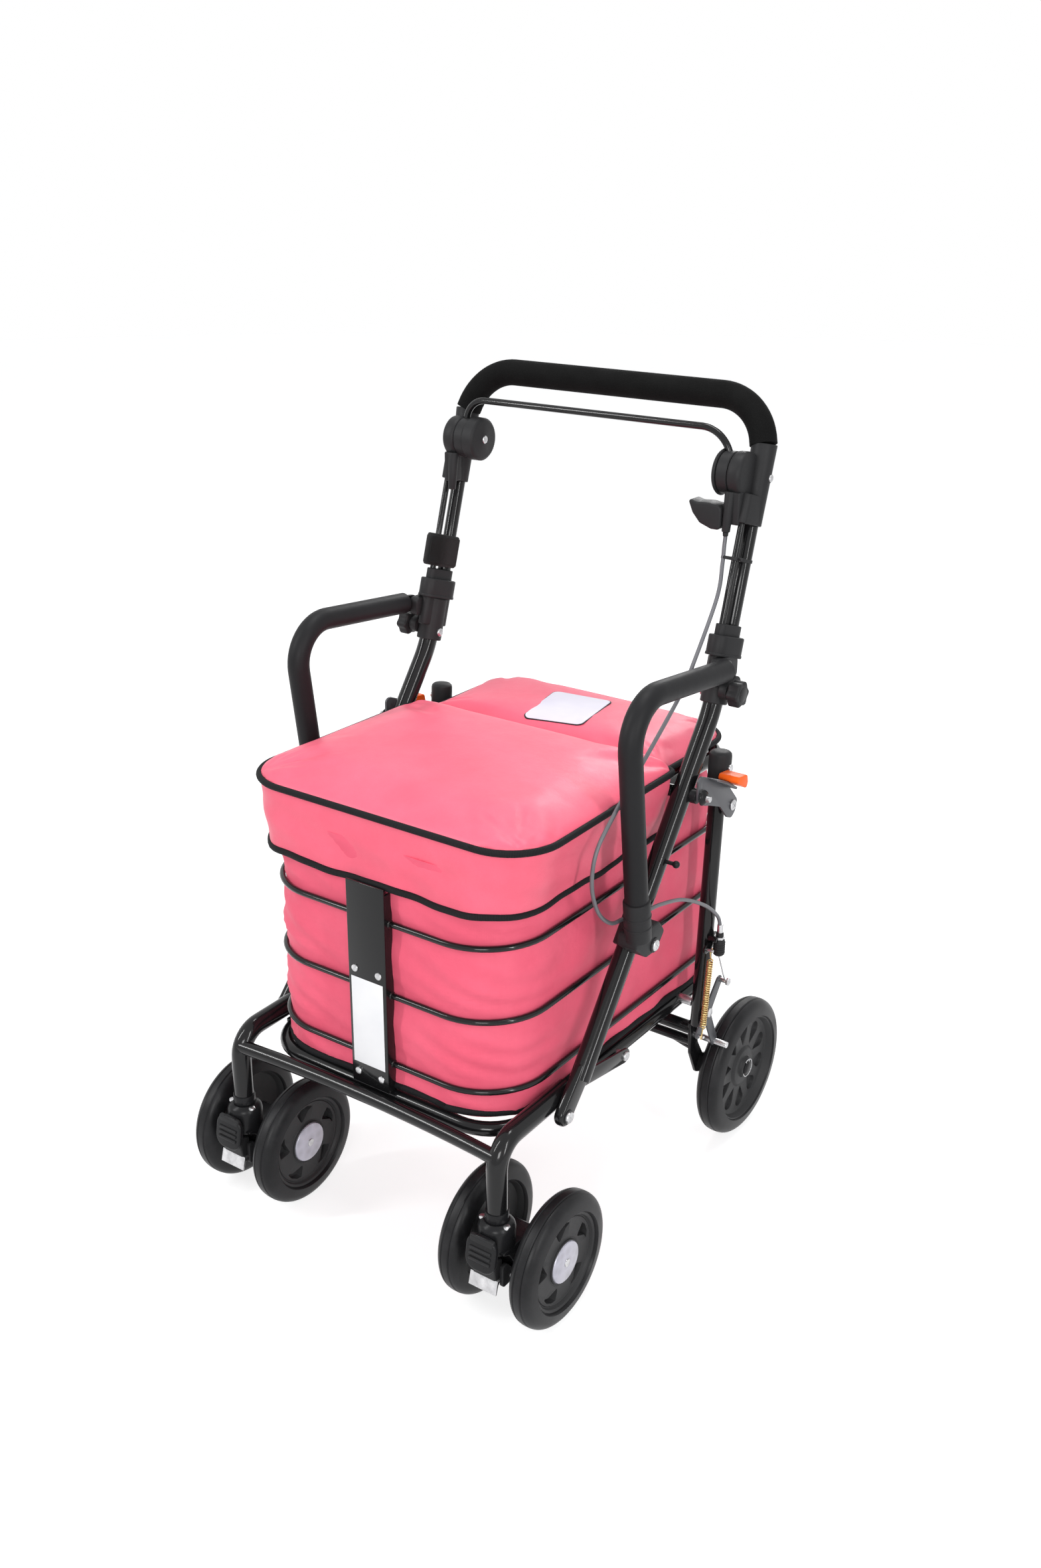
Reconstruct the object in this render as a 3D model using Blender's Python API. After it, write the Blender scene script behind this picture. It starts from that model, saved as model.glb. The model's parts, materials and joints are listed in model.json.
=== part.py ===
"""Shopping rollator with a seat over a shopping bag.

Metres, +Z up, the front looks along -Y, and "left" is the user's left (+X).
The origin is on the floor under the middle of the whole rollator.
Two bent side tubes carry the front legs, the bag's frame, the seat and the armrests.
The rear posts with their wheels are a second frame that folds on a pin in the base loop.
"""
import math

import bmesh
import bpy
from mathutils import Matrix, Vector

for old in list(bpy.data.objects):
    bpy.data.objects.remove(old, do_unlink=True)

# Clearances
GAP = 0.0003            # between pieces that touch
SLIDE_GAP = 0.0002      # round a turning axle
FIT = 0.0006            # round a bore with few sides, whose flats lie nearer than its corners
MIDDLE_Y = 0.028        # middle of the whole length, behind the middle between the axles

# Side tubes, each one bent twice: upper part leaning back, long diagonal, flattened lower end
SIDE_X = 0.198          # from the middle of the rollator to each side tube
SIDE_R = 0.011
UPPER_LEAN = 0.2        # the upper part goes back this much for each metre up
UPPER_Y = 0.160         # its axis at the top of the clamp
CLAMP_TOP_Z = 0.671
DIAGONAL_LEAN = 0.727
LOW_BEND_Y = -0.117
LOW_BEND_Z = 0.235
SIDE_END_Y = -0.140     # bolt that joins the tube's flattened end to the leg
SIDE_END_Z = 0.213
SIDE_END_WIDTH = 0.026
SIDE_END_THICK = 0.0120
SIDE_FILLET = 0.025
TUBE_TOP_Z = 0.6125
BOLT_R = 0.0065
BOLT_HEAD = 0.0045

# Front legs with their crossbar
LEG_X = 0.180
LEG_R = 0.011
LEG_Y = -0.234          # the upright part, over the caster
LEG_TOP_Z = 0.221
LEG_END_Y = -0.112
LEG_FILLET = 0.030
LEG_FOOT_Z = 0.133
CROSSBAR_R = 0.008
CROSSBAR_Z = 0.206
CROSSBAR_BOW = 0.008

# Casters with twin wheels
CASTER_TRAIL = 0.044
CASTER_HALF = 0.022
CASTER_CUP_R = 0.020
CASTER_CUP_Z = 0.100
FRONT_WHEEL_R = 0.075
FRONT_WHEEL_HALF = 0.015
FRONT_WHEEL_OUT = 0.046  # from the caster's middle to each wheel's middle
FRONT_AXLE_R = 0.0045
FRONT_HUB_R = 0.0150
FRONT_RIM_R = 0.0545
FRONT_HOLES = 5
PEDAL_Y = -0.236
PEDAL_Z = 0.072
PEDAL_PIN_R = 0.0028
PEDAL_FRONT = 0.026
PEDAL_HIGH = 0.053

# Rear frame: two posts, two crossbars, wheel plates
POST_R = 0.0095
POST_FOOT_Y = 0.1455
POST_FOOT_Z = 0.187
POST_TOP_Y = 0.163
POST_TOP_Z = 0.512
FOLD_Y = 0.148
FOLD_Z = 0.210
FOLD_PIN_R = 0.0055
CAP_R = 0.013
CAP_HIGH = 0.040
CAP_BOLT_HEAD = 0.003
REAR_BAR_Y = 0.150
REAR_BAR_Z = 0.173
REAR_BAR_R = 0.008
THIN_BAR_Y = 0.152
THIN_BAR_Z = 0.158
THIN_BAR_R = 0.006
AXLE_Y = 0.234
AXLE_R = 0.0060
AXLE_PLATE_X = 0.186
AXLE_PLATE_THICK = 0.004
REAR_WHEEL_X = 0.2105
REAR_WHEEL_R = 0.0874
REAR_WHEEL_HALF = 0.016
REAR_RIM_R = 0.066
REAR_HUB_R = 0.024
REAR_POCKETS = 10

# Rear brakes
ARM_THICK = 0.0025
ARM_X = 0.2078
ARM_PIVOT_Y = 0.145
ARM_PIVOT_Z = 0.205
ARM_TIP_Y = 0.172
ARM_TIP_Z = 0.237
ARM_HOOK_Y = 0.126
ARM_HOOK_Z = 0.182
ARM_PAD_Y = 0.168
ARM_PAD_Z = 0.154
PAD_R = 0.004
PAD_END_X = 0.227
BARREL_X = 0.2165
BARREL_Y = 0.152
BARREL_R = 0.007
BARREL_Z = 0.281
BARREL_HIGH = 0.029
SPRING_X = 0.2145
SPRING_PIN_Y = 0.137
SPRING_PIN_Z = 0.2915
SPRING_PIN_R = 0.0018
SPRING_R = 0.00385
SPRING_WIRE_R = 0.00095
SPRING_COILS = 10
SPRING_TOP_Z = 0.280
SPRING_BOTTOM_Z = 0.195

# Base loop under the bag, links, front plate, basket rings
LOOP_Z = 0.205
LOOP_R = 0.008
LOOP_X = 0.166
LOOP_FRONT_Y = -0.206
LOOP_REAR_Y = 0.215
LOOP_FRONT_FILLET = 0.055
LOOP_REAR_FILLET = 0.040
SLAT_WIDTH = 0.020
SLAT_THICK = 0.004
LINK_X = 0.1805
LINK_THICK = 0.003
LINK_WIDTH = 0.018
LINK_REAR_Y = 0.005
LINK_REAR_Z = 0.206
PLATE_HALF = 0.0253
PLATE_FRONT_Y = -0.218
PLATE_THICK = 0.0025
PLATE_DEPTH = 0.0135
PLATE_TOP_Z = 0.455
RING_R = 0.00325
RING_X = 0.168
RING_FRONT_Y = -0.208
RING_REAR_Y = 0.232
RING_FRONT_FILLET = 0.075
RING_REAR_FILLET = 0.038
RING_HEIGHTS = (0.413, 0.329, 0.246)
RING_STEPS = 4
REAR_STRIP_HALF = 0.012
REAR_STRIP_THICK = 0.002

# Bag, seat frame, seat cushion with its skirt, rear pad
BAG_WALL = 0.002
BAG_TOP_Z = 0.4945
BAG_TUCK = 0.004        # the bag's rim is drawn in under the seat
SEAT_Z = 0.503
SEAT_R = 0.008
SEAT_X = 0.172
SEAT_FRONT_Y = -0.190
SEAT_REAR_Y = 0.232
CUSHION_X = 0.191
CUSHION_FRONT_Y = -0.205
CUSHION_FILLET = 0.060
SEAM_Y = 0.088
LID_HINGE_Z = 0.540
SEAM_GAP = 0.0012
CUSHION_EDGE_Z = 0.525
CUSHION_HIGH = 0.023
PAD_X = 0.169
PAD_REAR_Y = 0.243
PAD_FILLET = 0.050
PAD_HIGH = 0.010
SKIRT_TOP_X = 0.1855
SKIRT_BOTTOM_X = 0.1715
SKIRT_BOTTOM_Z = 0.450
SKIRT_THICK = 0.0018

# Armrests with their brackets
ARM_REST_X = 0.220
ARM_REST_R = 0.0125
ARM_REST_TUBE_R = 0.008
ARM_REST_REAR_Y = 0.1285
ARM_REST_REAR_Z = 0.636
ARM_REST_BEND_Y = -0.075
ARM_REST_BEND_Z = 0.655
ARM_REST_LOW_Y = -0.042
ARM_REST_LOW_Z = 0.405
ARM_REST_FILLET = 0.045
ARM_REST_FOAM_Z = 0.432
BRACKET_Z = 0.375
BRACKET_R = 0.016
BRACKET_LOW = 0.034
BRACKET_SOCKET_R = 0.0145
BRACKET_SOCKET_Z = 0.395
CLAMP_LOW_R = 0.015
CLAMP_STEP_Z = CLAMP_TOP_Z - 0.033
KNOB_Y = 0.136
KNOB_X = 0.219
KNOB_R = 0.016
KNOB_THICK = 0.021

# Handle: telescoping tubes, joint housings, grip, brake bar
HANDLE_LEAN = 0.3
HANDLE_Y = 0.171         # axis of the inner tube at the top of the clamp
INNER_R = 0.008
ROD_R = 0.0036
ROD_AHEAD = 0.0227       # from the inner tube's axis forward to the thin rod's axis
COLLAR_R = 0.0165        # round the inner tube, and a smaller one round the thin rod
COLLAR_ROD_R = 0.0120
JOINT_Y = 0.1924
JOINT_Z = 0.8302
JOINT_R = 0.024
JOINT_PIN_R = 0.006
BOLT_SEAT_Y = 0.2157     # the small screw on the outer side of the housing's sleeve
BOLT_SEAT_Z = 0.8245
HOUSING_R = 0.0110
HOUSING_TOP_R = 0.0140
HOUSING_ROD_R = 0.0070
HOUSING_BOTTOM_Z = 0.7745
HOUSING_TOP_Z = 0.8045
DRUM_X = 0.1815
DRUM_THICK = 0.0162
HUB_X = 0.1684
HUB_THICK = 0.0128
HUB_R = 0.014
INNER_DISC_X = 0.152
INNER_DISC_THICK = 0.0160
INNER_DISC_R = 0.025
GRIP_LEAN = math.radians(16.4)
GRIP_R = 0.015
GRIP_FOOT_Y = 0.2214     # where the foam ends on the housing
GRIP_FOOT_Z = 0.8578
GRIP_REACH = 0.048       # from there up the leaning plane to the grip's cross part
GRIP_FILLET = 0.060
BRAKE_BAR_R = 0.0038
BRAKE_BAR_X = 0.178
BRAKE_BAR_HIGH = 0.0450   # from the joint's axis up to the bar
BRAKE_BAR_FILLET = 0.027
LEVER_Y = 0.188
LEVER_Z = 0.790
LEVER_IN_X = 0.139
LEVER_PIN_R = 0.0025
CABLE_R = 0.0025
CABLE_BOSS_X = 0.1843    # the cable comes out of this boss on the joint housing
CABLE_BOSS_Y = 0.1710
CABLE_BOSS_Z = 0.7712
CLIP_Z = 0.738
STRAP_Z = 0.6925
STRAP_HALF = 0.0185
STRAP_THICK = 0.0050

# Latch between the rear posts and the side tubes
LATCH_X = 0.216
LATCH_THICK = 0.005
LATCH_PIVOT_Y = 0.158
LATCH_PIVOT_Z = 0.469
STUD_Y = 0.084
STUD_Z = 0.503
STUD_R = 0.0035
STUD_END_X = 0.231

# Colour, roughness and metallic value of each material
LOOKS = {
    "gloss_black": ((0.010, 0.010, 0.011), 0.18, 0.0),
    "satin_black": ((0.018, 0.018, 0.019), 0.48, 0.0),
    "foam_black": ((0.012, 0.012, 0.012), 0.85, 0.0),
    "wheel_black": ((0.022, 0.022, 0.024), 0.60, 0.0),
    "bag_pink": ((0.93, 0.20, 0.27), 0.75, 0.0),
    "seat_pink": ((0.93, 0.22, 0.29), 0.60, 0.0),
    "plate_black": ((0.020, 0.020, 0.022), 0.35, 0.0),
    "latch_grey": ((0.28, 0.28, 0.29), 0.45, 0.6),
    "lever_orange": ((1.0, 0.17, 0.01), 0.40, 0.0),
    "spring_brass": ((0.62, 0.45, 0.20), 0.30, 1.0),
    "strap_black": ((0.020, 0.020, 0.020), 0.90, 0.0),
}


# Where the sloping axes run

def upper_y(z):
    """The axis of a side tube above its bend, which the clamp's lower part shares."""
    return UPPER_Y + UPPER_LEAN * (z - CLAMP_TOP_Z)


def upper(x, z):
    return Vector((x, upper_y(z), z))


def handle_at(x, z):
    """A point of the axis that the inner tube, the collar and the housing's lower part share."""
    return Vector((x, HANDLE_Y + HANDLE_LEAN * (z - CLAMP_TOP_Z), z))


def diagonal_y(z):
    return LOW_BEND_Y + DIAGONAL_LEAN * (z - LOW_BEND_Z)


def post_y(z):
    return POST_FOOT_Y + (POST_TOP_Y - POST_FOOT_Y) * (z - POST_FOOT_Z) / (POST_TOP_Z - POST_FOOT_Z)


def rest_y(z):
    """The armrest's front part, from its bend down to its lower bracket."""
    return ARM_REST_LOW_Y + (ARM_REST_BEND_Y - ARM_REST_LOW_Y) * (z - ARM_REST_LOW_Z) / (
        ARM_REST_BEND_Z - ARM_REST_LOW_Z)


BEND_Z = (LOW_BEND_Y - UPPER_Y + UPPER_LEAN * CLAMP_TOP_Z - DIAGONAL_LEAN * LOW_BEND_Z) / (
    UPPER_LEAN - DIAGONAL_LEAN)
CLAMP_BOTTOM_Z = BEND_Z + 0.0068   # just above the side tube's bend
KNOB_Z = CLAMP_BOTTOM_Z + 0.006
HANDLE_DIRECTION = Vector((0.0, HANDLE_LEAN, 1.0)).normalized()
AHEAD = Vector((0.0, -HANDLE_DIRECTION.z, HANDLE_DIRECTION.y))   # forward, square to the inner tube
POST_DIRECTION = Vector((0.0, POST_TOP_Y - POST_FOOT_Y, POST_TOP_Z - POST_FOOT_Z)).normalized()
GRIP_DIRECTION = Vector((0.0, math.sin(GRIP_LEAN), math.cos(GRIP_LEAN)))
JOINT = Vector((0.0, JOINT_Y, JOINT_Z))
X_AXIS = Vector((1.0, 0.0, 0.0))
WHEEL_Y = LEG_Y + CASTER_TRAIL
RING_FRONT_FACE = PLATE_FRONT_Y + PLATE_THICK


# Points

def rounded(points, radius, steps=5):
    """The path through the points with each inner corner rounded."""
    path = [Vector(points[0])]
    for before, corner, after in zip(points, points[1:], points[2:]):
        path += corner_arc(Vector(before), Vector(corner), Vector(after), radius, steps)
    return path + [Vector(points[-1])]


def corner_arc(before, corner, after, radius, steps):
    back = (before - corner).normalized()
    onward = (after - corner).normalized()
    half = back.angle(onward) / 2
    reach = radius / math.tan(half)
    centre = corner + (back + onward).normalized() * (radius / math.sin(half))
    first = corner + back * reach - centre
    turn = math.pi - 2 * half
    axis = first.cross(corner + onward * reach - centre).normalized()
    return [centre + Matrix.Rotation(turn * i / steps, 3, axis) @ first for i in range(steps + 1)]


def loop_outline(half_x, front, rear, front_radius, rear_radius, steps=4):
    """A rounded rectangle about the middle plane, as (x, y) points."""
    corners = [(half_x, front, front_radius, -90), (half_x, rear, rear_radius, 0),
               (-half_x, rear, rear_radius, 90), (-half_x, front, front_radius, 180)]
    outline = []
    for x, y, radius, start in corners:
        cx = x - math.copysign(radius, x)
        cy = y - radius if y == rear else y + radius
        for i in range(steps + 1):
            angle = math.radians(start + 90 * i / steps)
            outline.append((cx + radius * math.cos(angle), cy + radius * math.sin(angle)))
    return outline


def stadium(start, end, radius, steps=4):
    """Outline round two points of a plane, with half circles at both ends."""
    (a, b), (c, d) = start, end
    heading = math.atan2(d - b, c - a)
    outline = []
    for (u, v), turn in (((c, d), -90), ((a, b), 90)):
        for i in range(steps + 1):
            angle = heading + math.radians(turn + 180 * i / steps)
            outline.append((u + radius * math.cos(angle), v + radius * math.sin(angle)))
    return outline


def twin_sleeve(x, low, high, radius, rod_radius, steps=4):
    """A solid round the inner tube's axis and the thin rod's axis, between two heights of the first."""
    foot = handle_at(x, low)
    turn = math.asin((radius - rod_radius) / ROD_AHEAD)
    outline = []
    for centre, size, start, sweep in ((foot, radius, math.pi / 2 - turn, math.pi + 2 * turn),
                                       (foot + AHEAD * ROD_AHEAD, rod_radius, -math.pi / 2 + turn, math.pi - 2 * turn)):
        for i in range(steps + 1):
            angle = start + sweep * i / steps
            outline.append(centre + AHEAD * (size * math.cos(angle)) + X_AXIS * (size * math.sin(angle)))
    return extruded(outline, handle_at(x, high) - foot)


def smooth_points(route, spacing):
    """Points at even steps along a smooth curve through the route's points."""
    dense = []
    knots = [Vector(p) for p in route]
    ends = [knots[0] * 2 - knots[1]] + knots + [knots[-1] * 2 - knots[-2]]
    for a, b, c, d in zip(ends, ends[1:], ends[2:], ends[3:]):
        for i in range(24):
            t = i / 24
            dense.append(0.5 * (2 * b + (c - a) * t + (2 * a - 5 * b + 4 * c - d) * t * t
                                + (3 * b - a - 3 * c + d) * t ** 3))
    dense.append(knots[-1])
    length = sum((q - p).length for p, q in zip(dense, dense[1:]))
    count = max(2, round(length / spacing))
    wanted, path, walked = length / count, [dense[0]], 0.0
    for p, q in zip(dense, dense[1:]):
        step = (q - p).length
        while len(path) < count and walked + step >= wanted * len(path):
            path.append(p.lerp(q, (wanted * len(path) - walked) / step))
        walked += step
    return path + [dense[-1]]


# Shapes: each function gives a temporary object that join() or place() uses up

def shape(bm):
    bmesh.ops.recalc_face_normals(bm, faces=bm.faces)
    mesh = bpy.data.meshes.new("shape")
    bm.to_mesh(mesh)
    bm.free()
    made = bpy.data.objects.new("shape", mesh)
    bpy.context.scene.collection.objects.link(made)
    return made


def tube(points, radius, sides=8, closed=False):
    """A round bar or tube along the points, with flat ends."""
    curve = bpy.data.curves.new("route", "CURVE")
    curve.dimensions = "3D"
    curve.bevel_depth = radius
    curve.bevel_resolution = sides // 2 - 2
    curve.use_fill_caps = not closed
    spline = curve.splines.new("POLY")
    spline.points.add(len(points) - 1)
    for place_at, point in zip(spline.points, points):
        place_at.co = (*point, 1.0)
    spline.use_cyclic_u = closed
    route = bpy.data.objects.new("route", curve)
    bpy.context.scene.collection.objects.link(route)
    bm = bmesh.new()
    mesh = bpy.data.meshes.new_from_object(route.evaluated_get(bpy.context.evaluated_depsgraph_get()))
    bm.from_mesh(mesh)
    bmesh.ops.remove_doubles(bm, verts=bm.verts, dist=1e-6)
    bpy.data.objects.remove(route, do_unlink=True)
    return shape(bm)


def rod(start, end, radius, sides=12):
    start, end = Vector(start), Vector(end)
    along = end - start
    turn = along.to_track_quat("Z", "Y").to_matrix().to_4x4()
    bm = bmesh.new()
    bmesh.ops.create_cone(bm, cap_ends=True, segments=sides, radius1=radius, radius2=radius,
                          depth=along.length, matrix=Matrix.Translation((start + end) / 2) @ turn)
    return shape(bm)


def box(low, high):
    low, high = Vector(low), Vector(high)
    bm = bmesh.new()
    size = Matrix.Diagonal((*(high - low), 1.0))
    bmesh.ops.create_cube(bm, size=1.0, matrix=Matrix.Translation((low + high) / 2) @ size)
    return shape(bm)


def extruded(points, along):
    bm = bmesh.new()
    face = bm.faces.new([bm.verts.new(point) for point in points])
    grown = bmesh.ops.extrude_face_region(bm, geom=[face])["geom"]
    bmesh.ops.translate(bm, vec=along, verts=[v for v in grown if isinstance(v, bmesh.types.BMVert)])
    return shape(bm)


def side_plate(outline, x0, x1):
    """A plate square to X: its outline holds (y, z) points."""
    return extruded([(x0, y, z) for y, z in outline], (x1 - x0, 0.0, 0.0))


def flat_plate(outline, z0, z1):
    return extruded([(x, y, z0) for x, y in outline], (0.0, 0.0, z1 - z0))


def turned(profile, centre, axis, steps=20, closed=False):
    """A profile of (along the axis, radius) points spun once round the axis."""
    centre, axis = Vector(centre), Vector(axis).normalized()
    across = axis.orthogonal().normalized()
    bm = bmesh.new()
    verts = [bm.verts.new(centre + axis * a + across * r) for a, r in profile]
    follow = verts[1:] + verts[:1] if closed else verts[1:]
    edges = [bm.edges.new(pair) for pair in zip(verts, follow)]
    bmesh.ops.spin(bm, geom=verts + edges, cent=centre, axis=axis, angle=math.tau, steps=steps,
                   use_merge=True)
    bmesh.ops.remove_doubles(bm, verts=bm.verts, dist=1e-6)
    return shape(bm)


def ring(centre, axis, inner, outer, start, end, steps=20):
    return turned([(start, inner), (end, inner), (end, outer), (start, outer)], centre, axis, steps, True)


def skinned(rings, closed=False):
    """A solid through rings with the same number of points, capped at both ends."""
    bm = bmesh.new()
    layers = [[bm.verts.new(point) for point in points] for points in rings]
    pairs = list(zip(layers, layers[1:])) + ([(layers[-1], layers[0])] if closed else [])
    for low, high in pairs:
        for i in range(len(low)):
            j = (i + 1) % len(low)
            bm.faces.new((low[i], low[j], high[j], high[i]))
    if not closed:
        bm.faces.new(layers[0])
        bm.faces.new(layers[-1])
    return shape(bm)


def combine(base, other, operation):
    modifier = base.modifiers.new("cut", "BOOLEAN")
    modifier.operation = operation
    modifier.solver = "EXACT"
    modifier.object = other
    mesh = bpy.data.meshes.new_from_object(base.evaluated_get(bpy.context.evaluated_depsgraph_get()))
    base.modifiers.clear()
    base.data = mesh
    bpy.data.objects.remove(other, do_unlink=True)


def join(shapes, cuts=()):
    base = shapes[0]
    for other in shapes[1:]:
        combine(base, other, "UNION")
    for cutter in cuts:
        combine(base, cutter, "DIFFERENCE")
    bm = bmesh.new()
    bm.from_mesh(base.data)
    bmesh.ops.remove_doubles(bm, verts=bm.verts, dist=2e-6)
    bmesh.ops.dissolve_degenerate(bm, edges=bm.edges, dist=2e-6)
    bm.to_mesh(base.data)
    bm.free()
    return base


# Placing: every body has an empty on its joint's axis, and its pieces have their origin there

floor_shift = Vector((0.0, MIDDLE_Y, 0.0))
axes = {}


def body(name, parent=None, at=(0.0, MIDDLE_Y, 0.0)):
    empty = bpy.data.objects.new("axis_" + name, None)
    bpy.context.scene.collection.objects.link(empty)
    at = Vector(at)
    if parent:
        empty.parent = axes[parent][0]
        empty.location = at - axes[parent][1]
    else:
        empty.location = at - floor_shift
    axes[name] = (empty, at)


def paint(look):
    if look not in bpy.data.materials:
        colour, roughness, metallic = LOOKS[look]
        made = bpy.data.materials.new(look)
        made.use_nodes = True
        shader = made.node_tree.nodes["Principled BSDF"]
        shader.inputs["Base Color"].default_value = (*colour, 1.0)
        shader.inputs["Roughness"].default_value = roughness
        shader.inputs["Metallic"].default_value = metallic
        made.diffuse_color = (*colour, 1.0)
    return bpy.data.materials[look]


def place(piece, name, owner, look):
    """Name the piece, move its origin to its body's axis and hang it on the body."""
    empty, at = axes[owner]
    piece.name = name
    piece.data.name = name
    piece.data.transform(Matrix.Translation(-at))
    piece.data.materials.clear()
    piece.data.materials.append(paint(look))
    piece.data.shade_smooth()
    piece.data.set_sharp_from_angle(angle=math.radians(35))
    piece.parent = empty
    return piece


def mirrored(piece):
    """The same piece for the other side, still unplaced."""
    bm = bmesh.new()
    bm.from_mesh(piece.data)
    bmesh.ops.transform(bm, matrix=Matrix.Diagonal((-1.0, 1.0, 1.0, 1.0)), verts=bm.verts)
    bmesh.ops.reverse_faces(bm, faces=bm.faces)
    return shape(bm)


def place_pair(piece, name, owner, look):
    """A left piece and its mirror image, on one shared body or on a body of each side."""
    other = mirrored(piece)
    sides = ("left", "right") if owner + "_left" in axes else ("", "")
    for made, side, body_side in ((piece, "left", sides[0]), (other, "right", sides[1])):
        place(made, name + "_" + side, owner + ("_" + body_side if body_side else ""), look)


def make_bodies():
    body("frame")
    body("lid", "frame", (0.0, SEAM_Y, LID_HINGE_Z))
    body("handle", "frame", handle_at(0.0, CLAMP_TOP_Z))
    body("brake_bar", "handle", JOINT)
    body("park_lever", "handle", (SIDE_X, LEVER_Y, LEVER_Z))
    body("rear_frame", "frame", (0.0, FOLD_Y, FOLD_Z))
    for side, sign in (("left", 1.0), ("right", -1.0)):
        body("knob_" + side, "frame", (sign * KNOB_X, KNOB_Y, KNOB_Z))
        body("brake_arm_" + side, "rear_frame", (sign * SIDE_X, ARM_PIVOT_Y, ARM_PIVOT_Z))
        body("rear_wheel_" + side, "rear_frame", (sign * REAR_WHEEL_X, AXLE_Y, REAR_WHEEL_R))
        body("latch_" + side, "rear_frame", (sign * LATCH_X, LATCH_PIVOT_Y, LATCH_PIVOT_Z))
        body("caster_" + side, "frame", (sign * LEG_X, LEG_Y, LEG_FOOT_Z))
        body("pedal_" + side, "caster_" + side, (sign * LEG_X, PEDAL_Y, PEDAL_Z))
        for place_name, out in (("outer", 1.0), ("inner", -1.0)):
            body("front_wheel_" + place_name + "_" + side, "caster_" + side,
                 (sign * (LEG_X + out * FRONT_WHEEL_OUT), WHEEL_Y, FRONT_WHEEL_R))


# Frame

def make_side_tubes():
    end = (SIDE_END_Y, SIDE_END_Z)
    path = rounded([(SIDE_X, diagonal_y(LOW_BEND_Z + 0.007), LOW_BEND_Z + 0.007),
                    (SIDE_X, diagonal_y(BEND_Z), BEND_Z), upper(SIDE_X, TUBE_TOP_Z)],
                   SIDE_FILLET, 3)
    face = LEG_X + LEG_R + GAP
    flat = side_plate(stadium(end, (diagonal_y(LOW_BEND_Z + 0.016), LOW_BEND_Z + 0.016), SIDE_END_WIDTH / 2 - 0.002),
                      face, face + SIDE_END_THICK)
    bolt = rod((face + SIDE_END_THICK - 0.001, *end), (face + SIDE_END_THICK + BOLT_HEAD, *end), BOLT_R, 8)
    stud = rod((SIDE_X, STUD_Y, STUD_Z), (STUD_END_X, STUD_Y, STUD_Z), STUD_R, 8)
    washer = rod((SIDE_X, STUD_Y, STUD_Z), (LATCH_X - GAP, STUD_Y, STUD_Z), 0.008, 10)
    nut_face = LATCH_X + LATCH_THICK + GAP
    nut = rod((nut_face, STUD_Y, STUD_Z), (nut_face + 0.005, STUD_Y, STUD_Z), 0.0075, 6)
    peg_z = 0.4425
    peg = rod((SIDE_X, diagonal_y(peg_z), peg_z), (SIDE_X + SIDE_R + 0.010, diagonal_y(peg_z), peg_z), 0.0022, 6)
    ball = turned([(-0.004, 0.0), (-0.0028, 0.0028), (0.0, 0.004), (0.0028, 0.0028), (0.004, 0.0)],
                  (SIDE_X + SIDE_R + 0.011, diagonal_y(peg_z), peg_z), X_AXIS, 8)
    place_pair(join([tube(path, SIDE_R), flat, bolt, washer, stud, nut, peg, ball]),
               "side_tube", "frame", "gloss_black")


def make_front_legs():
    shapes = []
    for sign in (1.0, -1.0):
        path = rounded([(sign * LEG_X, LEG_END_Y, LEG_TOP_Z + 0.003), (sign * LEG_X, LEG_Y, LEG_TOP_Z),
                        (sign * LEG_X, LEG_Y, LEG_FOOT_Z)], LEG_FILLET, 4)
        shapes.append(tube(path, LEG_R))
    bar = [(LEG_X * t, LEG_Y + CROSSBAR_BOW * (1 - t * t), CROSSBAR_Z)
           for t in (-1, -0.6, -0.2, 0.2, 0.6, 1)]
    place(join([tube(bar, CROSSBAR_R, 8)] + shapes), "front_legs", "frame", "gloss_black")


def make_links():
    half = LINK_WIDTH / 2
    start = (LEG_END_Y + GAP + half, LEG_TOP_Z + 0.002)
    rear = (LINK_REAR_Y, LINK_REAR_Z)
    plate = side_plate(stadium(start, rear, half), LINK_X, LINK_X + LINK_THICK)
    heads = [rod((LINK_X, y, z), (LINK_X + LINK_THICK + 0.003, y, z), BOLT_R - 0.001, 8) for y, z in (start, rear)]
    place_pair(join([plate] + heads), "link", "frame", "gloss_black")


def make_base_loop():
    outline = loop_outline(LOOP_X, LOOP_FRONT_Y, LOOP_REAR_Y, LOOP_FRONT_FILLET, LOOP_REAR_FILLET)
    shapes = [tube([(x, y, LOOP_Z) for x, y in outline], LOOP_R, 8, True)]
    for y in (-0.090, 0.100):
        shapes.append(box((-LOOP_X, y, LOOP_Z - SLAT_THICK / 2), (LOOP_X, y + SLAT_WIDTH, LOOP_Z + SLAT_THICK / 2)))
    for sign in (1.0, -1.0):
        shapes.append(rod((sign * LOOP_X, FOLD_Y, FOLD_Z), (sign * (SIDE_X - POST_R - GAP), FOLD_Y, FOLD_Z), FOLD_PIN_R, 8))
        shapes.append(rod((sign * LOOP_X, LINK_REAR_Y, LINK_REAR_Z), (sign * (LINK_X - GAP), LINK_REAR_Y, LINK_REAR_Z), 0.005, 8))
        low, high = sorted((sign * (LOOP_X - 0.0005), sign * (LEG_X - 0.009)))
        shapes.append(box((low, -0.168, LOOP_Z - 0.002), (high, -0.154, LEG_TOP_Z - 0.007)))
    place(join(shapes), "base_loop", "frame", "gloss_black")


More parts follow.
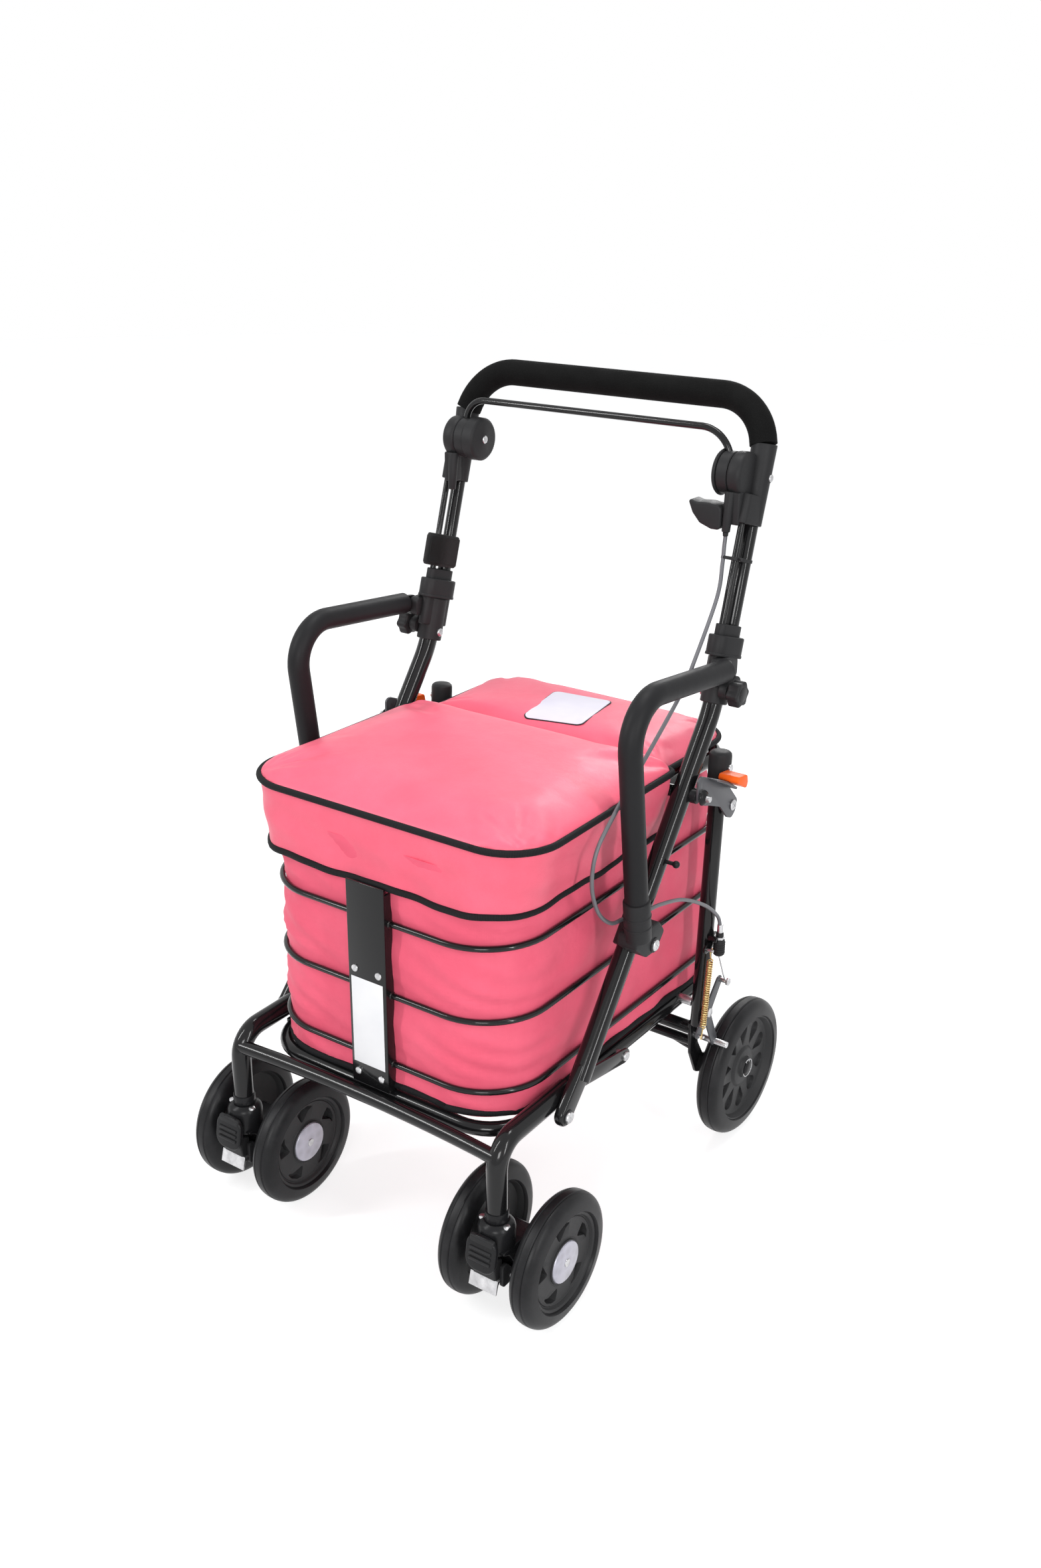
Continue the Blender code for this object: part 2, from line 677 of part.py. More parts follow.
def make_front_plate():
    low = LOOP_Z + LOOP_R + GAP
    back = RING_FRONT_FACE + PLATE_DEPTH - PLATE_THICK
    skin = box((-PLATE_HALF, PLATE_FRONT_Y, low), (PLATE_HALF, RING_FRONT_FACE, PLATE_TOP_Z))
    walls = [box(sorted_corner(sign * (PLATE_HALF - PLATE_THICK), sign * PLATE_HALF, 0, PLATE_FRONT_Y + 0.001, low),
                 sorted_corner(sign * (PLATE_HALF - PLATE_THICK), sign * PLATE_HALF, 1, back, SKIRT_BOTTOM_Z - 0.002))
             for sign in (1.0, -1.0)]
    label = box((-0.0215, PLATE_FRONT_Y - 0.0006, 0.2395), (0.0215, PLATE_FRONT_Y + 0.001, 0.3435))
    screws = [rod((x, PLATE_FRONT_Y - 0.0022, z), (x, PLATE_FRONT_Y + 0.001, z), 0.0038, 8)
              for x in (-0.016, 0.016) for z in (0.2280, 0.3535)]
    place(join([skin] + walls + [label] + screws), "front_plate", "frame", "plate_black")


def sorted_corner(a, b, which, y, z):
    return (sorted((a, b))[which], y, z)


def ring_outline(inset, steps):
    return loop_outline(RING_X - inset, RING_FRONT_Y + inset, RING_REAR_Y - inset,
                        RING_FRONT_FILLET - inset, RING_REAR_FILLET - inset, steps)


def make_basket():
    outline = ring_outline(0.0, RING_STEPS)
    for number, height in enumerate(RING_HEIGHTS, 1):
        path = [(PLATE_HALF + GAP, RING_FRONT_Y, height)] + [(x, y, height) for x, y in outline]
        path.append((-PLATE_HALF - GAP, RING_FRONT_Y, height))
        place(tube(path, RING_R, 6), "basket_ring_%d" % number, "frame", "gloss_black")
    near = RING_REAR_Y + RING_R + GAP
    strip = box((-REAR_STRIP_HALF, near, LOOP_Z - 0.002), (REAR_STRIP_HALF, near + REAR_STRIP_THICK, RING_HEIGHTS[0] + 0.008))
    foot = box((-REAR_STRIP_HALF, LOOP_REAR_Y + LOOP_R + GAP, LOOP_Z - 0.002),
               (REAR_STRIP_HALF, near + 0.001, LOOP_Z + 0.002))
    place(join([strip, foot]), "rear_strip", "frame", "gloss_black")


def make_bag():
    inset = RING_R + 0.0005
    floor = LOOP_Z + LOOP_R + 0.0005
    levels = [(floor, inset), (RING_HEIGHTS[0] + 0.010, inset), (BAG_TOP_Z, inset + BAG_TUCK)]
    rings = [[(x, y, z) for x, y in ring_outline(more, RING_STEPS)] for z, more in levels]
    levels[0] = (floor + BAG_WALL, inset)
    rings += [[(x, y, z) for x, y in ring_outline(more + BAG_WALL, RING_STEPS)] for z, more in levels[::-1]]
    place(skinned(rings), "shopping_bag", "frame", "bag_pink")


def make_seat_frame():
    outline = loop_outline(SEAT_X, SEAT_FRONT_Y, SEAT_REAR_Y, 0.055, 0.045)
    shapes = [tube([(x, y, SEAT_Z) for x, y in outline], SEAT_R, 8, True)]
    gusset = (diagonal_y(SEAT_Z + 0.004), SEAT_Z + 0.001)
    for sign in (1.0, -1.0):
        shapes.append(rod((sign * SEAT_X, *gusset), (sign * (SIDE_X - SIDE_R - GAP), *gusset), 0.007, 8))
    place(join(shapes), "seat_frame", "frame", "gloss_black")


def cushion_rings(outline_at, layers, crown, top):
    """Rings up the side, then rings that close over the crown."""
    rings = [[(x, y, z) for x, y in outline_at(inset)] for inset, z in layers]
    centre_y = sum(y for x, y in outline_at(0.02)) / len(outline_at(0.02))
    last = rings[-1]
    base = layers[-1][1]
    for share in (0.9, 0.72, 0.5, 0.25):
        rise = base + (top - base) * (1 - share ** crown)
        rings.append([(x * share, centre_y + (y - centre_y) * share, rise) for x, y, z in last])
    return rings


def make_seat():
    def outline(inset):
        points = loop_outline(CUSHION_X - inset, CUSHION_FRONT_Y + inset, SEAM_Y - SEAM_GAP / 2 - inset * 0.15,
                              CUSHION_FILLET - inset, 0.010, 5)
        return [(x * (1 - 0.03 * max(0.0, y - 0.02) / 0.07), y) for x, y in points]
    board = SEAT_Z + SEAT_R + GAP
    layers = [(0.0125, board), (0.0125, CUSHION_EDGE_Z - 0.0055), (0.0020, CUSHION_EDGE_Z - 0.0050),
              (0.0, CUSHION_EDGE_Z - 0.0025), (0.0, CUSHION_EDGE_Z + 0.0005), (0.0026, CUSHION_EDGE_Z + 0.003),
              (0.0060, CUSHION_EDGE_Z + 0.012)]
    place(skinned(cushion_rings(outline, layers, 2.4, CUSHION_EDGE_Z + CUSHION_HIGH)),
          "seat_cushion", "lid", "seat_pink")

    top_z = CUSHION_EDGE_Z - 0.0055 - GAP
    side_rear = SEAM_Y - 0.017

    def wall(inset):
        """The skirt's wall as rows of points from its top edge down, along the U of its plan."""
        rows = []
        for share in (0.0, 0.35, 0.7, 1.0):
            x = SKIRT_TOP_X + (SKIRT_BOTTOM_X - SKIRT_TOP_X) * share ** 1.2 - inset
            front = CUSHION_FRONT_Y + 0.004 - 0.008 * share + inset
            z = top_z + (SKIRT_BOTTOM_Z - top_z) * share
            rows.append(rounded([(x, side_rear, z), (x, front, z), (-x, front, z), (-x, side_rear, z)],
                                CUSHION_FILLET - inset, 5))
        return rows
    outer, inner = wall(0.0), wall(SKIRT_THICK)
    sections = [[row[i] for row in outer] + [row[i] for row in inner[::-1]] for i in range(len(outer[0]))]
    place(skinned(sections), "seat_skirt", "lid", "seat_pink")


def make_rear_pad():
    def outline(inset):
        return loop_outline(PAD_X - inset, SEAM_Y + SEAM_GAP / 2 + inset * 0.15, PAD_REAR_Y - inset,
                            0.008, PAD_FILLET - inset, 4)
    board = SEAT_Z + SEAT_R + GAP
    layers = [(0.0090, board), (0.0030, board + 0.0020), (0.0, board + 0.0045), (0.0, board + 0.0075),
              (0.0030, board + 0.0105), (0.0070, board + 0.0130)]
    place(skinned(cushion_rings(outline, layers, 2.6, board + 0.013 + PAD_HIGH)), "rear_pad", "frame", "seat_pink")


# Armrests, their brackets, and the clamps that hold the handle's tubes

def make_armrests():
    low = Vector((ARM_REST_X, rest_y(ARM_REST_FOAM_Z), ARM_REST_FOAM_Z))
    bend = Vector((ARM_REST_X, ARM_REST_BEND_Y, ARM_REST_BEND_Z))
    rear = Vector((ARM_REST_X, ARM_REST_REAR_Y, ARM_REST_REAR_Z))
    back = (rear - bend).normalized()
    foam_end = rear - back * 0.010
    foot = Vector((ARM_REST_X, rest_y(BRACKET_SOCKET_Z + 0.006), BRACKET_SOCKET_Z + 0.006))
    foam = tube(rounded([low, bend, foam_end], ARM_REST_FILLET, 5), ARM_REST_R)
    stub = tube([foot, low + (bend - low).normalized() * 0.010], ARM_REST_TUBE_R, 8)
    tab = side_plate(stadium((foam_end.y - 0.006, foam_end.z + 0.001), (rear.y, rear.z), 0.010),
                     ARM_REST_X - 0.0065, ARM_REST_X - 0.0010)
    bolt = rod((ARM_REST_X - 0.002, rear.y, rear.z), (ARM_REST_X + 0.003, rear.y, rear.z), BOLT_R, 8)
    place_pair(join([foam, stub, tab, bolt]), "armrest", "frame", "foam_black")


def make_arm_brackets():
    along = Vector((0.0, DIAGONAL_LEAN, 1.0)).normalized()
    centre = Vector((SIDE_X, diagonal_y(BRACKET_Z), BRACKET_Z))
    sleeve = rod(centre - along * (BRACKET_LOW / 2), centre + along * (BRACKET_LOW / 2), BRACKET_R, 12)
    rise = Vector((0.0, ARM_REST_BEND_Y - ARM_REST_LOW_Y, ARM_REST_BEND_Z - ARM_REST_LOW_Z)).normalized()
    low = Vector((ARM_REST_X, rest_y(BRACKET_SOCKET_Z - 0.010), BRACKET_SOCKET_Z - 0.010))
    high = Vector((ARM_REST_X, rest_y(ARM_REST_FOAM_Z), ARM_REST_FOAM_Z)) - rise * GAP
    socket = rod(low, high, BRACKET_SOCKET_R, 12)
    block = side_plate([(-0.052, 0.378), (-0.052, 0.393), (-0.006, 0.393), (0.006, 0.378), (-0.010, 0.360),
                        (-0.030, 0.360)], SIDE_X + 0.004, ARM_REST_X + 0.006)
    bolt = rod((SIDE_X + 0.010, centre.y, centre.z - 0.006), (ARM_REST_X + 0.010, centre.y, centre.z - 0.006), BOLT_R, 8)
    bore = rod(centre - along * 0.06, centre + along * 0.06, SIDE_R + FIT + GAP, 10)
    foot = Vector((ARM_REST_X, rest_y(BRACKET_SOCKET_Z + 0.006 - GAP), BRACKET_SOCKET_Z + 0.006 - GAP))
    hole = rod(foot, high + rise * 0.02, ARM_REST_TUBE_R + FIT + GAP, 8)
    place_pair(join([sleeve, block, socket, bolt], [bore, hole]), "arm_bracket", "frame", "satin_black")


def make_clamps():
    def at(z):
        return upper(SIDE_X, z)
    collar = twin_sleeve(SIDE_X, CLAMP_STEP_Z, CLAMP_TOP_Z - 0.0115, COLLAR_R, COLLAR_ROD_R)
    neck = twin_sleeve(SIDE_X, CLAMP_TOP_Z - 0.0125, CLAMP_TOP_Z, INNER_R + 0.0030, ROD_R + 0.0030)
    guide = twin_sleeve(SIDE_X, CLAMP_BOTTOM_Z + 0.004, CLAMP_STEP_Z + 0.001, 0.0130, 0.0070)
    sleeve = rod(at(CLAMP_BOTTOM_Z), at(CLAMP_STEP_Z + 0.002), CLAMP_LOW_R, 12)
    ear = []
    for y, z in ((0.0095, -0.0180), (-0.0070, -0.0110), (-0.0070, 0.0090), (0.0135, 0.0090), (0.0335, 0.0040),
                 (0.0335, -0.0180)):
        ear.append((ARM_REST_REAR_Y + y, ARM_REST_REAR_Z + z))
    ear = side_plate(ear, SIDE_X + 0.003, ARM_REST_X - 0.0065 - GAP)
    bolt_z = KNOB_Z + 0.004
    jaw = side_plate(stadium((KNOB_Y, KNOB_Z), (KNOB_Y + 0.016, bolt_z), 0.0095), SIDE_X + 0.011, KNOB_X - GAP)
    inner_bolt = rod((SIDE_X - 0.018, upper_y(bolt_z), bolt_z), (SIDE_X - 0.013, upper_y(bolt_z), bolt_z), 0.0045, 8)
    wide = rod(at(CLAMP_BOTTOM_Z - 0.01), at(TUBE_TOP_Z + 0.0003), SIDE_R + FIT + GAP, 12)
    narrow = rod(handle_at(SIDE_X, TUBE_TOP_Z - 0.001), handle_at(SIDE_X, CLAMP_TOP_Z + 0.01), INNER_R + FIT, 12)
    forward = AHEAD * ROD_AHEAD
    thin = rod(handle_at(SIDE_X, TUBE_TOP_Z) + forward, handle_at(SIDE_X, CLAMP_TOP_Z + 0.01) + forward, ROD_R + FIT, 8)
    place_pair(join([collar, neck, guide, sleeve, ear, jaw, inner_bolt], [wide, narrow, thin]), "handle_clamp", "frame",
               "satin_black")
    lobes = [rod((KNOB_X + 0.004, KNOB_Y, KNOB_Z), (KNOB_X + KNOB_THICK, KNOB_Y, KNOB_Z), KNOB_R - 0.001, 14),
             rod((KNOB_X, KNOB_Y, KNOB_Z), (KNOB_X + 0.006, KNOB_Y, KNOB_Z), 0.007, 10)]
    place_pair(join(lobes), "clamp_knob", "knob", "satin_black")


# Handle

def make_handle():
    def at(z):
        return handle_at(SIDE_X, z)
    inner = rod(at(TUBE_TOP_Z + 0.0008), at(HOUSING_TOP_Z - 0.008), INNER_R, 12)
    place(mirrored(inner), "inner_tube_right", "handle", "gloss_black")
    clip = rod(at(CLIP_Z - 0.003), at(CLIP_Z + 0.003), INNER_R + 0.001, 12)
    place(join([inner, clip]), "inner_tube_left", "handle", "gloss_black")
    forward = AHEAD * ROD_AHEAD
    thin = rod(at(TUBE_TOP_Z + 0.0013) + forward, at(HOUSING_TOP_Z - 0.015) + forward, ROD_R, 8)
    place_pair(thin, "guide_rod", "handle", "gloss_black")
    pattern = make_housing([])
    place(mirrored(pattern), "handle_housing_right", "handle", "satin_black")
    bpy.data.objects.remove(pattern, do_unlink=True)
    lever_pin = rod((LEVER_IN_X + 0.0004, LEVER_Y, LEVER_Z), (SIDE_X - 0.0050, LEVER_Y, LEVER_Z), LEVER_PIN_R, 10)
    place(make_housing([lever_pin]), "handle_housing_left", "handle", "satin_black")

    low, high = STRAP_Z - STRAP_HALF, STRAP_Z + STRAP_HALF
    strap = join([twin_sleeve(-SIDE_X, low, high, INNER_R + STRAP_THICK, ROD_R + 2 * STRAP_THICK, 6)],
                 [twin_sleeve(-SIDE_X, low - 0.01, high + 0.01, INNER_R + FIT, ROD_R + FIT, 8)])
    place(strap, "hook_and_loop_strap", "handle", "strap_black")


def make_housing(extra):
    """The left housing: sleeve under the grip, socket of the inner tube and thin rod, drum, long pin and inner disc."""
    def at(z):
        return handle_at(SIDE_X, z)
    socket = twin_sleeve(SIDE_X, HOUSING_BOTTOM_Z, HOUSING_TOP_Z, HOUSING_R, HOUSING_ROD_R)
    rings = []
    for centre, way, size in ((at(HOUSING_BOTTOM_Z + 0.001), HANDLE_DIRECTION, HOUSING_R - 0.0002),
                              (Vector((SIDE_X, GRIP_FOOT_Y, GRIP_FOOT_Z)) - GRIP_DIRECTION * GAP, GRIP_DIRECTION,
                               HOUSING_TOP_R)):
        side = way.cross(X_AXIS)
        angles = [math.tau * i / 14 for i in range(14)]
        rings.append([centre + (X_AXIS * math.cos(t) + side * math.sin(t)) * size for t in angles])
    sleeve = skinned(rings)
    drum = rod((DRUM_X, JOINT_Y, JOINT_Z), (DRUM_X + DRUM_THICK, JOINT_Y, JOINT_Z), JOINT_R, 18)
    pin = rod((INNER_DISC_X + 0.002, JOINT_Y, JOINT_Z), (DRUM_X + 0.004, JOINT_Y, JOINT_Z), JOINT_PIN_R, 10)
    inner_disc = turned([(-0.002, 0.0), (-0.002, 0.004), (0.0, 0.004), (0.0, INNER_DISC_R - 0.003), (0.003, INNER_DISC_R),
                         (INNER_DISC_THICK, INNER_DISC_R), (INNER_DISC_THICK, 0.0)],
                        (INNER_DISC_X, JOINT_Y, JOINT_Z), X_AXIS, 14)
    boss = rod((CABLE_BOSS_X, CABLE_BOSS_Y, CABLE_BOSS_Z), (CABLE_BOSS_X, CABLE_BOSS_Y + 0.003, HOUSING_TOP_Z + 0.004), 0.0045, 8)
    web = box((CABLE_BOSS_X, CABLE_BOSS_Y - 0.0010, HOUSING_BOTTOM_Z + 0.008), (SIDE_X, 0.1850, HOUSING_TOP_Z - 0.003))
    bolt = rod((SIDE_X + 0.008, BOLT_SEAT_Y, BOLT_SEAT_Z), (SIDE_X + 0.0145, BOLT_SEAT_Y, BOLT_SEAT_Z), 0.0042, 8)
    bore = rod(at(HOUSING_BOTTOM_Z - 0.01), at(HOUSING_TOP_Z - 0.008 + GAP), INNER_R + FIT, 12)
    forward = AHEAD * ROD_AHEAD
    thin = rod(at(HOUSING_BOTTOM_Z - 0.01) + forward, at(HOUSING_TOP_Z - 0.015 + GAP) + forward, ROD_R + FIT, 8)
    return join([socket, sleeve, drum, pin, inner_disc, boss, web, bolt] + extra, [bore, thin])


def make_grip():
    def leaning(x, reach):
        return Vector((x, GRIP_FOOT_Y, GRIP_FOOT_Z)) + GRIP_DIRECTION * reach
    path = rounded([leaning(SIDE_X, -0.025), leaning(SIDE_X, GRIP_REACH), leaning(-SIDE_X, GRIP_REACH),
                    leaning(-SIDE_X, -0.025)], GRIP_FILLET, 6)
    inside = [p for p in path if (p - leaning(0.0, 0.0)).dot(GRIP_DIRECTION) > 0.008]
    left = [leaning(SIDE_X - 0.0008, 0.0), leaning(SIDE_X - 0.0008, 0.0025)]
    right = [leaning(0.0008 - SIDE_X, 0.0025), leaning(0.0008 - SIDE_X, 0.0)]
    foam = tube(left + inside + right, GRIP_R, 8)
    place(foam, "handle_grip", "handle", "foam_black")

    hub_middle = HUB_X + HUB_THICK / 2
    knees = [Vector((sign * BRAKE_BAR_X, JOINT_Y, JOINT_Z + 0.016)) for sign in (1.0, -1.0)]
    corners = [Vector((sign * BRAKE_BAR_X, JOINT_Y, JOINT_Z + BRAKE_BAR_HIGH)) for sign in (1.0, -1.0)]
    bar = rounded([knees[0]] + corners + [knees[1]], BRAKE_BAR_FILLET, 5)
    bar = [Vector((hub_middle, JOINT_Y, JOINT_Z + 0.007))] + bar + [Vector((-hub_middle, JOINT_Y, JOINT_Z + 0.007))]
    pieces = [tube(bar, BRAKE_BAR_R, 6)]
    for sign in (1.0, -1.0):
        low, high = sorted((sign * HUB_X, sign * (HUB_X + HUB_THICK)))
        pieces.append(rod((low, JOINT_Y, JOINT_Z), (high, JOINT_Y, JOINT_Z), HUB_R, 12))
    cuts = [rod((sign * (HUB_X - 0.01), JOINT_Y, JOINT_Z), (sign * (HUB_X + HUB_THICK + 0.01), JOINT_Y, JOINT_Z),
                JOINT_PIN_R + FIT, 10) for sign in (1.0, -1.0)]
    place(join(pieces, cuts), "brake_bar", "brake_bar", "gloss_black")

    hub = rod((LEVER_IN_X + 0.0005, LEVER_Y, LEVER_Z), (0.1795, LEVER_Y, LEVER_Z), 0.0058, 10)
    scoop = []
    for y, z in ((-0.0020, 0.0050), (-0.0220, 0.0090), (-0.0240, 0.0075), (-0.0180, -0.0050), (-0.0100, -0.0130),
                 (0.0, -0.0160), (0.0050, -0.0110)):
        scoop.append((LEVER_Y + y, LEVER_Z + z))
    scoop = side_plate(scoop, LEVER_IN_X + 0.0020, LEVER_IN_X + 0.0330)
    hole = rod((LEVER_IN_X - 0.01, LEVER_Y, LEVER_Z), (SIDE_X, LEVER_Y, LEVER_Z), LEVER_PIN_R + FIT, 8)
    place(join([hub, scoop], [hole]), "park_lever", "park_lever", "satin_black")


def make_cables():
    start = Vector((CABLE_BOSS_X, CABLE_BOSS_Y, CABLE_BOSS_Z - GAP))
    end = Vector((BARREL_X, BARREL_Y, BARREL_Z + BARREL_HIGH + GAP))
    route = [start - Vector((0.0, 0.0, 0.006)), (0.1846, 0.1690, 0.7560), (0.1858, 0.1650, 0.7380), (0.1925, 0.1440, 0.7060),
             (0.2015, 0.0830, 0.6500), (0.2040, 0.0518, 0.6224), (0.2040, -0.0254, 0.5647), (0.2040, -0.0712, 0.5301),
             (0.2036, -0.0996, 0.5018), (0.2030, -0.1052, 0.4664), (0.2012, -0.0890, 0.4300), (0.2010, -0.0640, 0.4075),
             (0.2020, -0.0420, 0.4035), (0.2058, -0.0270, 0.4035), (0.2125, -0.0080, 0.4035), (0.2150, 0.0150, 0.4015),
             (0.2160, 0.0600, 0.3890), (BARREL_X, 0.1100, 0.3620), (BARREL_X, 0.1430, 0.3350), end + Vector((0.0, 0.0, 0.007))]
    path = [start] + smooth_points(route, 3 * 2 * CABLE_R) + [end]
    place(tube(path, CABLE_R, 6), "brake_cable_left", "frame", "satin_black")


# Rear frame

def make_rear_frame():
    shapes = []
    for sign in (1.0, -1.0):
        x = sign * SIDE_X
        shapes.append(rod((x, POST_FOOT_Y, POST_FOOT_Z - 0.003), (x, post_y(POST_TOP_Z), POST_TOP_Z), POST_R, 8))
        near, far = sorted((sign * AXLE_PLATE_X, sign * (AXLE_PLATE_X + AXLE_PLATE_THICK)))
        outline = [(0.1420, 0.1860), (0.1580, 0.1860), (0.1640, 0.1480), (0.1780, 0.1250), (0.2420, 0.0990),
                   (0.2470, 0.0874), (0.2400, 0.0760), (0.2280, 0.0745), (0.1620, 0.1060), (0.1460, 0.1400)]
        shapes.append(side_plate(outline, near, far))
        shapes.append(rod((near + 0.001, AXLE_Y, REAR_WHEEL_R) if sign > 0 else (far - 0.001, AXLE_Y, REAR_WHEEL_R),
                          (sign * (REAR_WHEEL_X + 0.004), AXLE_Y, REAR_WHEEL_R), AXLE_R, 8))
        shapes.append(rod((sign * (AXLE_PLATE_X - 0.0035), AXLE_Y, REAR_WHEEL_R),
                          (sign * (AXLE_PLATE_X + 0.002), AXLE_Y, REAR_WHEEL_R), 0.010, 6))
        pin_plate = side_plate(stadium((SPRING_PIN_Y, SPRING_PIN_Z), (BARREL_Y, SPRING_PIN_Z + 0.002), 0.0055),
                               sign * (SIDE_X + POST_R - 0.0012), sign * (ARM_X + 0.0012))
        shapes.append(pin_plate)
        shapes.append(rod((sign * ARM_X, SPRING_PIN_Y, SPRING_PIN_Z), (sign * (SPRING_X + 0.003), SPRING_PIN_Y, SPRING_PIN_Z),
                          SPRING_PIN_R, 6))
        shapes.append(rod((sign * (SIDE_X + 0.004), LATCH_PIVOT_Y, LATCH_PIVOT_Z),
                          (sign * (LATCH_X + LATCH_THICK + 0.001), LATCH_PIVOT_Y, LATCH_PIVOT_Z), 0.0030, 8))
        shapes.append(rod((sign * (SIDE_X + 0.004), LATCH_PIVOT_Y, LATCH_PIVOT_Z),
                          (sign * (LATCH_X - GAP), LATCH_PIVOT_Y, LATCH_PIVOT_Z), 0.0065, 8))
        shapes.append(rod((sign * (SIDE_X + 0.004), ARM_PIVOT_Y, ARM_PIVOT_Z),
                          (sign * (ARM_X + ARM_THICK + 0.001), ARM_PIVOT_Y, ARM_PIVOT_Z), 0.0030, 8))
    shapes.append(rod((-AXLE_PLATE_X - 0.002, REAR_BAR_Y, REAR_BAR_Z), (AXLE_PLATE_X + 0.002, REAR_BAR_Y, REAR_BAR_Z), REAR_BAR_R, 8))
    shapes.append(rod((-AXLE_PLATE_X - 0.002, THIN_BAR_Y, THIN_BAR_Z - 0.004), (AXLE_PLATE_X + 0.002, THIN_BAR_Y, THIN_BAR_Z - 0.004),
                      THIN_BAR_R, 6))
    place(join(shapes), "rear_posts", "rear_frame", "gloss_black")

    post_end = Vector((SIDE_X, post_y(POST_TOP_Z), POST_TOP_Z))
    low = post_end - POST_DIRECTION * 0.0165
    cap = turned([(0.0168, 0.0), (0.0168, POST_R + FIT), (0.0, POST_R + FIT), (0.0, CAP_R),
                  (CAP_HIGH - 0.003, CAP_R), (CAP_HIGH, CAP_R - 0.003), (CAP_HIGH, 0.0)], low, POST_DIRECTION, 12)
    place_pair(cap_closed(cap, low), "post_cap", "rear_frame", "satin_black")


def cap_closed(cap, low):
    """The cap with its bolt on the outer side."""
    centre = low + POST_DIRECTION * 0.022
    bolt = rod((SIDE_X + CAP_R - 0.001, centre.y, centre.z), (SIDE_X + CAP_R + CAP_BOLT_HEAD, centre.y, centre.z), 0.005, 8)
    return join([cap, bolt])


def make_brakes():
    plate_end = ARM_X + ARM_THICK
    pivot = (ARM_PIVOT_Y, ARM_PIVOT_Z)
    outline = [(ARM_TIP_Y - 0.005, ARM_TIP_Z + 0.004), (ARM_TIP_Y + 0.003, ARM_TIP_Z + 0.005), (ARM_TIP_Y + 0.006, ARM_TIP_Z - 0.003),
               (ARM_PIVOT_Y + 0.008, ARM_PIVOT_Z - 0.004), (ARM_PAD_Y + 0.006, ARM_PAD_Z + 0.002),
               (ARM_PAD_Y, ARM_PAD_Z - 0.0042), (ARM_PAD_Y - 0.005, ARM_PAD_Z - 0.004), (ARM_PIVOT_Y - 0.002, ARM_PIVOT_Z - 0.014),
               (ARM_HOOK_Y + 0.003, ARM_HOOK_Z - 0.005), (ARM_HOOK_Y - 0.005, ARM_HOOK_Z - 0.003), (ARM_HOOK_Y - 0.004, ARM_HOOK_Z + 0.005),
               (ARM_PIVOT_Y - 0.007, ARM_PIVOT_Z + 0.003)]
    plate = side_plate(outline, ARM_X, plate_end)
    pad = rod((AXLE_PLATE_X + AXLE_PLATE_THICK + 0.002, ARM_PAD_Y, ARM_PAD_Z), (PAD_END_X, ARM_PAD_Y, ARM_PAD_Z), PAD_R, 8)
    hook = rod((ARM_X + 0.001, ARM_HOOK_Y, ARM_HOOK_Z), (SPRING_X + 0.003, ARM_HOOK_Y, ARM_HOOK_Z), SPRING_PIN_R, 6)
    wire_pin = rod((ARM_X + 0.001, ARM_TIP_Y, ARM_TIP_Z), (BARREL_X + 0.003, ARM_TIP_Y, ARM_TIP_Z), 0.003, 6)
    hole = rod((ARM_X - 0.01, *pivot), (plate_end + 0.01, *pivot), 0.0030 + FIT, 8)
    place_pair(join([plate, pad, hook, wire_pin], [hole]), "brake_arm", "brake_arm", "latch_grey")

    barrel = turned([(0.0, 0.0), (0.0, BARREL_R - 0.0015), (0.003, BARREL_R), (0.019, BARREL_R), (0.0205, BARREL_R - 0.0025),
                     (BARREL_HIGH - 0.001, BARREL_R - 0.0025), (BARREL_HIGH, BARREL_R - 0.0035), (BARREL_HIGH, 0.0)],
                    (BARREL_X, BARREL_Y, BARREL_Z), (0.0, 0.0, 1.0), 8)
    start, end = Vector((BARREL_X, BARREL_Y, BARREL_Z)), Vector((BARREL_X, ARM_TIP_Y, ARM_TIP_Z))
    run = (end - start).normalized()
    wire = rod(start - run * 0.003, end - run * (0.003 + GAP), 0.0009, 6)
    place_pair(join([barrel, wire]), "cable_adjuster", "rear_frame", "satin_black")

    place_pair(make_spring(), "brake_spring", "rear_frame", "spring_brass")
    end_x = AXLE_PLATE_X - 0.0009
    half = [(end_x, 0.1650, 0.1345), (0.1700, 0.1655, 0.1370), (0.1450, 0.1650, 0.1425), (0.0900, 0.1635, 0.1440)]
    route = [(-x, y, z) for x, y, z in half] + [(0.0, 0.1630, 0.1440)] + half[::-1]
    return route


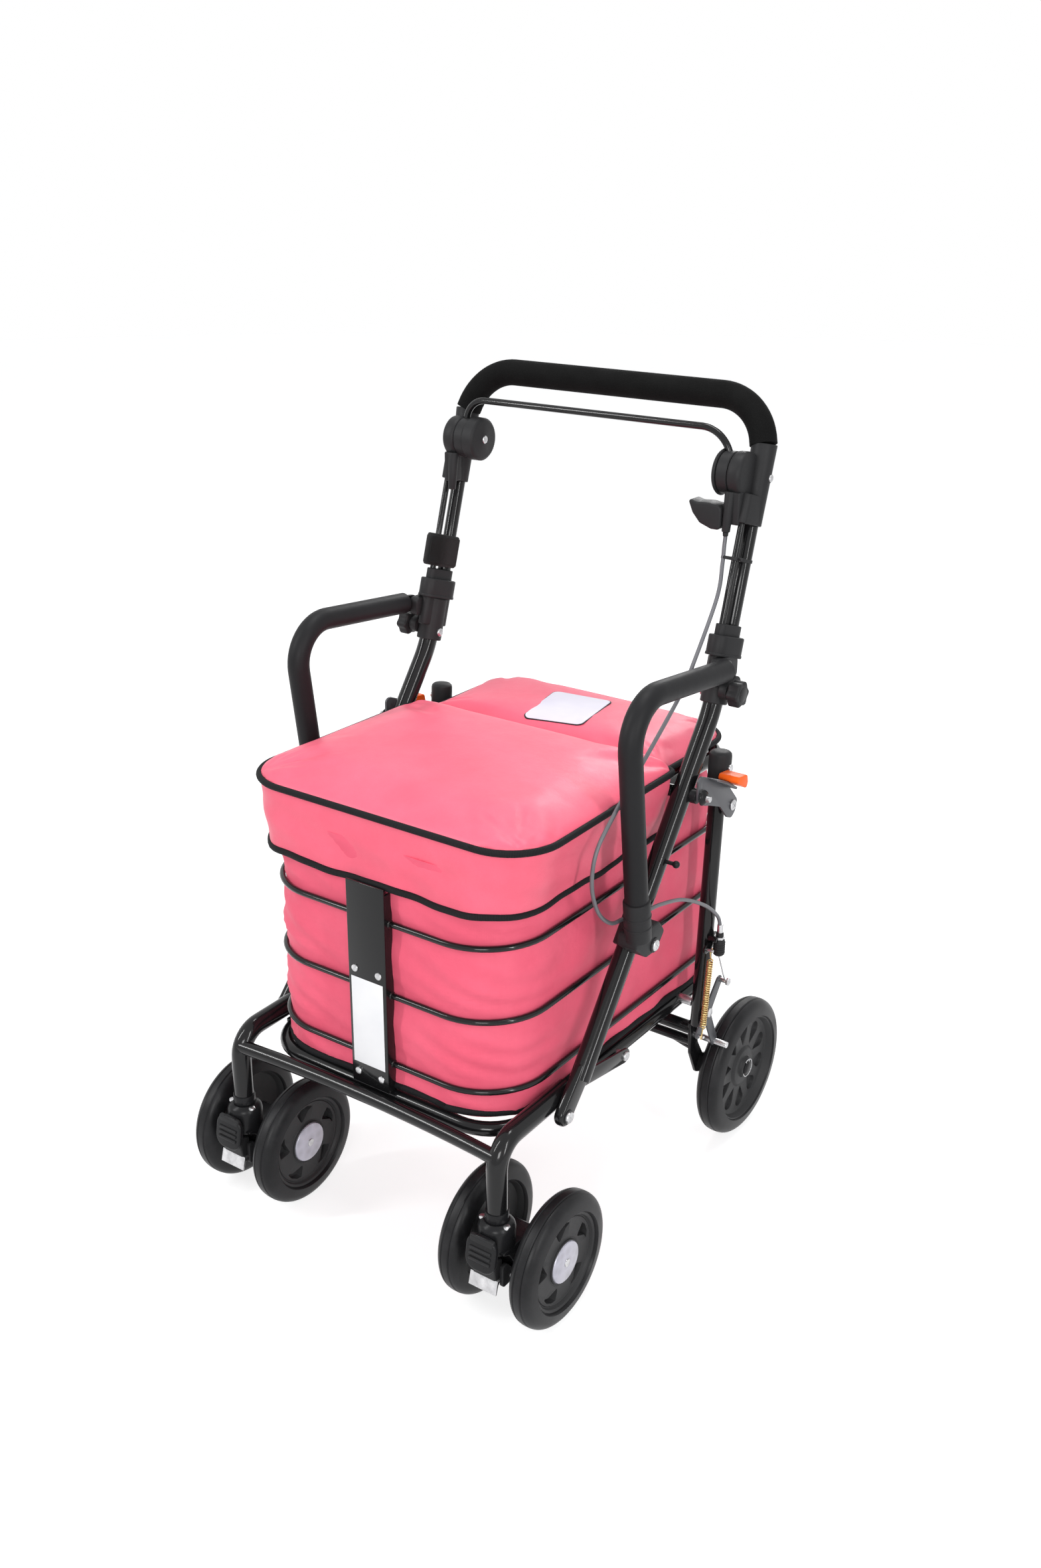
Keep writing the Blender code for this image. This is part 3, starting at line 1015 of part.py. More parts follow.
def make_spring():
    """Wound from the post's pin down to the brake arm, straight where it hooks on."""
    radius = SPRING_R - SPRING_WIRE_R
    lean = (SPRING_PIN_Y - ARM_HOOK_Y) / (SPRING_PIN_Z - ARM_HOOK_Z)

    def axis_y(z):
        return ARM_HOOK_Y + lean * (z - ARM_HOOK_Z)
    points_per_coil = 8
    path = [Vector((SPRING_X, axis_y(SPRING_PIN_Z), SPRING_PIN_Z - SPRING_PIN_R - GAP))]
    path.append(Vector((SPRING_X, axis_y(SPRING_TOP_Z), SPRING_TOP_Z + 0.0035)))
    for i in range(SPRING_COILS * points_per_coil + 1):
        share = i / (SPRING_COILS * points_per_coil)
        z = SPRING_TOP_Z + (SPRING_BOTTOM_Z - SPRING_TOP_Z) * share
        angle = math.tau * i / points_per_coil
        path.append(Vector((SPRING_X + radius * math.cos(angle), axis_y(z) + radius * math.sin(angle), z)))
    path.append(Vector((SPRING_X, axis_y(SPRING_BOTTOM_Z), SPRING_BOTTOM_Z - 0.0035)))
    path.append(Vector((SPRING_X, axis_y(ARM_HOOK_Z), ARM_HOOK_Z + SPRING_PIN_R + GAP)))
    least = 1.0
    for i, here in enumerate(path[2:-2]):
        for there in path[2 + i + 6:i + 14]:
            least = min(least, (there - here).length - 2 * SPRING_WIRE_R)
    print("spring: least gap between its turns %.2f mm" % (least * 1000))
    return tube(path, SPRING_WIRE_R, 6)


def make_rear_wheels():
    half, rim, hub = REAR_WHEEL_HALF, REAR_RIM_R, REAR_HUB_R
    near = AXLE_PLATE_X + AXLE_PLATE_THICK + 0.0005 - REAR_WHEEL_X
    depth = 0.004 + GAP
    profile = [(half - 0.001, 0.0), (half - 0.003, 0.012), (0.0085, hub), (0.005, hub + 0.002), (0.005, rim - 0.005),
               (half - 0.002, rim + 0.001), (half, rim + 0.010), (half - 0.006, REAR_WHEEL_R), (-half + 0.006, REAR_WHEEL_R),
               (-half, rim + 0.010), (-0.004, rim - 0.003), (-0.004, 0.014), (near, 0.012),
               (near, AXLE_R + SLIDE_GAP), (depth, AXLE_R + SLIDE_GAP), (depth, 0.0)]
    wheel = turned(profile, (REAR_WHEEL_X, AXLE_Y, REAR_WHEEL_R), X_AXIS, 20)
    pockets = []
    for i in range(REAR_POCKETS):
        angle = math.tau * (i + 0.5) / REAR_POCKETS
        heading = (math.cos(angle), math.sin(angle))
        across = (-heading[1], heading[0])
        outline = [(0.031, 0.0)]
        outline += [(0.0485 + 0.0092 * math.cos(math.radians(t)), 0.0092 * math.sin(math.radians(t)))
                    for t in (-90, -30, 30, 90)]
        points = [(AXLE_Y + heading[0] * r + across[0] * s, REAR_WHEEL_R + heading[1] * r + across[1] * s)
                  for r, s in outline]
        pockets.append(side_plate(points, REAR_WHEEL_X + 0.0005, REAR_WHEEL_X + 0.02))
    place_pair(join([wheel], pockets), "rear_wheel", "rear_wheel", "wheel_black")


# Latch

def make_latches():
    outline = [(0.1660, 0.4590), (0.1700, 0.4720), (0.1480, 0.4950), (0.1240, 0.5090), (0.1010, 0.5200), (0.0840, 0.5270),
               (0.0775, 0.5240), (STUD_Y - STUD_R - 0.0033, STUD_Z - 0.0036), (STUD_Y - STUD_R - GAP, STUD_Z - 0.0036),
               (STUD_Y - STUD_R - GAP, STUD_Z + STUD_R + GAP), (STUD_Y + STUD_R + GAP, STUD_Z + STUD_R + GAP),
               (STUD_Y + STUD_R + GAP + 0.004, 0.4900), (0.1050, 0.4860), (0.1300, 0.4760), (0.1480, 0.4570),
               (0.1580, 0.4530)]
    plate = side_plate(outline, LATCH_X, LATCH_X + LATCH_THICK - 0.0015)
    flange = side_plate([(0.0980, 0.5212), (0.0995, 0.5185), (0.1230, 0.5075), (0.1470, 0.4935), (0.1490, 0.4957), (0.1250, 0.5102)],
                        LATCH_X, LATCH_X + 0.013)
    hole = rod((LATCH_X - 0.01, LATCH_PIVOT_Y, LATCH_PIVOT_Z), (LATCH_X + 0.02, LATCH_PIVOT_Y, LATCH_PIVOT_Z), 0.0036, 8)
    place_pair(join([plate, flange], [hole]), "latch_plate", "latch", "latch_grey")
    tab = side_plate([(0.1270, 0.5093 + GAP), (0.1490, 0.4966 + GAP), (0.1520, 0.5040), (0.1500, 0.5130), (0.1300, 0.5155)],
                     SIDE_X + CAP_R + CAP_BOLT_HEAD + FIT, LATCH_X + 0.024)
    place_pair(tab, "latch_tab", "latch", "lever_orange")


# Casters

def make_casters():
    cup_low = CASTER_CUP_Z
    top = LEG_FOOT_Z - GAP
    cup = turned([(0.0, 0.0), (0.0, CASTER_CUP_R), (top - cup_low - 0.004, CASTER_CUP_R), (top - cup_low, CASTER_CUP_R - 0.004),
                  (top - cup_low, 0.0)], (LEG_X, LEG_Y, cup_low), (0.0, 0.0, 1.0), 12)
    shell = side_plate([(-0.2540, 0.1040), (-0.2150, 0.1040), (-0.1860, 0.1000), (-0.1740, 0.0880), (-0.1720, 0.0720),
                        (-0.1800, 0.0600), (-0.1950, 0.0560), (-0.2150, 0.0600), (-0.2280, 0.0800), (-0.2390, 0.0980)],
                       LEG_X - CASTER_HALF, LEG_X + CASTER_HALF)
    nose = side_plate([(-0.2200, 0.0620), (-0.2380, 0.0640), (-0.2420, 0.0720), (-0.2360, 0.0800), (-0.2200, 0.0850)],
                      LEG_X - 0.0118, LEG_X + 0.0118)
    pin = rod((LEG_X - 0.0210, PEDAL_Y, PEDAL_Z), (LEG_X + 0.0210, PEDAL_Y, PEDAL_Z), PEDAL_PIN_R, 8)
    steel = side_plate([(-0.2470, 0.0460), (-0.2450, 0.0460), (-0.2440, 0.0600), (-0.2180, 0.0630), (-0.2180, 0.0660),
                        (-0.2460, 0.0630)], LEG_X - 0.0100, LEG_X + 0.0100)
    axle = rod((LEG_X - FRONT_WHEEL_OUT - 0.006, WHEEL_Y, FRONT_WHEEL_R), (LEG_X + FRONT_WHEEL_OUT + 0.006, WHEEL_Y, FRONT_WHEEL_R),
               FRONT_AXLE_R, 8)
    screws = [rod((x, LEG_Y + 0.006, LEG_FOOT_Z - 0.005), (x, LEG_Y + 0.006, LEG_FOOT_Z + 0.0015), 0.0025, 6)
              for x in (LEG_X - 0.0155, LEG_X + 0.0155)]
    place_pair(join([cup, shell, nose, pin, steel, axle] + screws), "caster_fork", "caster", "satin_black")

    front = PEDAL_Y - PEDAL_FRONT
    plate = side_plate([(front + 0.0005, 0.1240), (front + 0.0065, PEDAL_Z + PEDAL_HIGH), (front + 0.0072, 0.0990), (-0.2440, 0.0955),
                        (-0.2440, 0.0760), (-0.2500, 0.0640), (-0.2545, 0.0660), (front + 0.0005, 0.0980)],
                       LEG_X - CASTER_HALF, LEG_X + CASTER_HALF)
    ribs = [rod((LEG_X - CASTER_HALF + 0.002, front + 0.0006, z), (LEG_X + CASTER_HALF - 0.002, front + 0.0006, z), 0.0014, 6)
            for z in (0.104, 0.110, 0.116)]
    ears = [side_plate([(-0.2500, 0.0640), (-0.2500, 0.0900), (-0.2420, 0.0900), (-0.2310, 0.0760), (-0.2310, 0.0680), (-0.2400, 0.0640)],
                       *sorted((LEG_X + sign * 0.0150, LEG_X + sign * 0.0200))) for sign in (1.0, -1.0)]
    hole = rod((LEG_X - 0.03, PEDAL_Y, PEDAL_Z), (LEG_X + 0.03, PEDAL_Y, PEDAL_Z), PEDAL_PIN_R + FIT, 8)
    place_pair(join([plate] + ears + ribs, [hole]), "lock_pedal", "pedal", "satin_black")


def make_front_wheel():
    half, rim, hub, wheel_r = FRONT_WHEEL_HALF, FRONT_RIM_R, FRONT_HUB_R, FRONT_WHEEL_R
    near = -(FRONT_WHEEL_OUT - CASTER_HALF - GAP)
    depth = 0.006 + GAP
    profile = [(0.0125, 0.0), (0.0100, hub), (0.0030, hub + 0.003), (0.0030, rim - 0.004), (0.0110, rim),
               (half, wheel_r - 0.010), (half - 0.006, wheel_r), (-half + 0.006, wheel_r), (-half, wheel_r - 0.010),
               (-0.0110, rim), (-0.0030, rim - 0.004), (-0.0030, hub), (near, 0.0105),
               (near, FRONT_AXLE_R + SLIDE_GAP), (depth, FRONT_AXLE_R + SLIDE_GAP), (depth, 0.0)]
    centre = (LEG_X + FRONT_WHEEL_OUT, WHEEL_Y, wheel_r)
    wheel = turned(profile, centre, X_AXIS, 18)
    holes = []
    for i in range(FRONT_HOLES):
        points = []
        for r, spread in ((hub + 0.0072, 17.3), (rim - 0.0091, 24.6), (rim - 0.0091, -24.6), (hub + 0.0072, -17.3)):
            angle = math.radians(90 + 360 * i / FRONT_HOLES + spread)
            points.append((WHEEL_Y + r * math.cos(angle), wheel_r + r * math.sin(angle)))
        holes.append(side_plate(points, centre[0] - 0.01, centre[0] + 0.01))
    return join([wheel], holes)


def make_front_wheels():
    outer = make_front_wheel()
    inner = mirrored(outer)
    inner.data.transform(Matrix.Translation((2 * LEG_X, 0.0, 0.0)))
    place_pair(outer, "front_wheel_outer", "front_wheel_outer", "wheel_black")
    place_pair(inner, "front_wheel_inner", "front_wheel_inner", "wheel_black")


make_bodies()
make_side_tubes()
make_front_legs()
make_links()
make_base_loop()
make_front_plate()
make_basket()
make_bag()
make_seat_frame()
make_seat()
make_rear_pad()
make_armrests()
make_arm_brackets()
make_clamps()
make_handle()
make_grip()
make_cables()
make_rear_frame()
cross_route = make_brakes()
place(tube(smooth_points(cross_route, 3 * 2 * 0.0028), 0.0028, 6), "cross_cable", "rear_frame", "satin_black")
make_rear_wheels()
make_latches()
make_casters()
make_front_wheels()
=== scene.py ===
"""Shopping rollator with a lidded seat over a fabric bag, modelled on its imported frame.

Left is the left-hand side of the person who walks behind it, at +X. Lengths are in metres.
"""

import json
import math

import bpy
from mathutils import Matrix, Vector

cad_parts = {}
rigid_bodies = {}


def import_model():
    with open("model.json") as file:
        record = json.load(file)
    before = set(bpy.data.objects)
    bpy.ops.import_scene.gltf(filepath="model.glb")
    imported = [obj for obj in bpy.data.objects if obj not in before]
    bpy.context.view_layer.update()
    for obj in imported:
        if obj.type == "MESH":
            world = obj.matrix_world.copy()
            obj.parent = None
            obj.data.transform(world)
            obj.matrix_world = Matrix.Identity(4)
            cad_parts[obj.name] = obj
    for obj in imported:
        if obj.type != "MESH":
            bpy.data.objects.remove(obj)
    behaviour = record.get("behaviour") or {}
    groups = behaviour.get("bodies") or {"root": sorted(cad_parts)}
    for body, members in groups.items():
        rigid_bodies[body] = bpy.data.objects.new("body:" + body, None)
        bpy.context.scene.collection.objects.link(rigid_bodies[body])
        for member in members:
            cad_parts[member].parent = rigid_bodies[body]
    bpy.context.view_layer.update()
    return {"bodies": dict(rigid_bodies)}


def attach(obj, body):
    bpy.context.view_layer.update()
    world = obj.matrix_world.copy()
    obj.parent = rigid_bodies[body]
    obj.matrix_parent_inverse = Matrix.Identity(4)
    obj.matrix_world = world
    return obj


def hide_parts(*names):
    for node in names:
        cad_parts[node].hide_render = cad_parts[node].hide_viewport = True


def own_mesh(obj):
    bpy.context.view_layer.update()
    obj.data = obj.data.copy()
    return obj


bl_info = {
    "name": "Shopping Rollator",
    "version": (1, 0, 0),
    "blender": (4, 5, 0),
    "location": "3D View > Sidebar > Rollator",
    "description": "Models a folding rollator with a seat, a shopping bag and a bow handle",
    "category": "Add Mesh",
}

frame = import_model()

# The frame's origin lies this far behind the point that the shapes below are measured from
MIDDLE_Y = 0.028
X_AXIS = Vector((1.0, 0.0, 0.0))
Z_AXIS = Vector((0.0, 0.0, 1.0))

# Tubes of the frame
SIDE_X = 0.198
SIDE_R = 0.011
LEG_X = 0.18
LEG_Y = -0.234
LEG_FOOT_Z = 0.133
POST_R = 0.0095
POST_FOOT = (0.1455, 0.187)
POST_TOP = (0.163, 0.512)
CLAMP_TOP_Z = 0.671
BEND_Z = 0.5842
DIAGONAL_LEAN = 0.727
SIDE_END = (-0.14, 0.213)
LINK_START = (-0.1027, 0.223)
LINK_REAR = (0.005, 0.206)
FOLD = (0.148, 0.21)
RING_HEIGHTS = (0.413, 0.329, 0.246)
LOOP_Z = 0.205
SEAT_Z = 0.503

# Handle and brakes
JOINT = Vector((0.0, 0.1924, 0.8302))
HANDLE_LEAN = 0.3
HANDLE_Y = 0.171
HANDLE_DIRECTION = Vector((0.0, HANDLE_LEAN, 1.0)).normalized()
AHEAD = Vector((0.0, -HANDLE_DIRECTION.z, HANDLE_DIRECTION.y))
ROD_AHEAD = 0.0227
GRIP_DIRECTION = Vector((0.0, math.sin(math.radians(16.4)), math.cos(math.radians(16.4))))
GRIP_FOOT = (0.2214, 0.8578)
GRIP_REACH = 0.048
LEVER = (0.188, 0.79)
CABLE_BOSS = (0.1843, 0.171)
BARREL = (0.2165, 0.152, 0.281)
ARM_X = 0.2078
ARM_PIVOT = (0.145, 0.205)
ARM_TIP = (0.172, 0.237)
ARM_HOOK = (0.126, 0.182)
ARM_PAD = (0.168, 0.154)
SPRING_X = 0.2145
SPRING_PIN = (0.137, 0.2915)

# Wheels
REAR_WHEEL = Vector((0.2105, 0.234, 0.0874))
FRONT_WHEEL_OUT = 0.046
FRONT_WHEEL = Vector((LEG_X + FRONT_WHEEL_OUT, -0.19, 0.075))
PEDAL = (-0.236, 0.072)

# Seat and armrests
CUSHION_X = 0.191
CUSHION_FRONT_Y = -0.205
SEAM_Y = 0.088
CUSHION_EDGE_Z = 0.525
BOARD_Z = 0.5113
PAD_X = 0.169
PAD_REAR_Y = 0.254
SKIRT_BOTTOM_Z = 0.45
# A pad's crown falls off towards its edge with this power
CROWN_POWER = 2.6
ARM_REST_X = 0.22
ARM_REST_BEND = (-0.075, 0.655)
ARM_REST_REAR = (0.1285, 0.636)
ARM_REST_LOW = (-0.042, 0.405)
LATCH_X = 0.216
LATCH_PIVOT = (0.158, 0.469)
STUD = (0.084, 0.503)

# Points closer than this are one
DOUBLES = 1e-6

# Camera, fitted to the straight parts of the frame
PICTURE_WIDE = 1568
PICTURE_HIGH = 2361
FOCAL_PIXELS = 2344.79
CAMERA_TURN = math.radians(35.386)
CAMERA_DOWN = math.radians(22.351)
CAMERA_ROLL = math.radians(0.3732)
CAMERA_PLACE = (0.95481, -1.31592, 1.15228)

# Lamps: name, place, power and the two sides of each
LAMPS = (
    ("key", (-1.7, -2.0, 2.2), 34.0, 0.16, 1.8),
    ("fill", (2.6, -0.9, 1.5), 26.0, 0.16, 1.8),
    ("front", (1.3, -2.4, 1.3), 26.0, 0.8, 0.8),
    ("top", (0.1, 0.3, 2.9), 26.0, 1.6, 0.4),
    ("back", (-0.8, 2.4, 1.8), 16.0, 0.5, 1.4),
)


def handle_at(x, z):
    """A point of the axis of the handle's inner tube, which its clamp and its housing share."""
    return Vector((x, HANDLE_Y + HANDLE_LEAN * (z - CLAMP_TOP_Z), z))


def upright_at(x, z):
    """A point of the side tube's short upright part, which runs up into the clamp."""
    return Vector((x, 0.1422 + HANDLE_LEAN * (z - 0.602), z))


def diagonal_y(z):
    """How far back the side tube's long leaning part lies at a height."""
    return -0.117 + DIAGONAL_LEAN * (z - 0.235)


def rest_y(z):
    """The armrest's front part, from its bend down to its lower bracket."""
    share = (z - ARM_REST_LOW[1]) / (ARM_REST_BEND[1] - ARM_REST_LOW[1])
    return ARM_REST_LOW[0] + (ARM_REST_BEND[0] - ARM_REST_LOW[0]) * share


POST_DIRECTION = Vector((0.0, POST_TOP[0] - POST_FOOT[0], POST_TOP[1] - POST_FOOT[1])).normalized()


# Points

def corner_arc(before, corner, after, radius, steps):
    """Points of the arc that rounds one corner of a path."""
    back = (before - corner).normalized()
    onward = (after - corner).normalized()
    half = back.angle(onward) / 2
    reach = radius / math.tan(half)
    centre = corner + (back + onward).normalized() * (radius / math.sin(half))
    first = corner + back * reach - centre
    axis = first.cross(corner + onward * reach - centre).normalized()
    turn = math.pi - 2 * half
    return [centre + Matrix.Rotation(turn * i / steps, 3, axis) @ first for i in range(steps + 1)]


def rounded(points, radius, steps=10):
    path = [Vector(points[0])]
    for before, corner, after in zip(points, points[1:], points[2:]):
        path += corner_arc(Vector(before), Vector(corner), Vector(after), radius, steps)
    return path + [Vector(points[-1])]


def soft_outline(points, radius, steps=4):
    """A closed outline of pairs with all its corners rounded."""
    flat = [Vector((a, b, 0.0)) for a, b in points]
    outline = []
    for i, corner in enumerate(flat):
        before, after = flat[i - 1], flat[(i + 1) % len(flat)]
        reach = min((before - corner).length, (after - corner).length) * 0.42
        half = (before - corner).angle(after - corner) / 2
        outline += corner_arc(before, corner, after, min(radius, reach * math.tan(half)), steps)
    return [(p.x, p.y) for p in outline]


def loop_outline(half_x, front, rear, front_radius, rear_radius, steps=10):
    """A rounded rectangle about the middle plane, as (x, y) points."""
    outline = []
    for x, y, radius, start in ((half_x, front, front_radius, -90), (half_x, rear, rear_radius, 0),
                                (-half_x, rear, rear_radius, 90), (-half_x, front, front_radius, 180)):
        cx = x - math.copysign(radius, x)
        cy = y - radius if y == rear else y + radius
        for i in range(steps + 1):
            angle = math.radians(start + 90 * i / steps)
            outline.append((cx + radius * math.cos(angle), cy + radius * math.sin(angle)))
    return outline


def stadium(start, end, radius, steps=10):
    """Outline round two points of a plane, with half circles at both ends."""
    heading = math.atan2(end[1] - start[1], end[0] - start[0])
    outline = []
    for (u, v), turn in ((end, -90), (start, 90)):
        for i in range(steps + 1):
            angle = heading + math.radians(turn + 180 * i / steps)
            outline.append((u + radius * math.cos(angle), v + radius * math.sin(angle)))
    return outline


def even_points(points, spacing, closed=False):
    """The same path with points at even steps."""
    points = [Vector(p) for p in points]
    if closed:
        points.append(points[0])
    length = sum((q - p).length for p, q in zip(points, points[1:]))
    count = max(2, round(length / spacing))
    step, path, walked = length / count, [points[0]], 0.0
    for p, q in zip(points, points[1:]):
        run = (q - p).length
        while len(path) < count and walked + run >= step * len(path):
            path.append(p.lerp(q, (step * len(path) - walked) / run))
        walked += run
    return path if closed else path + [points[-1]]


def smooth_points(route, spacing):
    """Even steps along a smooth curve through the route's points."""
    dense = []
    knots = [Vector(p) for p in route]
    ends = [knots[0] * 2 - knots[1]] + knots + [knots[-1] * 2 - knots[-2]]
    for a, b, c, d in zip(ends, ends[1:], ends[2:], ends[3:]):
        for i in range(24):
            t = i / 24
            dense.append(0.5 * (2 * b + (c - a) * t + (2 * a - 5 * b + 4 * c - d) * t * t
                                + (3 * b - a - 3 * c + d) * t ** 3))
    return even_points(dense + [knots[-1]], spacing)


# Finishes

class Shade:
    """An output socket of a finish, on which sums are written as on a number."""

    def __init__(self, finish, socket):
        self.finish = finish
        self.socket = socket

    def sum(self, kind, other):
        return self.finish.node("ShaderNodeMath", {"operation": kind}, {0: self, 1: other})

    def __add__(self, other):
        return self.sum("ADD", other)

    __radd__ = __add__

    def __mul__(self, other):
        return self.sum("MULTIPLY", other)

    __rmul__ = __mul__


class Finish:
    """A material under making, with the few nodes that every finish here needs."""

    def __init__(self, name, roughness=0.5, metallic=0.0, coat=0.0, coat_roughness=0.1, sheen=0.0,
                 specular=0.5):
        self.material = bpy.data.materials.new(name)
        self.material.use_nodes = True
        self.tree = self.material.node_tree
        self.shader = self.tree.nodes["Principled BSDF"]
        self.shader.inputs["Roughness"].default_value = roughness
        self.shader.inputs["Metallic"].default_value = metallic
        self.shader.inputs["Coat Weight"].default_value = coat
        self.shader.inputs["Coat Roughness"].default_value = coat_roughness
        self.shader.inputs["Coat IOR"].default_value = 1.35
        self.shader.inputs["Sheen Weight"].default_value = sheen
        self.shader.inputs["Specular IOR Level"].default_value = specular
        self.place = self.node("ShaderNodeTexCoord", output="Object")

    def node(self, kind, settings=None, inputs=None, output=0):
        made = self.tree.nodes.new(kind)
        for name, value in (settings or {}).items():
            setattr(made, name, value)
        for name, value in (inputs or {}).items():
            if isinstance(value, Shade):
                self.tree.links.new(value.socket, made.inputs[name])
            else:
                made.inputs[name].default_value = value
        return Shade(self, made.outputs[output])

    def noise(self, scale, detail=3.0, roughness=0.5):
        return self.node("ShaderNodeTexNoise", None, {"Vector": self.place, "Scale": scale,
                                                      "Detail": detail, "Roughness": roughness}, "Fac")

    def cells(self, scale):
        return self.node("ShaderNodeTexVoronoi", None, {"Vector": self.place, "Scale": scale}, "Distance")

    def axis(self, letter):
        return self.node("ShaderNodeSeparateXYZ", None, {0: self.place}, letter)

    def attribute(self, name):
        return self.node("ShaderNodeAttribute", {"attribute_name": name}, None, "Fac")

    def sine(self, value):
        return self.node("ShaderNodeMath", {"operation": "SINE"}, {0: value})

    def span(self, value, low, high, to_low=0.0, to_high=1.0):
        """The value's stretch from low to high, spread over another stretch and held at its ends."""
        return self.node("ShaderNodeMapRange", None, {"Value": value, "From Min": low, "From Max": high,
                                                      "To Min": to_low, "To Max": to_high})

    def blend(self, mask, first, second):
        """A colour between two, by a mask."""
        made = self.tree.nodes.new("ShaderNodeMix")
        made.data_type = "RGBA"
        for number, value in ((0, mask), (6, first), (7, second)):
            if isinstance(value, Shade):
                self.tree.links.new(value.socket, made.inputs[number])
            else:
                made.inputs[number].default_value = (*value, 1.0)
        return Shade(self, made.outputs[2])

    def feed(self, name, value):
        """Links a value to the shader, or sets a plain one."""
        if isinstance(value, Shade):
            self.tree.links.new(value.socket, self.shader.inputs[name])
        elif name in ("Base Color", "Emission Color"):
            self.shader.inputs[name].default_value = (*value, 1.0)
        else:
            self.shader.inputs[name].default_value = value

    def relief(self, *heights):
        """Bumps laid over each other: each one is a height, its strength and its depth in metres."""
        normal = None
        for height, strength, depth in heights:
            inputs = {"Height": height, "Strength": strength, "Distance": depth}
            if normal:
                inputs["Normal"] = normal
            normal = self.node("ShaderNodeBump", None, inputs, "Normal")
        self.feed("Normal", normal)


def gloss_paint(name, colour):
    paint = Finish(name, 0.16, coat=0.35, coat_roughness=0.04, specular=0.2)
    cloud = paint.noise(9.0, 4.0)
    paint.feed("Base Color", paint.blend(cloud, colour, [c * 1.4 + 0.001 for c in colour]))
    paint.feed("Roughness", 0.11 + paint.noise(60.0, 3.0) * 0.1)
    paint.relief((paint.noise(420.0, 2.0), 0.1, 0.0002), (paint.noise(26.0, 2.0), 0.1, 0.0008))


def moulded_plastic(name, colour, roughness, grain=0.16):
    """Black or coloured injection moulding with a fine eroded grain."""
    plastic = Finish(name, roughness, specular=0.15)
    cloud = plastic.noise(14.0, 4.0)
    plastic.feed("Base Color", plastic.blend(cloud, colour, [c * 1.35 + 0.003 for c in colour]))
    plastic.feed("Roughness", roughness - 0.05 + plastic.noise(180.0, 3.0) * 0.12)
    plastic.relief((plastic.cells(2600.0), grain, 0.0002), (plastic.noise(900.0, 3.0), grain, 0.0002))


def grip_foam(name, colour):
    foam = Finish(name, 0.86, specular=0.08)
    pores_and_shade = foam.cells(1500.0)
    # The pores are painted darker and the foam between them lighter: painted shade in the pores
    foam.feed("Base Color", foam.blend(pores_and_shade, [c * 0.6 for c in colour], [c * 1.9 for c in colour]))
    foam.feed("Roughness", foam.span(foam.noise(40.0, 4.0), 0.3, 0.7, 0.78, 0.92))
    foam.relief((pores_and_shade, 0.35, 0.0003), (foam.noise(160.0, 4.0), 0.22, 0.0006))


def tyre_rubber(name, colour):
    rubber = Finish(name, 0.46, specular=0.18)
    dust = rubber.span(rubber.noise(22.0, 6.0, 0.65), 0.45, 0.75)
    rubber.feed("Base Color", rubber.blend(dust, colour, [c * 1.8 + 0.004 for c in colour]))
    rubber.feed("Roughness", 0.36 + dust * 0.16)
    rubber.relief((rubber.noise(1200.0, 3.0), 0.14, 0.0002), (rubber.noise(120.0, 3.0), 0.08, 0.0004))


def leatherette(name, colour, roughness=0.42):
    """Coated fabric with a fine pebble grain and the slight unevenness of foam under it."""
    skin = Finish(name, roughness, coat=0.1, coat_roughness=0.35, specular=0.35)
    pebbles = skin.cells(1050.0)
    mottle = skin.noise(11.0, 5.0, 0.6)
    deep = [colour[0] * 0.9, colour[1] * 0.74, colour[2] * 0.78]
    base = skin.blend(skin.span(mottle, 0.3, 0.7), deep, colour)
    skin.feed("Base Color", skin.blend(skin.span(pebbles, 0.35, 0.8, 0.0, 0.35), base, deep))
    skin.feed("Roughness", roughness - 0.05 + skin.noise(70.0, 4.0) * 0.16)
    skin.relief((pebbles, 0.22, 0.0003), (skin.noise(34.0, 4.0), 0.25, 0.0016), (mottle, 0.3, 0.004))


def coated_cloth(name, colour):
    """The bag's cloth: a close plain weave under a matt coating."""
    cloth = Finish(name, 0.55, specular=0.3)
    threads = (cloth.sine(cloth.axis("Z") * 5200.0)
               + cloth.sine((cloth.axis("X") + cloth.axis("Y")) * 4200.0)) * 0.25 + 0.5
    mottle = cloth.noise(8.0, 5.0, 0.6)
    deep = [colour[0] * 0.88, colour[1] * 0.7, colour[2] * 0.76]
    base = cloth.blend(cloth.span(mottle, 0.3, 0.7), deep, colour)
    cloth.feed("Base Color", cloth.blend(threads * 0.16, base, deep))
    cloth.feed("Roughness", 0.48 + cloth.noise(60.0, 4.0) * 0.16)
    cloth.relief((threads, 0.2, 0.0002), (cloth.noise(26.0, 5.0, 0.6), 0.45, 0.003), (mottle, 0.3, 0.005))


def ribbed_binding(name, colour):
    """Folded tape: fine ribs across its run, from the distance that its piece carries. The grooves are
    painted darker and the crests lighter: painted shade in the grooves and painted highlight on the crests.
    """
    tape = Finish(name, 0.66, specular=0.14)
    ribs = tape.sine(tape.attribute("along") * 4200.0) * 0.5 + 0.5
    # Painted shade in the rib grooves and painted highlight on the rib crests
    tape.feed("Base Color", tape.blend(ribs, [c * 0.6 for c in colour], [c * 1.8 for c in colour]))
    tape.feed("Roughness", 0.6 + tape.noise(90.0, 3.0) * 0.15)
    tape.relief((ribs, 0.55, 0.0004), (tape.noise(500.0, 3.0), 0.2, 0.0003))


def cable_sheath(name, colour, roughness=0.38):
    sheath = Finish(name, roughness, coat=0.2, coat_roughness=0.2)
    wires = sheath.sine(sheath.attribute("along") * 2600.0) * 0.5 + 0.5
    sheath.feed("Base Color",
                sheath.blend(sheath.noise(30.0, 3.0), colour, [c * 1.5 + 0.003 for c in colour]))
    sheath.feed("Roughness", roughness - 0.04 + sheath.noise(140.0, 3.0) * 0.12)
    sheath.relief((wires, 0.08, 0.0003))


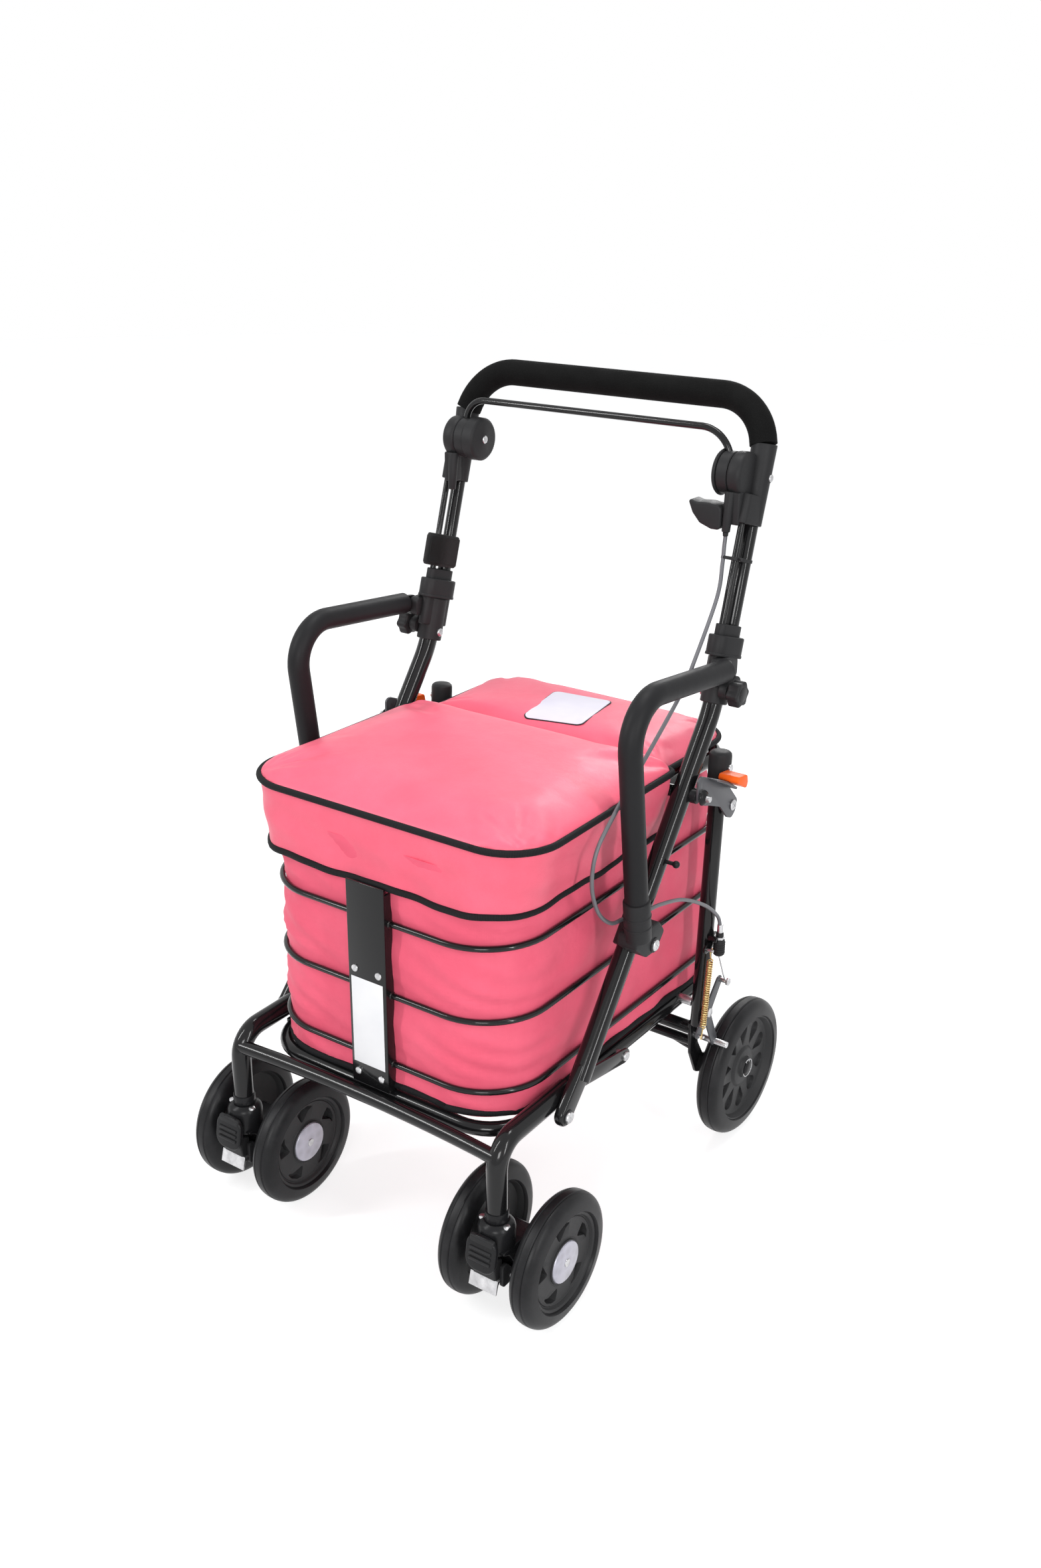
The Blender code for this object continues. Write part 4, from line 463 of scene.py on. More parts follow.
def bare_metal(name, colour, roughness, worn):
    metal = Finish(name, roughness, 1.0)
    cloud = metal.noise(120.0, 5.0, 0.6)
    metal.feed("Base Color", metal.blend(metal.span(cloud, 0.35, 0.7), colour, worn))
    metal.feed("Roughness", metal.span(cloud, 0.3, 0.7, roughness - 0.08, roughness + 0.12))
    metal.relief((metal.noise(900.0, 3.0), 0.12, 0.0002))


def powder_coat(name, colour):
    """Grey sheet metal under a thin powder coat."""
    coat = Finish(name, 0.42, 0.35)
    cloud = coat.noise(35.0, 5.0)
    coat.feed("Base Color", coat.blend(cloud, [c * 0.8 for c in colour], [c * 1.25 for c in colour]))
    coat.feed("Roughness", 0.36 + cloud * 0.16)
    coat.relief((coat.noise(700.0, 3.0), 0.2, 0.0003))


def cap_plastic(name, colour):
    """Clear plastic over faceted silver, as on the wheels' centre caps. Each facet is painted darker towards
    its sunken middle: painted shade.
    """
    cap = Finish(name, 0.3, 0.25, coat=0.9, coat_roughness=0.03)
    facets_and_shade = cap.cells(95.0)
    cap.feed("Base Color", cap.blend(cap.span(facets_and_shade, 0.1, 0.7), [c * 0.78 for c in colour], colour))
    cap.feed("Roughness", 0.24 + cap.noise(45.0, 4.0) * 0.2)
    cap.relief((facets_and_shade, 0.35, 0.002), (cap.noise(300.0, 2.0), 0.1, 0.0003))


def blank_film(name, colour, rim):
    """A plain printed film or badge with nothing on it."""
    film = Finish(name, 0.3, coat=0.5, coat_roughness=0.12)
    cloud = film.noise(20.0, 4.0)
    film.feed("Base Color", film.blend(film.span(cloud, 0.35, 0.8), colour, rim))
    film.feed("Roughness", 0.26 + cloud * 0.14)
    film.relief((film.noise(420.0, 3.0), 0.12, 0.0003))


def hook_tape(name, colour):
    """The nap of a hook-and-loop strap, painted darker in the pits of its grain and lighter on its ridges:
    painted shade.
    """
    nap = Finish(name, 0.95, sheen=0.12, specular=0.1)
    loops_and_shade = nap.cells(2400.0)
    nap.feed("Base Color", nap.blend(loops_and_shade, [c * 0.5 for c in colour], [c * 2.4 for c in colour]))
    nap.feed("Roughness", 0.88 + loops_and_shade * 0.1)
    nap.relief((loops_and_shade, 0.7, 0.0005), (nap.noise(700.0, 4.0), 0.4, 0.0005))


def mix_finishes(colours):
    seat = list(colours.seat)
    bag = list(colours.bag)
    black = list(colours.frame)
    gloss_paint("gloss_paint", black)
    moulded_plastic("satin_plastic", (0.018, 0.018, 0.019), 0.46)
    moulded_plastic("smooth_plastic", (0.01, 0.01, 0.011), 0.28, 0.05)
    # Lighter than the other black plastics: the wheel discs' base colour is raised as a painted reflection
    # of the white surroundings
    moulded_plastic("wheel_plastic_painted_reflection", (0.028, 0.028, 0.029), 0.42, 0.1)
    moulded_plastic("armrest_skin", (0.01, 0.01, 0.011), 0.48, 0.1)
    moulded_plastic("orange_plastic", tuple(colours.tab), 0.34, 0.06)
    grip_foam("grip_foam", (0.005, 0.005, 0.005))
    tyre_rubber("tyre_rubber", (0.011, 0.011, 0.012))
    leatherette("leatherette", seat)
    coated_cloth("bag_cloth", bag)
    ribbed_binding("ribbed_binding", (0.008, 0.008, 0.009))
    cable_sheath("cable_sheath", (0.012, 0.012, 0.013))
    cable_sheath("pale_cable", (0.1, 0.1, 0.11), 0.42)
    bare_metal("zinc", (0.62, 0.62, 0.63), 0.32, (0.42, 0.42, 0.43))
    bare_metal("spring_brass", (0.72, 0.52, 0.24), 0.28, (0.5, 0.35, 0.14))
    powder_coat("grey_coat", (0.085, 0.087, 0.095))
    cap_plastic("cap_plastic", (0.5, 0.49, 0.57))
    blank_film("blank_label", (0.9, 0.9, 0.91), (0.82, 0.82, 0.85))
    blank_film("blank_patch", (0.8, 0.76, 0.86), (0.7, 0.66, 0.79))
    hook_tape("hook_tape", (0.008, 0.008, 0.008))


def paint(piece, look):
    piece.data.materials.clear()
    piece.data.materials.append(bpy.data.materials[look])
    return piece


# Modelling by hand

def choose(*objects):
    """Object mode, with only these selected and the first one active."""
    if bpy.context.object and bpy.context.object.mode != "OBJECT":
        bpy.ops.object.mode_set(mode="OBJECT")
    bpy.ops.object.select_all(action="DESELECT")
    for each in objects:
        each.select_set(True)
    bpy.context.view_layer.objects.active = objects[0]


class Editing:
    """Edit mode on one piece, with all of it selected."""

    def __init__(self, piece):
        self.piece = piece

    def __enter__(self):
        choose(self.piece)
        bpy.ops.object.mode_set(mode="EDIT")
        bpy.ops.mesh.select_all(action="SELECT")

    def __exit__(self, *failure):
        bpy.ops.object.mode_set(mode="OBJECT")


def modify(piece, kind, **settings):
    """Adds a modifier and applies it."""
    choose(piece)
    added = piece.modifiers.new("shape", kind)
    for name, value in settings.items():
        setattr(added, name, value)
    bpy.ops.object.modifier_apply(modifier=added.name)
    return piece


def soften(piece, edge, segments=3):
    """Rounds the sharp edges."""
    if edge:
        modify(piece, "BEVEL", width=edge, segments=segments, limit_method="ANGLE",
               angle_limit=math.radians(40), use_clamp_overlap=True)
    return piece


def turned_out(piece):
    """Turns all faces outwards."""
    with Editing(piece):
        bpy.ops.mesh.normals_make_consistent(inside=False)
    return piece


def closed_up(piece):
    """Merges what coincides and turns all faces outwards."""
    with Editing(piece):
        bpy.ops.mesh.remove_doubles(threshold=DOUBLES)
        bpy.ops.mesh.delete_loose(use_verts=True, use_edges=True, use_faces=False)
    return turned_out(piece)


def rod(start, end, radius, look, sides=28, edge=0.0006, end_radius=None):
    """A round bar or cone between two points, with softened rims."""
    start, end = Vector(start), Vector(end)
    along = end - start
    tip = radius if end_radius is None else end_radius
    bpy.ops.mesh.primitive_cone_add(vertices=sides, radius1=radius, radius2=tip,
                                    depth=along.length, location=(start + end) / 2,
                                    rotation=along.to_track_quat("Z", "Y").to_euler())
    piece = bpy.context.object
    choose(piece)
    bpy.ops.object.transform_apply(location=True, rotation=True, scale=True)
    return soften(paint(piece, look), edge, 2)


def slab(low, high, look, edge=0.0008):
    """A block between two corners, with softened edges."""
    low, high = Vector(low), Vector(high)
    bpy.ops.mesh.primitive_cube_add(size=1.0, location=(low + high) / 2, scale=high - low)
    piece = bpy.context.object
    choose(piece)
    bpy.ops.object.transform_apply(location=True, rotation=True, scale=True)
    return soften(paint(piece, look), edge, 3)


def prism(points, way, look, edge=0.0006, segments=2):
    """A flat outline of points along a way: a filled circle, laid on the outline and extruded."""
    bpy.ops.mesh.primitive_circle_add(vertices=len(points), fill_type="NGON")
    piece = bpy.context.object
    for vert, point in zip(piece.data.vertices, points):
        vert.co = point
    with Editing(piece):
        bpy.ops.mesh.extrude_region_move(TRANSFORM_OT_translate={"value": way})
    turned_out(piece)
    bpy.ops.object.transform_apply(location=True, rotation=True, scale=True)
    return soften(paint(piece, look), edge, segments)


def plate(outline, x0, x1, look, edge=0.0006, segments=2):
    """A plate square to X, from (y, z) points."""
    return prism([(x0, y, z) for y, z in outline], (x1 - x0, 0.0, 0.0), look, edge, segments)


def twin_sleeve(x, low, high, radius, rod_radius, look, edge=0.0008):
    """A body round the inner tube's axis and the thin rod's axis, between two heights of the first."""
    foot = handle_at(x, low)
    turn = math.asin((radius - rod_radius) / ROD_AHEAD)
    outline = []
    for centre, size, start, sweep in ((foot, radius, math.pi / 2 - turn, math.pi + 2 * turn),
                                       (foot + AHEAD * ROD_AHEAD, rod_radius, turn - math.pi / 2,
                                        math.pi - 2 * turn)):
        for i in range(17):
            angle = start + sweep * i / 16
            outline.append(centre + AHEAD * (size * math.cos(angle)) + X_AXIS * (size * math.sin(angle)))
    return prism(outline, handle_at(x, high) - foot, look, edge, 3)


def turned(profile, centre, axis, look, steps=48):
    """A profile of (along the axis, radius) points, spun once round the axis."""
    centre, axis = Vector(centre), Vector(axis).normalized()
    across = axis.orthogonal().normalized()
    bpy.ops.mesh.primitive_circle_add(vertices=len(profile), fill_type="NOTHING")
    piece = bpy.context.object
    for vert, (along, radius) in zip(piece.data.vertices, profile):
        vert.co = centre + axis * along + across * radius
    with Editing(piece):
        bpy.ops.mesh.spin(steps=steps, angle=math.tau, center=centre, axis=axis)
    return closed_up(paint(piece, look))


def pipe(points, radius, look, sides=20, closed=False):
    """A round tube along the points, which carries how far along it each point lies."""
    curve = bpy.data.curves.new("route", "CURVE")
    curve.dimensions = "3D"
    curve.bevel_depth = radius
    curve.bevel_resolution = sides // 2 - 2
    curve.use_fill_caps = not closed
    spline = curve.splines.new("POLY")
    spline.points.add(len(points) - 1)
    for knot, point in zip(spline.points, points):
        knot.co = (*point, 1.0)
    spline.use_cyclic_u = closed
    piece = bpy.data.objects.new("route", curve)
    bpy.context.scene.collection.objects.link(piece)
    choose(piece)
    bpy.ops.object.convert(target="MESH")
    piece = bpy.context.object
    walked = [0.0]
    for p, q in zip(points, points[1:]):
        walked.append(walked[-1] + (Vector(q) - Vector(p)).length)
    ring = max(1, len(piece.data.vertices) // len(points))
    along = piece.data.attributes.new("along", "FLOAT", "POINT")
    for number in range(len(piece.data.vertices)):
        along.data[number].value = walked[min(number // ring, len(points) - 1)]
    return paint(piece, look)


def surface(rows, look, closed=False):
    """An open skin through rows of points: a grid primitive laid on them."""
    high, wide = len(rows), len(rows[0])
    bpy.ops.mesh.primitive_grid_add(x_subdivisions=wide - 1 if not closed else wide,
                                    y_subdivisions=high - 1)
    piece = bpy.context.object
    columns = wide + 1 if closed else wide
    for number, vert in enumerate(piece.data.vertices):
        vert.co = rows[number // columns][number % columns % wide]
    if closed:
        with Editing(piece):
            bpy.ops.mesh.remove_doubles(threshold=DOUBLES)
    return paint(piece, look)


def cut(piece, *cutters):
    """Takes the cutters away from the piece."""
    for cutter in cutters:
        modify(piece, "BOOLEAN", operation="DIFFERENCE", solver="EXACT", object=cutter)
        bpy.data.objects.remove(cutter, do_unlink=True)
    return piece


def screw(at, axis, radius, high):
    """A pan head with a cross recess, which stands on a face."""
    at, axis = Vector(at), Vector(axis).normalized()
    dome = [(0.0, 0.0), (0.0, radius), (high * 0.45, radius)]
    dome += [(high * (0.45 + 0.55 * math.sin(t)), radius * (0.25 + 0.75 * math.cos(t)))
             for t in (0.5, 1.0, 1.4)]
    head = turned(dome + [(high, 0.0)], at, axis, "zinc", 24)
    side = axis.orthogonal().normalized()
    low = at + axis * (high * 0.45)
    for way in (side, axis.cross(side)):
        for place in (low, low + axis * high * 0.3):
            arm = way * radius * 0.6
            cut(head, rod(place - arm, place + arm, radius * 0.14, "zinc", 4, 0.0))
    return head


def nut(at, axis, radius, high):
    """A hexagon nut, which stands on a face."""
    at, axis = Vector(at), Vector(axis).normalized()
    return rod(at, at + axis * high, radius, "zinc", 6, high * 0.15)


def dome(at, axis, radius, high, look, steps=32):
    """A low round cap."""
    profile = [(0.0, 0.0), (0.0, radius)]
    profile += [(high * math.sin(t), radius * math.cos(t)) for t in (0.3, 0.6, 0.9, 1.2, 1.45)]
    return turned(profile + [(high, 0.0)], at, axis, look, steps)


def one_piece(shapes, smooth=34.0):
    """Joins the shapes, shades them and moves them to the frame's origin."""
    choose(*shapes)
    if len(shapes) > 1:
        bpy.ops.object.join()
    piece = bpy.context.object
    piece.location.y -= MIDDLE_Y
    bpy.ops.object.transform_apply(location=True, rotation=True, scale=True)
    bpy.ops.object.shade_smooth_by_angle(angle=math.radians(smooth))
    return piece


def hand_over(piece, name, body, nodes=()):
    piece.name = name
    piece.data.name = name
    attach(piece, body)
    if nodes:
        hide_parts(*nodes)
    return piece


def together(name, shapes, body, nodes=(), smooth=34.0):
    """One named piece out of the shapes, which moves with its body."""
    return hand_over(one_piece(shapes, smooth), name, body, nodes)


def on_both_sides(name, shapes, body, nodes=()):
    """The piece on the left, and its mirror image on the right with a mesh of its own."""
    left = one_piece(shapes)
    choose(left)
    bpy.ops.object.duplicate(linked=False)
    right = bpy.context.object
    right.scale.x = -1.0
    bpy.ops.object.transform_apply(location=True, rotation=True, scale=True)
    turned_out(right)
    for piece, side in ((left, "_left"), (right, "_right")):
        owner = body if body in frame["bodies"] else body + side
        hand_over(piece, name + side, owner, [node + side for node in nodes])


# Soft shapes

def puffed(piece, voxel, pressure, cap, held):
    """Remeshes a closed shape and lets cloth swell it, apart from the points for which held() is true."""
    modify(piece, "REMESH", mode="VOXEL", voxel_size=voxel)
    start = [vert.co.copy() for vert in piece.data.vertices]
    pinned = piece.vertex_groups.new(name="held")
    for vert in piece.data.vertices:
        if held(vert.co):
            pinned.add([vert.index], 1.0, "REPLACE")
    choose(piece)
    cloth = piece.modifiers.new("cloth", "CLOTH")
    cloth.settings.vertex_group_mass = "held"
    cloth.settings.use_pressure = True
    cloth.settings.uniform_pressure_force = pressure
    cloth.settings.tension_stiffness = 15.0
    cloth.settings.compression_stiffness = 15.0
    cloth.settings.effector_weights.gravity = 0.0
    for number in range(1, 21):
        bpy.context.scene.frame_set(number)
    bpy.ops.object.modifier_apply(modifier=cloth.name)
    bpy.context.scene.frame_set(1)
    for vert, old in zip(piece.data.vertices, start):
        move = vert.co - old
        if move.length > cap:
            vert.co = old + move * (cap / move.length)
    piece.vertex_groups.clear()
    modify(piece, "SMOOTH", factor=0.5, iterations=4)
    return modify(piece, "SUBSURF", levels=1, render_levels=1)


def folded(piece, folds):
    """Presses shallow creases into a skin: each fold runs between two points, with its width and depth."""
    normals = [vert.normal.copy() for vert in piece.data.vertices]
    for start, end, width, depth in folds:
        start, end = Vector(start), Vector(end)
        run = end - start
        for vert, normal in zip(piece.data.vertices, normals):
            share = max(0.0, min(1.0, (vert.co - start).dot(run) / run.length_squared))
            away = (vert.co - start - run * share).length
            if away < width * 2.5:
                fade = math.sin(math.pi * (0.12 + 0.76 * share))
                lip = 0.45 * math.exp(-((away - width * 1.3) / (width * 0.7)) ** 2)
                bowl = math.exp(-(away / width) ** 2) - lip
                vert.co -= normal * depth * fade * bowl
    return piece


def cushion_rows(outline_at, layers, top, shares):
    """Rings of points up the side of a pad and over its crown."""
    rings = [[(x, y, z) for x, y in outline_at(inset)] for inset, z in layers]
    last = rings[-1]
    middle = sum(y for x, y, z in last) / len(last)
    base = layers[-1][1]
    for share in shares:
        rise = base + (top - base) * (1 - share ** CROWN_POWER)
        rings.append([(x * share, middle + (y - middle) * share, rise) for x, y, z in last])
    return rings


def closed_pad(rows, look):
    """A pad's skin through rings of points, closed at its foot and over its crown."""
    piece = surface(rows, look, True)
    with Editing(piece):
        bpy.ops.mesh.select_all(action="DESELECT")
        bpy.ops.mesh.select_non_manifold()
        bpy.ops.mesh.fill_holes(sides=0)
    return turned_out(piece)


# What a user of the add-on would change

def colour_setting(name, description, default):
    return bpy.props.FloatVectorProperty(name=name, description=description, default=default,
                                         subtype="COLOR", size=3, min=0.0, max=1.0)


class RollatorColours(bpy.types.PropertyGroup):
    """Colours of the fabric, the paint and the tabs"""
    seat: colour_setting("Seat", "Leatherette of the seat and its skirt", (0.96, 0.165, 0.25))
    bag: colour_setting("Bag", "Cloth of the shopping bag", (0.94, 0.15, 0.235))
    frame: colour_setting("Frame", "Paint of the tubes", (0.006, 0.006, 0.0065))
    tab: colour_setting("Latch tab", "Plastic of the tab that unlocks the fold", (0.95, 0.13, 0.012))


class RollatorSizes(bpy.types.PropertyGroup):
    """Sizes that leave the frame as it is"""
    crown: bpy.props.FloatProperty(name="Crown",
                                   description="How far the seat's foam stands above its edge",
                                   unit="LENGTH", min=0.012, max=0.028, default=0.0205)
    piping: bpy.props.FloatProperty(name="Piping", description="Radius of the cord in the seat's edge",
                                    unit="LENGTH", min=0.002, max=0.0045, default=0.0037)
    coils: bpy.props.IntProperty(name="Coils", description="Turns of each brake spring", min=12, max=36,
                                 default=30)
    grooves: bpy.props.IntProperty(name="Grooves", description="Grooves round each tyre", min=1, max=5,
                                   default=2)


class ROLLATOR_OT_finishes(bpy.types.Operator):
    """Mixes the finishes that the pieces are painted with"""
    bl_idname = "rollator.finishes"
    bl_label = "Finishes"

    def execute(self, context):
        mix_finishes(context.scene.rollator_colours)
        return {"FINISHED"}


# Frame

class ROLLATOR_OT_side_tubes(bpy.types.Operator):
    """Bent side tubes with flattened ends, latch studs and strap pegs"""
    bl_idname = "rollator.side_tubes"
    bl_label = "Side tubes"

    def execute(self, context):
        path = rounded([(SIDE_X, diagonal_y(0.242), 0.242), (SIDE_X, diagonal_y(BEND_Z), BEND_Z),
                        upright_at(SIDE_X, 0.63)], 0.12, 12)
        face = LEG_X + 0.0113
        outer = face + 0.012
        shapes = [pipe(path, SIDE_R, "gloss_paint", 28),
                  plate(stadium(SIDE_END, (diagonal_y(0.251), 0.251), 0.0118, 12), face, outer,
                        "gloss_paint", 0.0042, 4),
                  rod((outer - 0.001, *SIDE_END), (outer + 0.0008, *SIDE_END), 0.0082, "smooth_plastic", 32,
                      0.0003),
                  screw((outer + 0.0008, *SIDE_END), X_AXIS, 0.0065, 0.0036)]
        shapes.append(rod((SIDE_X, *STUD), (LATCH_X - 0.0003, *STUD), 0.0085, "smooth_plastic", 32, 0.0012))
        shapes.append(rod((SIDE_X, *STUD), (0.2305, *STUD), 0.0034, "zinc", 24, 0.0006))
        nut_face = LATCH_X + 0.0053
        shapes.append(dome((nut_face, *STUD), X_AXIS, 0.0088, 0.0052, "smooth_plastic"))
        peg = Vector((SIDE_X, diagonal_y(0.4425), 0.4425))
        shapes.append(rod(peg, peg + X_AXIS * 0.021, 0.0022, "smooth_plastic", 16, 0.0003))
        ball = [(-0.0042 * math.cos(t), 0.0042 * math.sin(t))
                for t in (0.0, 0.4, 0.8, 1.2, 1.57, 2.0, 2.4, 2.8, math.pi)]
        shapes.append(turned(ball, peg + X_AXIS * 0.0222, X_AXIS, "smooth_plastic", 24))
        on_both_sides("side_rail", shapes, "frame", ["side_tube"])
        return {"FINISHED"}


class ROLLATOR_OT_front_legs(bpy.types.Operator):
    """Front legs, the bowed bar between them and the links to the base"""
    bl_idname = "rollator.front_legs"
    bl_label = "Front legs"

    def execute(self, context):
        bar = [(LEG_X * t, LEG_Y + 0.008 * (1 - t * t), 0.206) for t in [i / 12 - 1 for i in range(25)]]
        shapes = [pipe(bar, 0.008, "gloss_paint", 24)]
        for sign in (1.0, -1.0):
            x = sign * LEG_X
            path = rounded([(x, -0.112, 0.224), (x, LEG_Y, 0.221), (x, LEG_Y, LEG_FOOT_Z + 0.001)], 0.03)
            shapes.append(pipe(path, 0.0112, "gloss_paint", 28))
            shapes.append(rod((x, -0.1125, 0.224), (x, -0.1105, 0.224), 0.01, "satin_plastic", 28, 0.0006))
            shapes.append(rod((x, LEG_Y, LEG_FOOT_Z), (x, LEG_Y, LEG_FOOT_Z + 0.011), 0.0126,
                              "smooth_plastic", 32, 0.0012))
        together("front_bow", shapes, "frame", ["front_legs"])
        link = plate(stadium(LINK_START, LINK_REAR, 0.009, 12), 0.1805, 0.1835, "gloss_paint", 0.0008)
        heads = [screw((0.1835, *point), X_AXIS, 0.0056, 0.0032) for point in (LINK_START, LINK_REAR)]
        on_both_sides("side_link", [link] + heads, "frame", ["link"])
        return {"FINISHED"}


class ROLLATOR_OT_base(bpy.types.Operator):
    """Base loop under the bag with its slats and lugs, and the strip behind the bag"""
    bl_idname = "rollator.base"
    bl_label = "Base loop"

    def execute(self, context):
        outline = loop_outline(0.166, -0.206, 0.215, 0.055, 0.04)
        shapes = [pipe([(x, y, LOOP_Z) for x, y in outline], 0.008, "gloss_paint", 24, True)]
        for y in (-0.09, 0.1):
            shapes.append(slab((-0.166, y, LOOP_Z - 0.002), (0.166, y + 0.02, LOOP_Z + 0.002),
                               "gloss_paint"))
        for sign in (1.0, -1.0):
            shapes.append(rod((sign * 0.166, *FOLD), (sign * (SIDE_X - POST_R - 0.0003), *FOLD), 0.0055,
                              "zinc"))
            shapes.append(rod((sign * 0.166, *LINK_REAR), (sign * 0.1802, *LINK_REAR), 0.005, "zinc"))
            low, high = sorted((sign * 0.1655, sign * (LEG_X - 0.009)))
            shapes.append(slab((low, -0.168, LOOP_Z - 0.002), (high, -0.154, 0.214), "gloss_paint"))
        together("bag_base", shapes, "frame", ["base_loop"])
        near = 0.232 + 0.0036
        strip = slab((-0.012, near, LOOP_Z - 0.002), (0.012, near + 0.002, 0.421), "gloss_paint", 0.0006)
        foot = slab((-0.012, 0.2233, LOOP_Z - 0.002), (0.012, near + 0.001, LOOP_Z + 0.002), "gloss_paint",
                    0.0005)
        rivets = [dome((0.0, near + 0.002, z), (0.0, 1.0, 0.0), 0.0034, 0.0018, "zinc", 20)
                  for z in RING_HEIGHTS]
        together("bag_rear_strip", [strip, foot] + rivets, "frame", ["rear_strip"])
        return {"FINISHED"}


class ROLLATOR_OT_front_plate(bpy.types.Operator):
    """Folded front plate with four screws and a blank label"""
    bl_idname = "rollator.front_plate"
    bl_label = "Front plate"

    def execute(self, context):
        front, skin = -0.218, -0.2155
        low = LOOP_Z + 0.0083
        shapes = [slab((-0.0253, front, low), (0.0253, skin, 0.455), "gloss_paint", 0.0009)]
        for sign in (1.0, -1.0):
            near, far = sorted((sign * 0.0228, sign * 0.0253))
            shapes.append(slab((near, front + 0.0004, low), (far, -0.2045, 0.448), "gloss_paint", 0.0009))
            for z in (0.228, 0.3535):
                shapes.append(screw((sign * 0.016, front, z), (0.0, -1.0, 0.0), 0.0042, 0.0022))
        together("front_shield", shapes, "frame", ["front_plate"])
        label = slab((-0.0215, front - 0.0007, 0.2395), (0.0215, front - 0.0001, 0.3435), "blank_label",
                     0.0003)
        together("front_label", [label], "frame")
        return {"FINISHED"}


def basket_outline(inset, steps):
    """The plan of the basket rings, drawn in by an inset."""
    return loop_outline(0.168 - inset, -0.208 + inset, 0.232 - inset, 0.075 - inset, 0.038 - inset, steps)


class ROLLATOR_OT_basket_rings(bpy.types.Operator):
    """Three wire rings round the bag, welded to the front plate"""
    bl_idname = "rollator.basket_rings"
    bl_label = "Basket rings"

    def execute(self, context):
        outline = basket_outline(0.0, 14)
        for number, height in enumerate(RING_HEIGHTS, 1):
            path = [(0.0256, -0.208, height)] + [(x, y, height) for x, y in outline] + [(-0.0256, -0.208,
                                                                                         height)]
            ends = [dome((sign * 0.0253, -0.208, height), (sign, 0.0, 0.0), 0.0046, 0.0016, "gloss_paint",
                         20)
                    for sign in (1.0, -1.0)]
            ring = pipe(path, 0.00325, "gloss_paint", 18)
            together("bag_ring_%d" % number, [ring] + ends, "frame",
                     ["basket_ring_%d" % number])
        return {"FINISHED"}


# Bag

class ROLLATOR_OT_bag(bpy.types.Operator):
    """Shopping bag: a lofted shell that bulges between the rings and sags at its corners"""
    bl_idname = "rollator.bag"
    bl_label = "Shopping bag"

    def execute(self, context):
        floor, top = LOOP_Z + 0.0085, 0.4945
        outline = basket_outline(0.0038, 16)
        around = even_outline(outline, 132)
        count = 60
        rows = []
        for i in range(count + 1):
            z = floor + (top - floor) * i / count
            gap = min(abs(z - height) for height in RING_HEIGHTS)
            belly = 0.003 * (1 - math.exp(-(gap / 0.018) ** 2))
            if z > 0.43:
                belly *= max(0.0, 1 - (z - 0.43) / 0.05)
            if z < floor + 0.012:
                belly *= (z - floor) / 0.012
            row = []
            for x, y in around:
                corner = min(1.0, abs(x) / 0.165) * min(1.0, max(0.0, -y - 0.07) / 0.13)
                ripple = 0.0016 * math.sin(x * 61 + z * 47) * math.sin(y * 53 - z * 38)
                ripple += 0.002 * corner * math.sin(z * 230 + x * 90 + 0.7 * math.sin(z * 90))
                out = min(belly + ripple * min(1.0, gap / 0.012), 0.0066)
                if abs(x) > 0.15:
                    out += 0.0012 * math.sin(y * 96 + 1.2 * math.sin(z * 21)) * min(1.0, gap / 0.02)
                push = Vector((x, y - 0.012, 0.0)).normalized() * min(out, 0.0066)
                draw = 0.004 * max(0.0, (z - 0.423) / 0.0715)
                row.append((x + push.x - math.copysign(draw, x) * min(1.0, abs(x) / 0.1), y + push.y, z))
            rows.append(row)
        shell = turned_out(surface(rows, "bag_cloth", True))
        modify(shell, "SOLIDIFY", thickness=0.0014, offset=-1.0)
        base = flat_cloth(outline, floor, floor + 0.002, "bag_cloth")
        together("bag_shell", [shell, base], "frame", ["shopping_bag"], 60.0)
        edge = [(x * 1.006, y * 1.004,
                 floor + 0.0042 + 0.0018 * math.sin(number * 0.31 + math.sin(number * 0.13)))
                for number, (x, y) in enumerate(around)]
        binding = pipe(edge, 0.004, "ribbed_binding", 12, True)
        together("bag_binding", [binding], "frame")
        return {"FINISHED"}


def even_outline(outline, count):
    """The closed outline again, with its points at even steps."""
    closed = [Vector((x, y, 0.0)) for x, y in outline]
    length = sum((q - p).length for p, q in zip(closed, closed[1:] + closed[:1]))
    return [(p.x, p.y) for p in even_points(closed, length / count, True)]


def flat_cloth(outline, low, high, look):
    """A level sheet with thickness inside an outline."""
    return prism([(x, y, low) for x, y in outline], Z_AXIS * (high - low), look, 0.0)


# Seat

def inward(sign, turn):
    """A level direction from one side of the seat to its middle, turned to the rear by some degrees."""
    return Vector((-sign * math.cos(math.radians(turn)), math.sin(math.radians(turn)), 0.0))


def seat_outline(inset, steps=12):
    points = loop_outline(CUSHION_X - inset, CUSHION_FRONT_Y + inset, SEAM_Y - 0.0006 - inset * 0.15,
                          0.06 - inset, 0.01, steps)
    return [(x * (1 - 0.03 * max(0.0, y - 0.02) / 0.07), y) for x, y in points]


def pad_outline(inset, steps=12):
    return loop_outline(PAD_X - inset, SEAM_Y + 0.0006 + inset * 0.15, PAD_REAR_Y - inset, 0.008,
                        0.05 - inset, steps)


class ROLLATOR_OT_seat_frame(bpy.types.Operator):
    """Tube loop under the seat with its studs to the side tubes"""
    bl_idname = "rollator.seat_frame"
    bl_label = "Seat frame"

    def execute(self, context):
        outline = loop_outline(0.172, -0.19, 0.232, 0.055, 0.045)
        shapes = [pipe([(x, y, SEAT_Z) for x, y in outline], 0.008, "gloss_paint", 24, True)]
        gusset = (diagonal_y(SEAT_Z + 0.004), SEAT_Z + 0.001)
        far = SIDE_X - SIDE_R - 0.0003
        for sign in (1.0, -1.0):
            shapes.append(rod((sign * 0.172, *gusset), (sign * far, *gusset), 0.007, "gloss_paint"))
        together("seat_loop", shapes, "frame", ["seat_frame"])
        return {"FINISHED"}


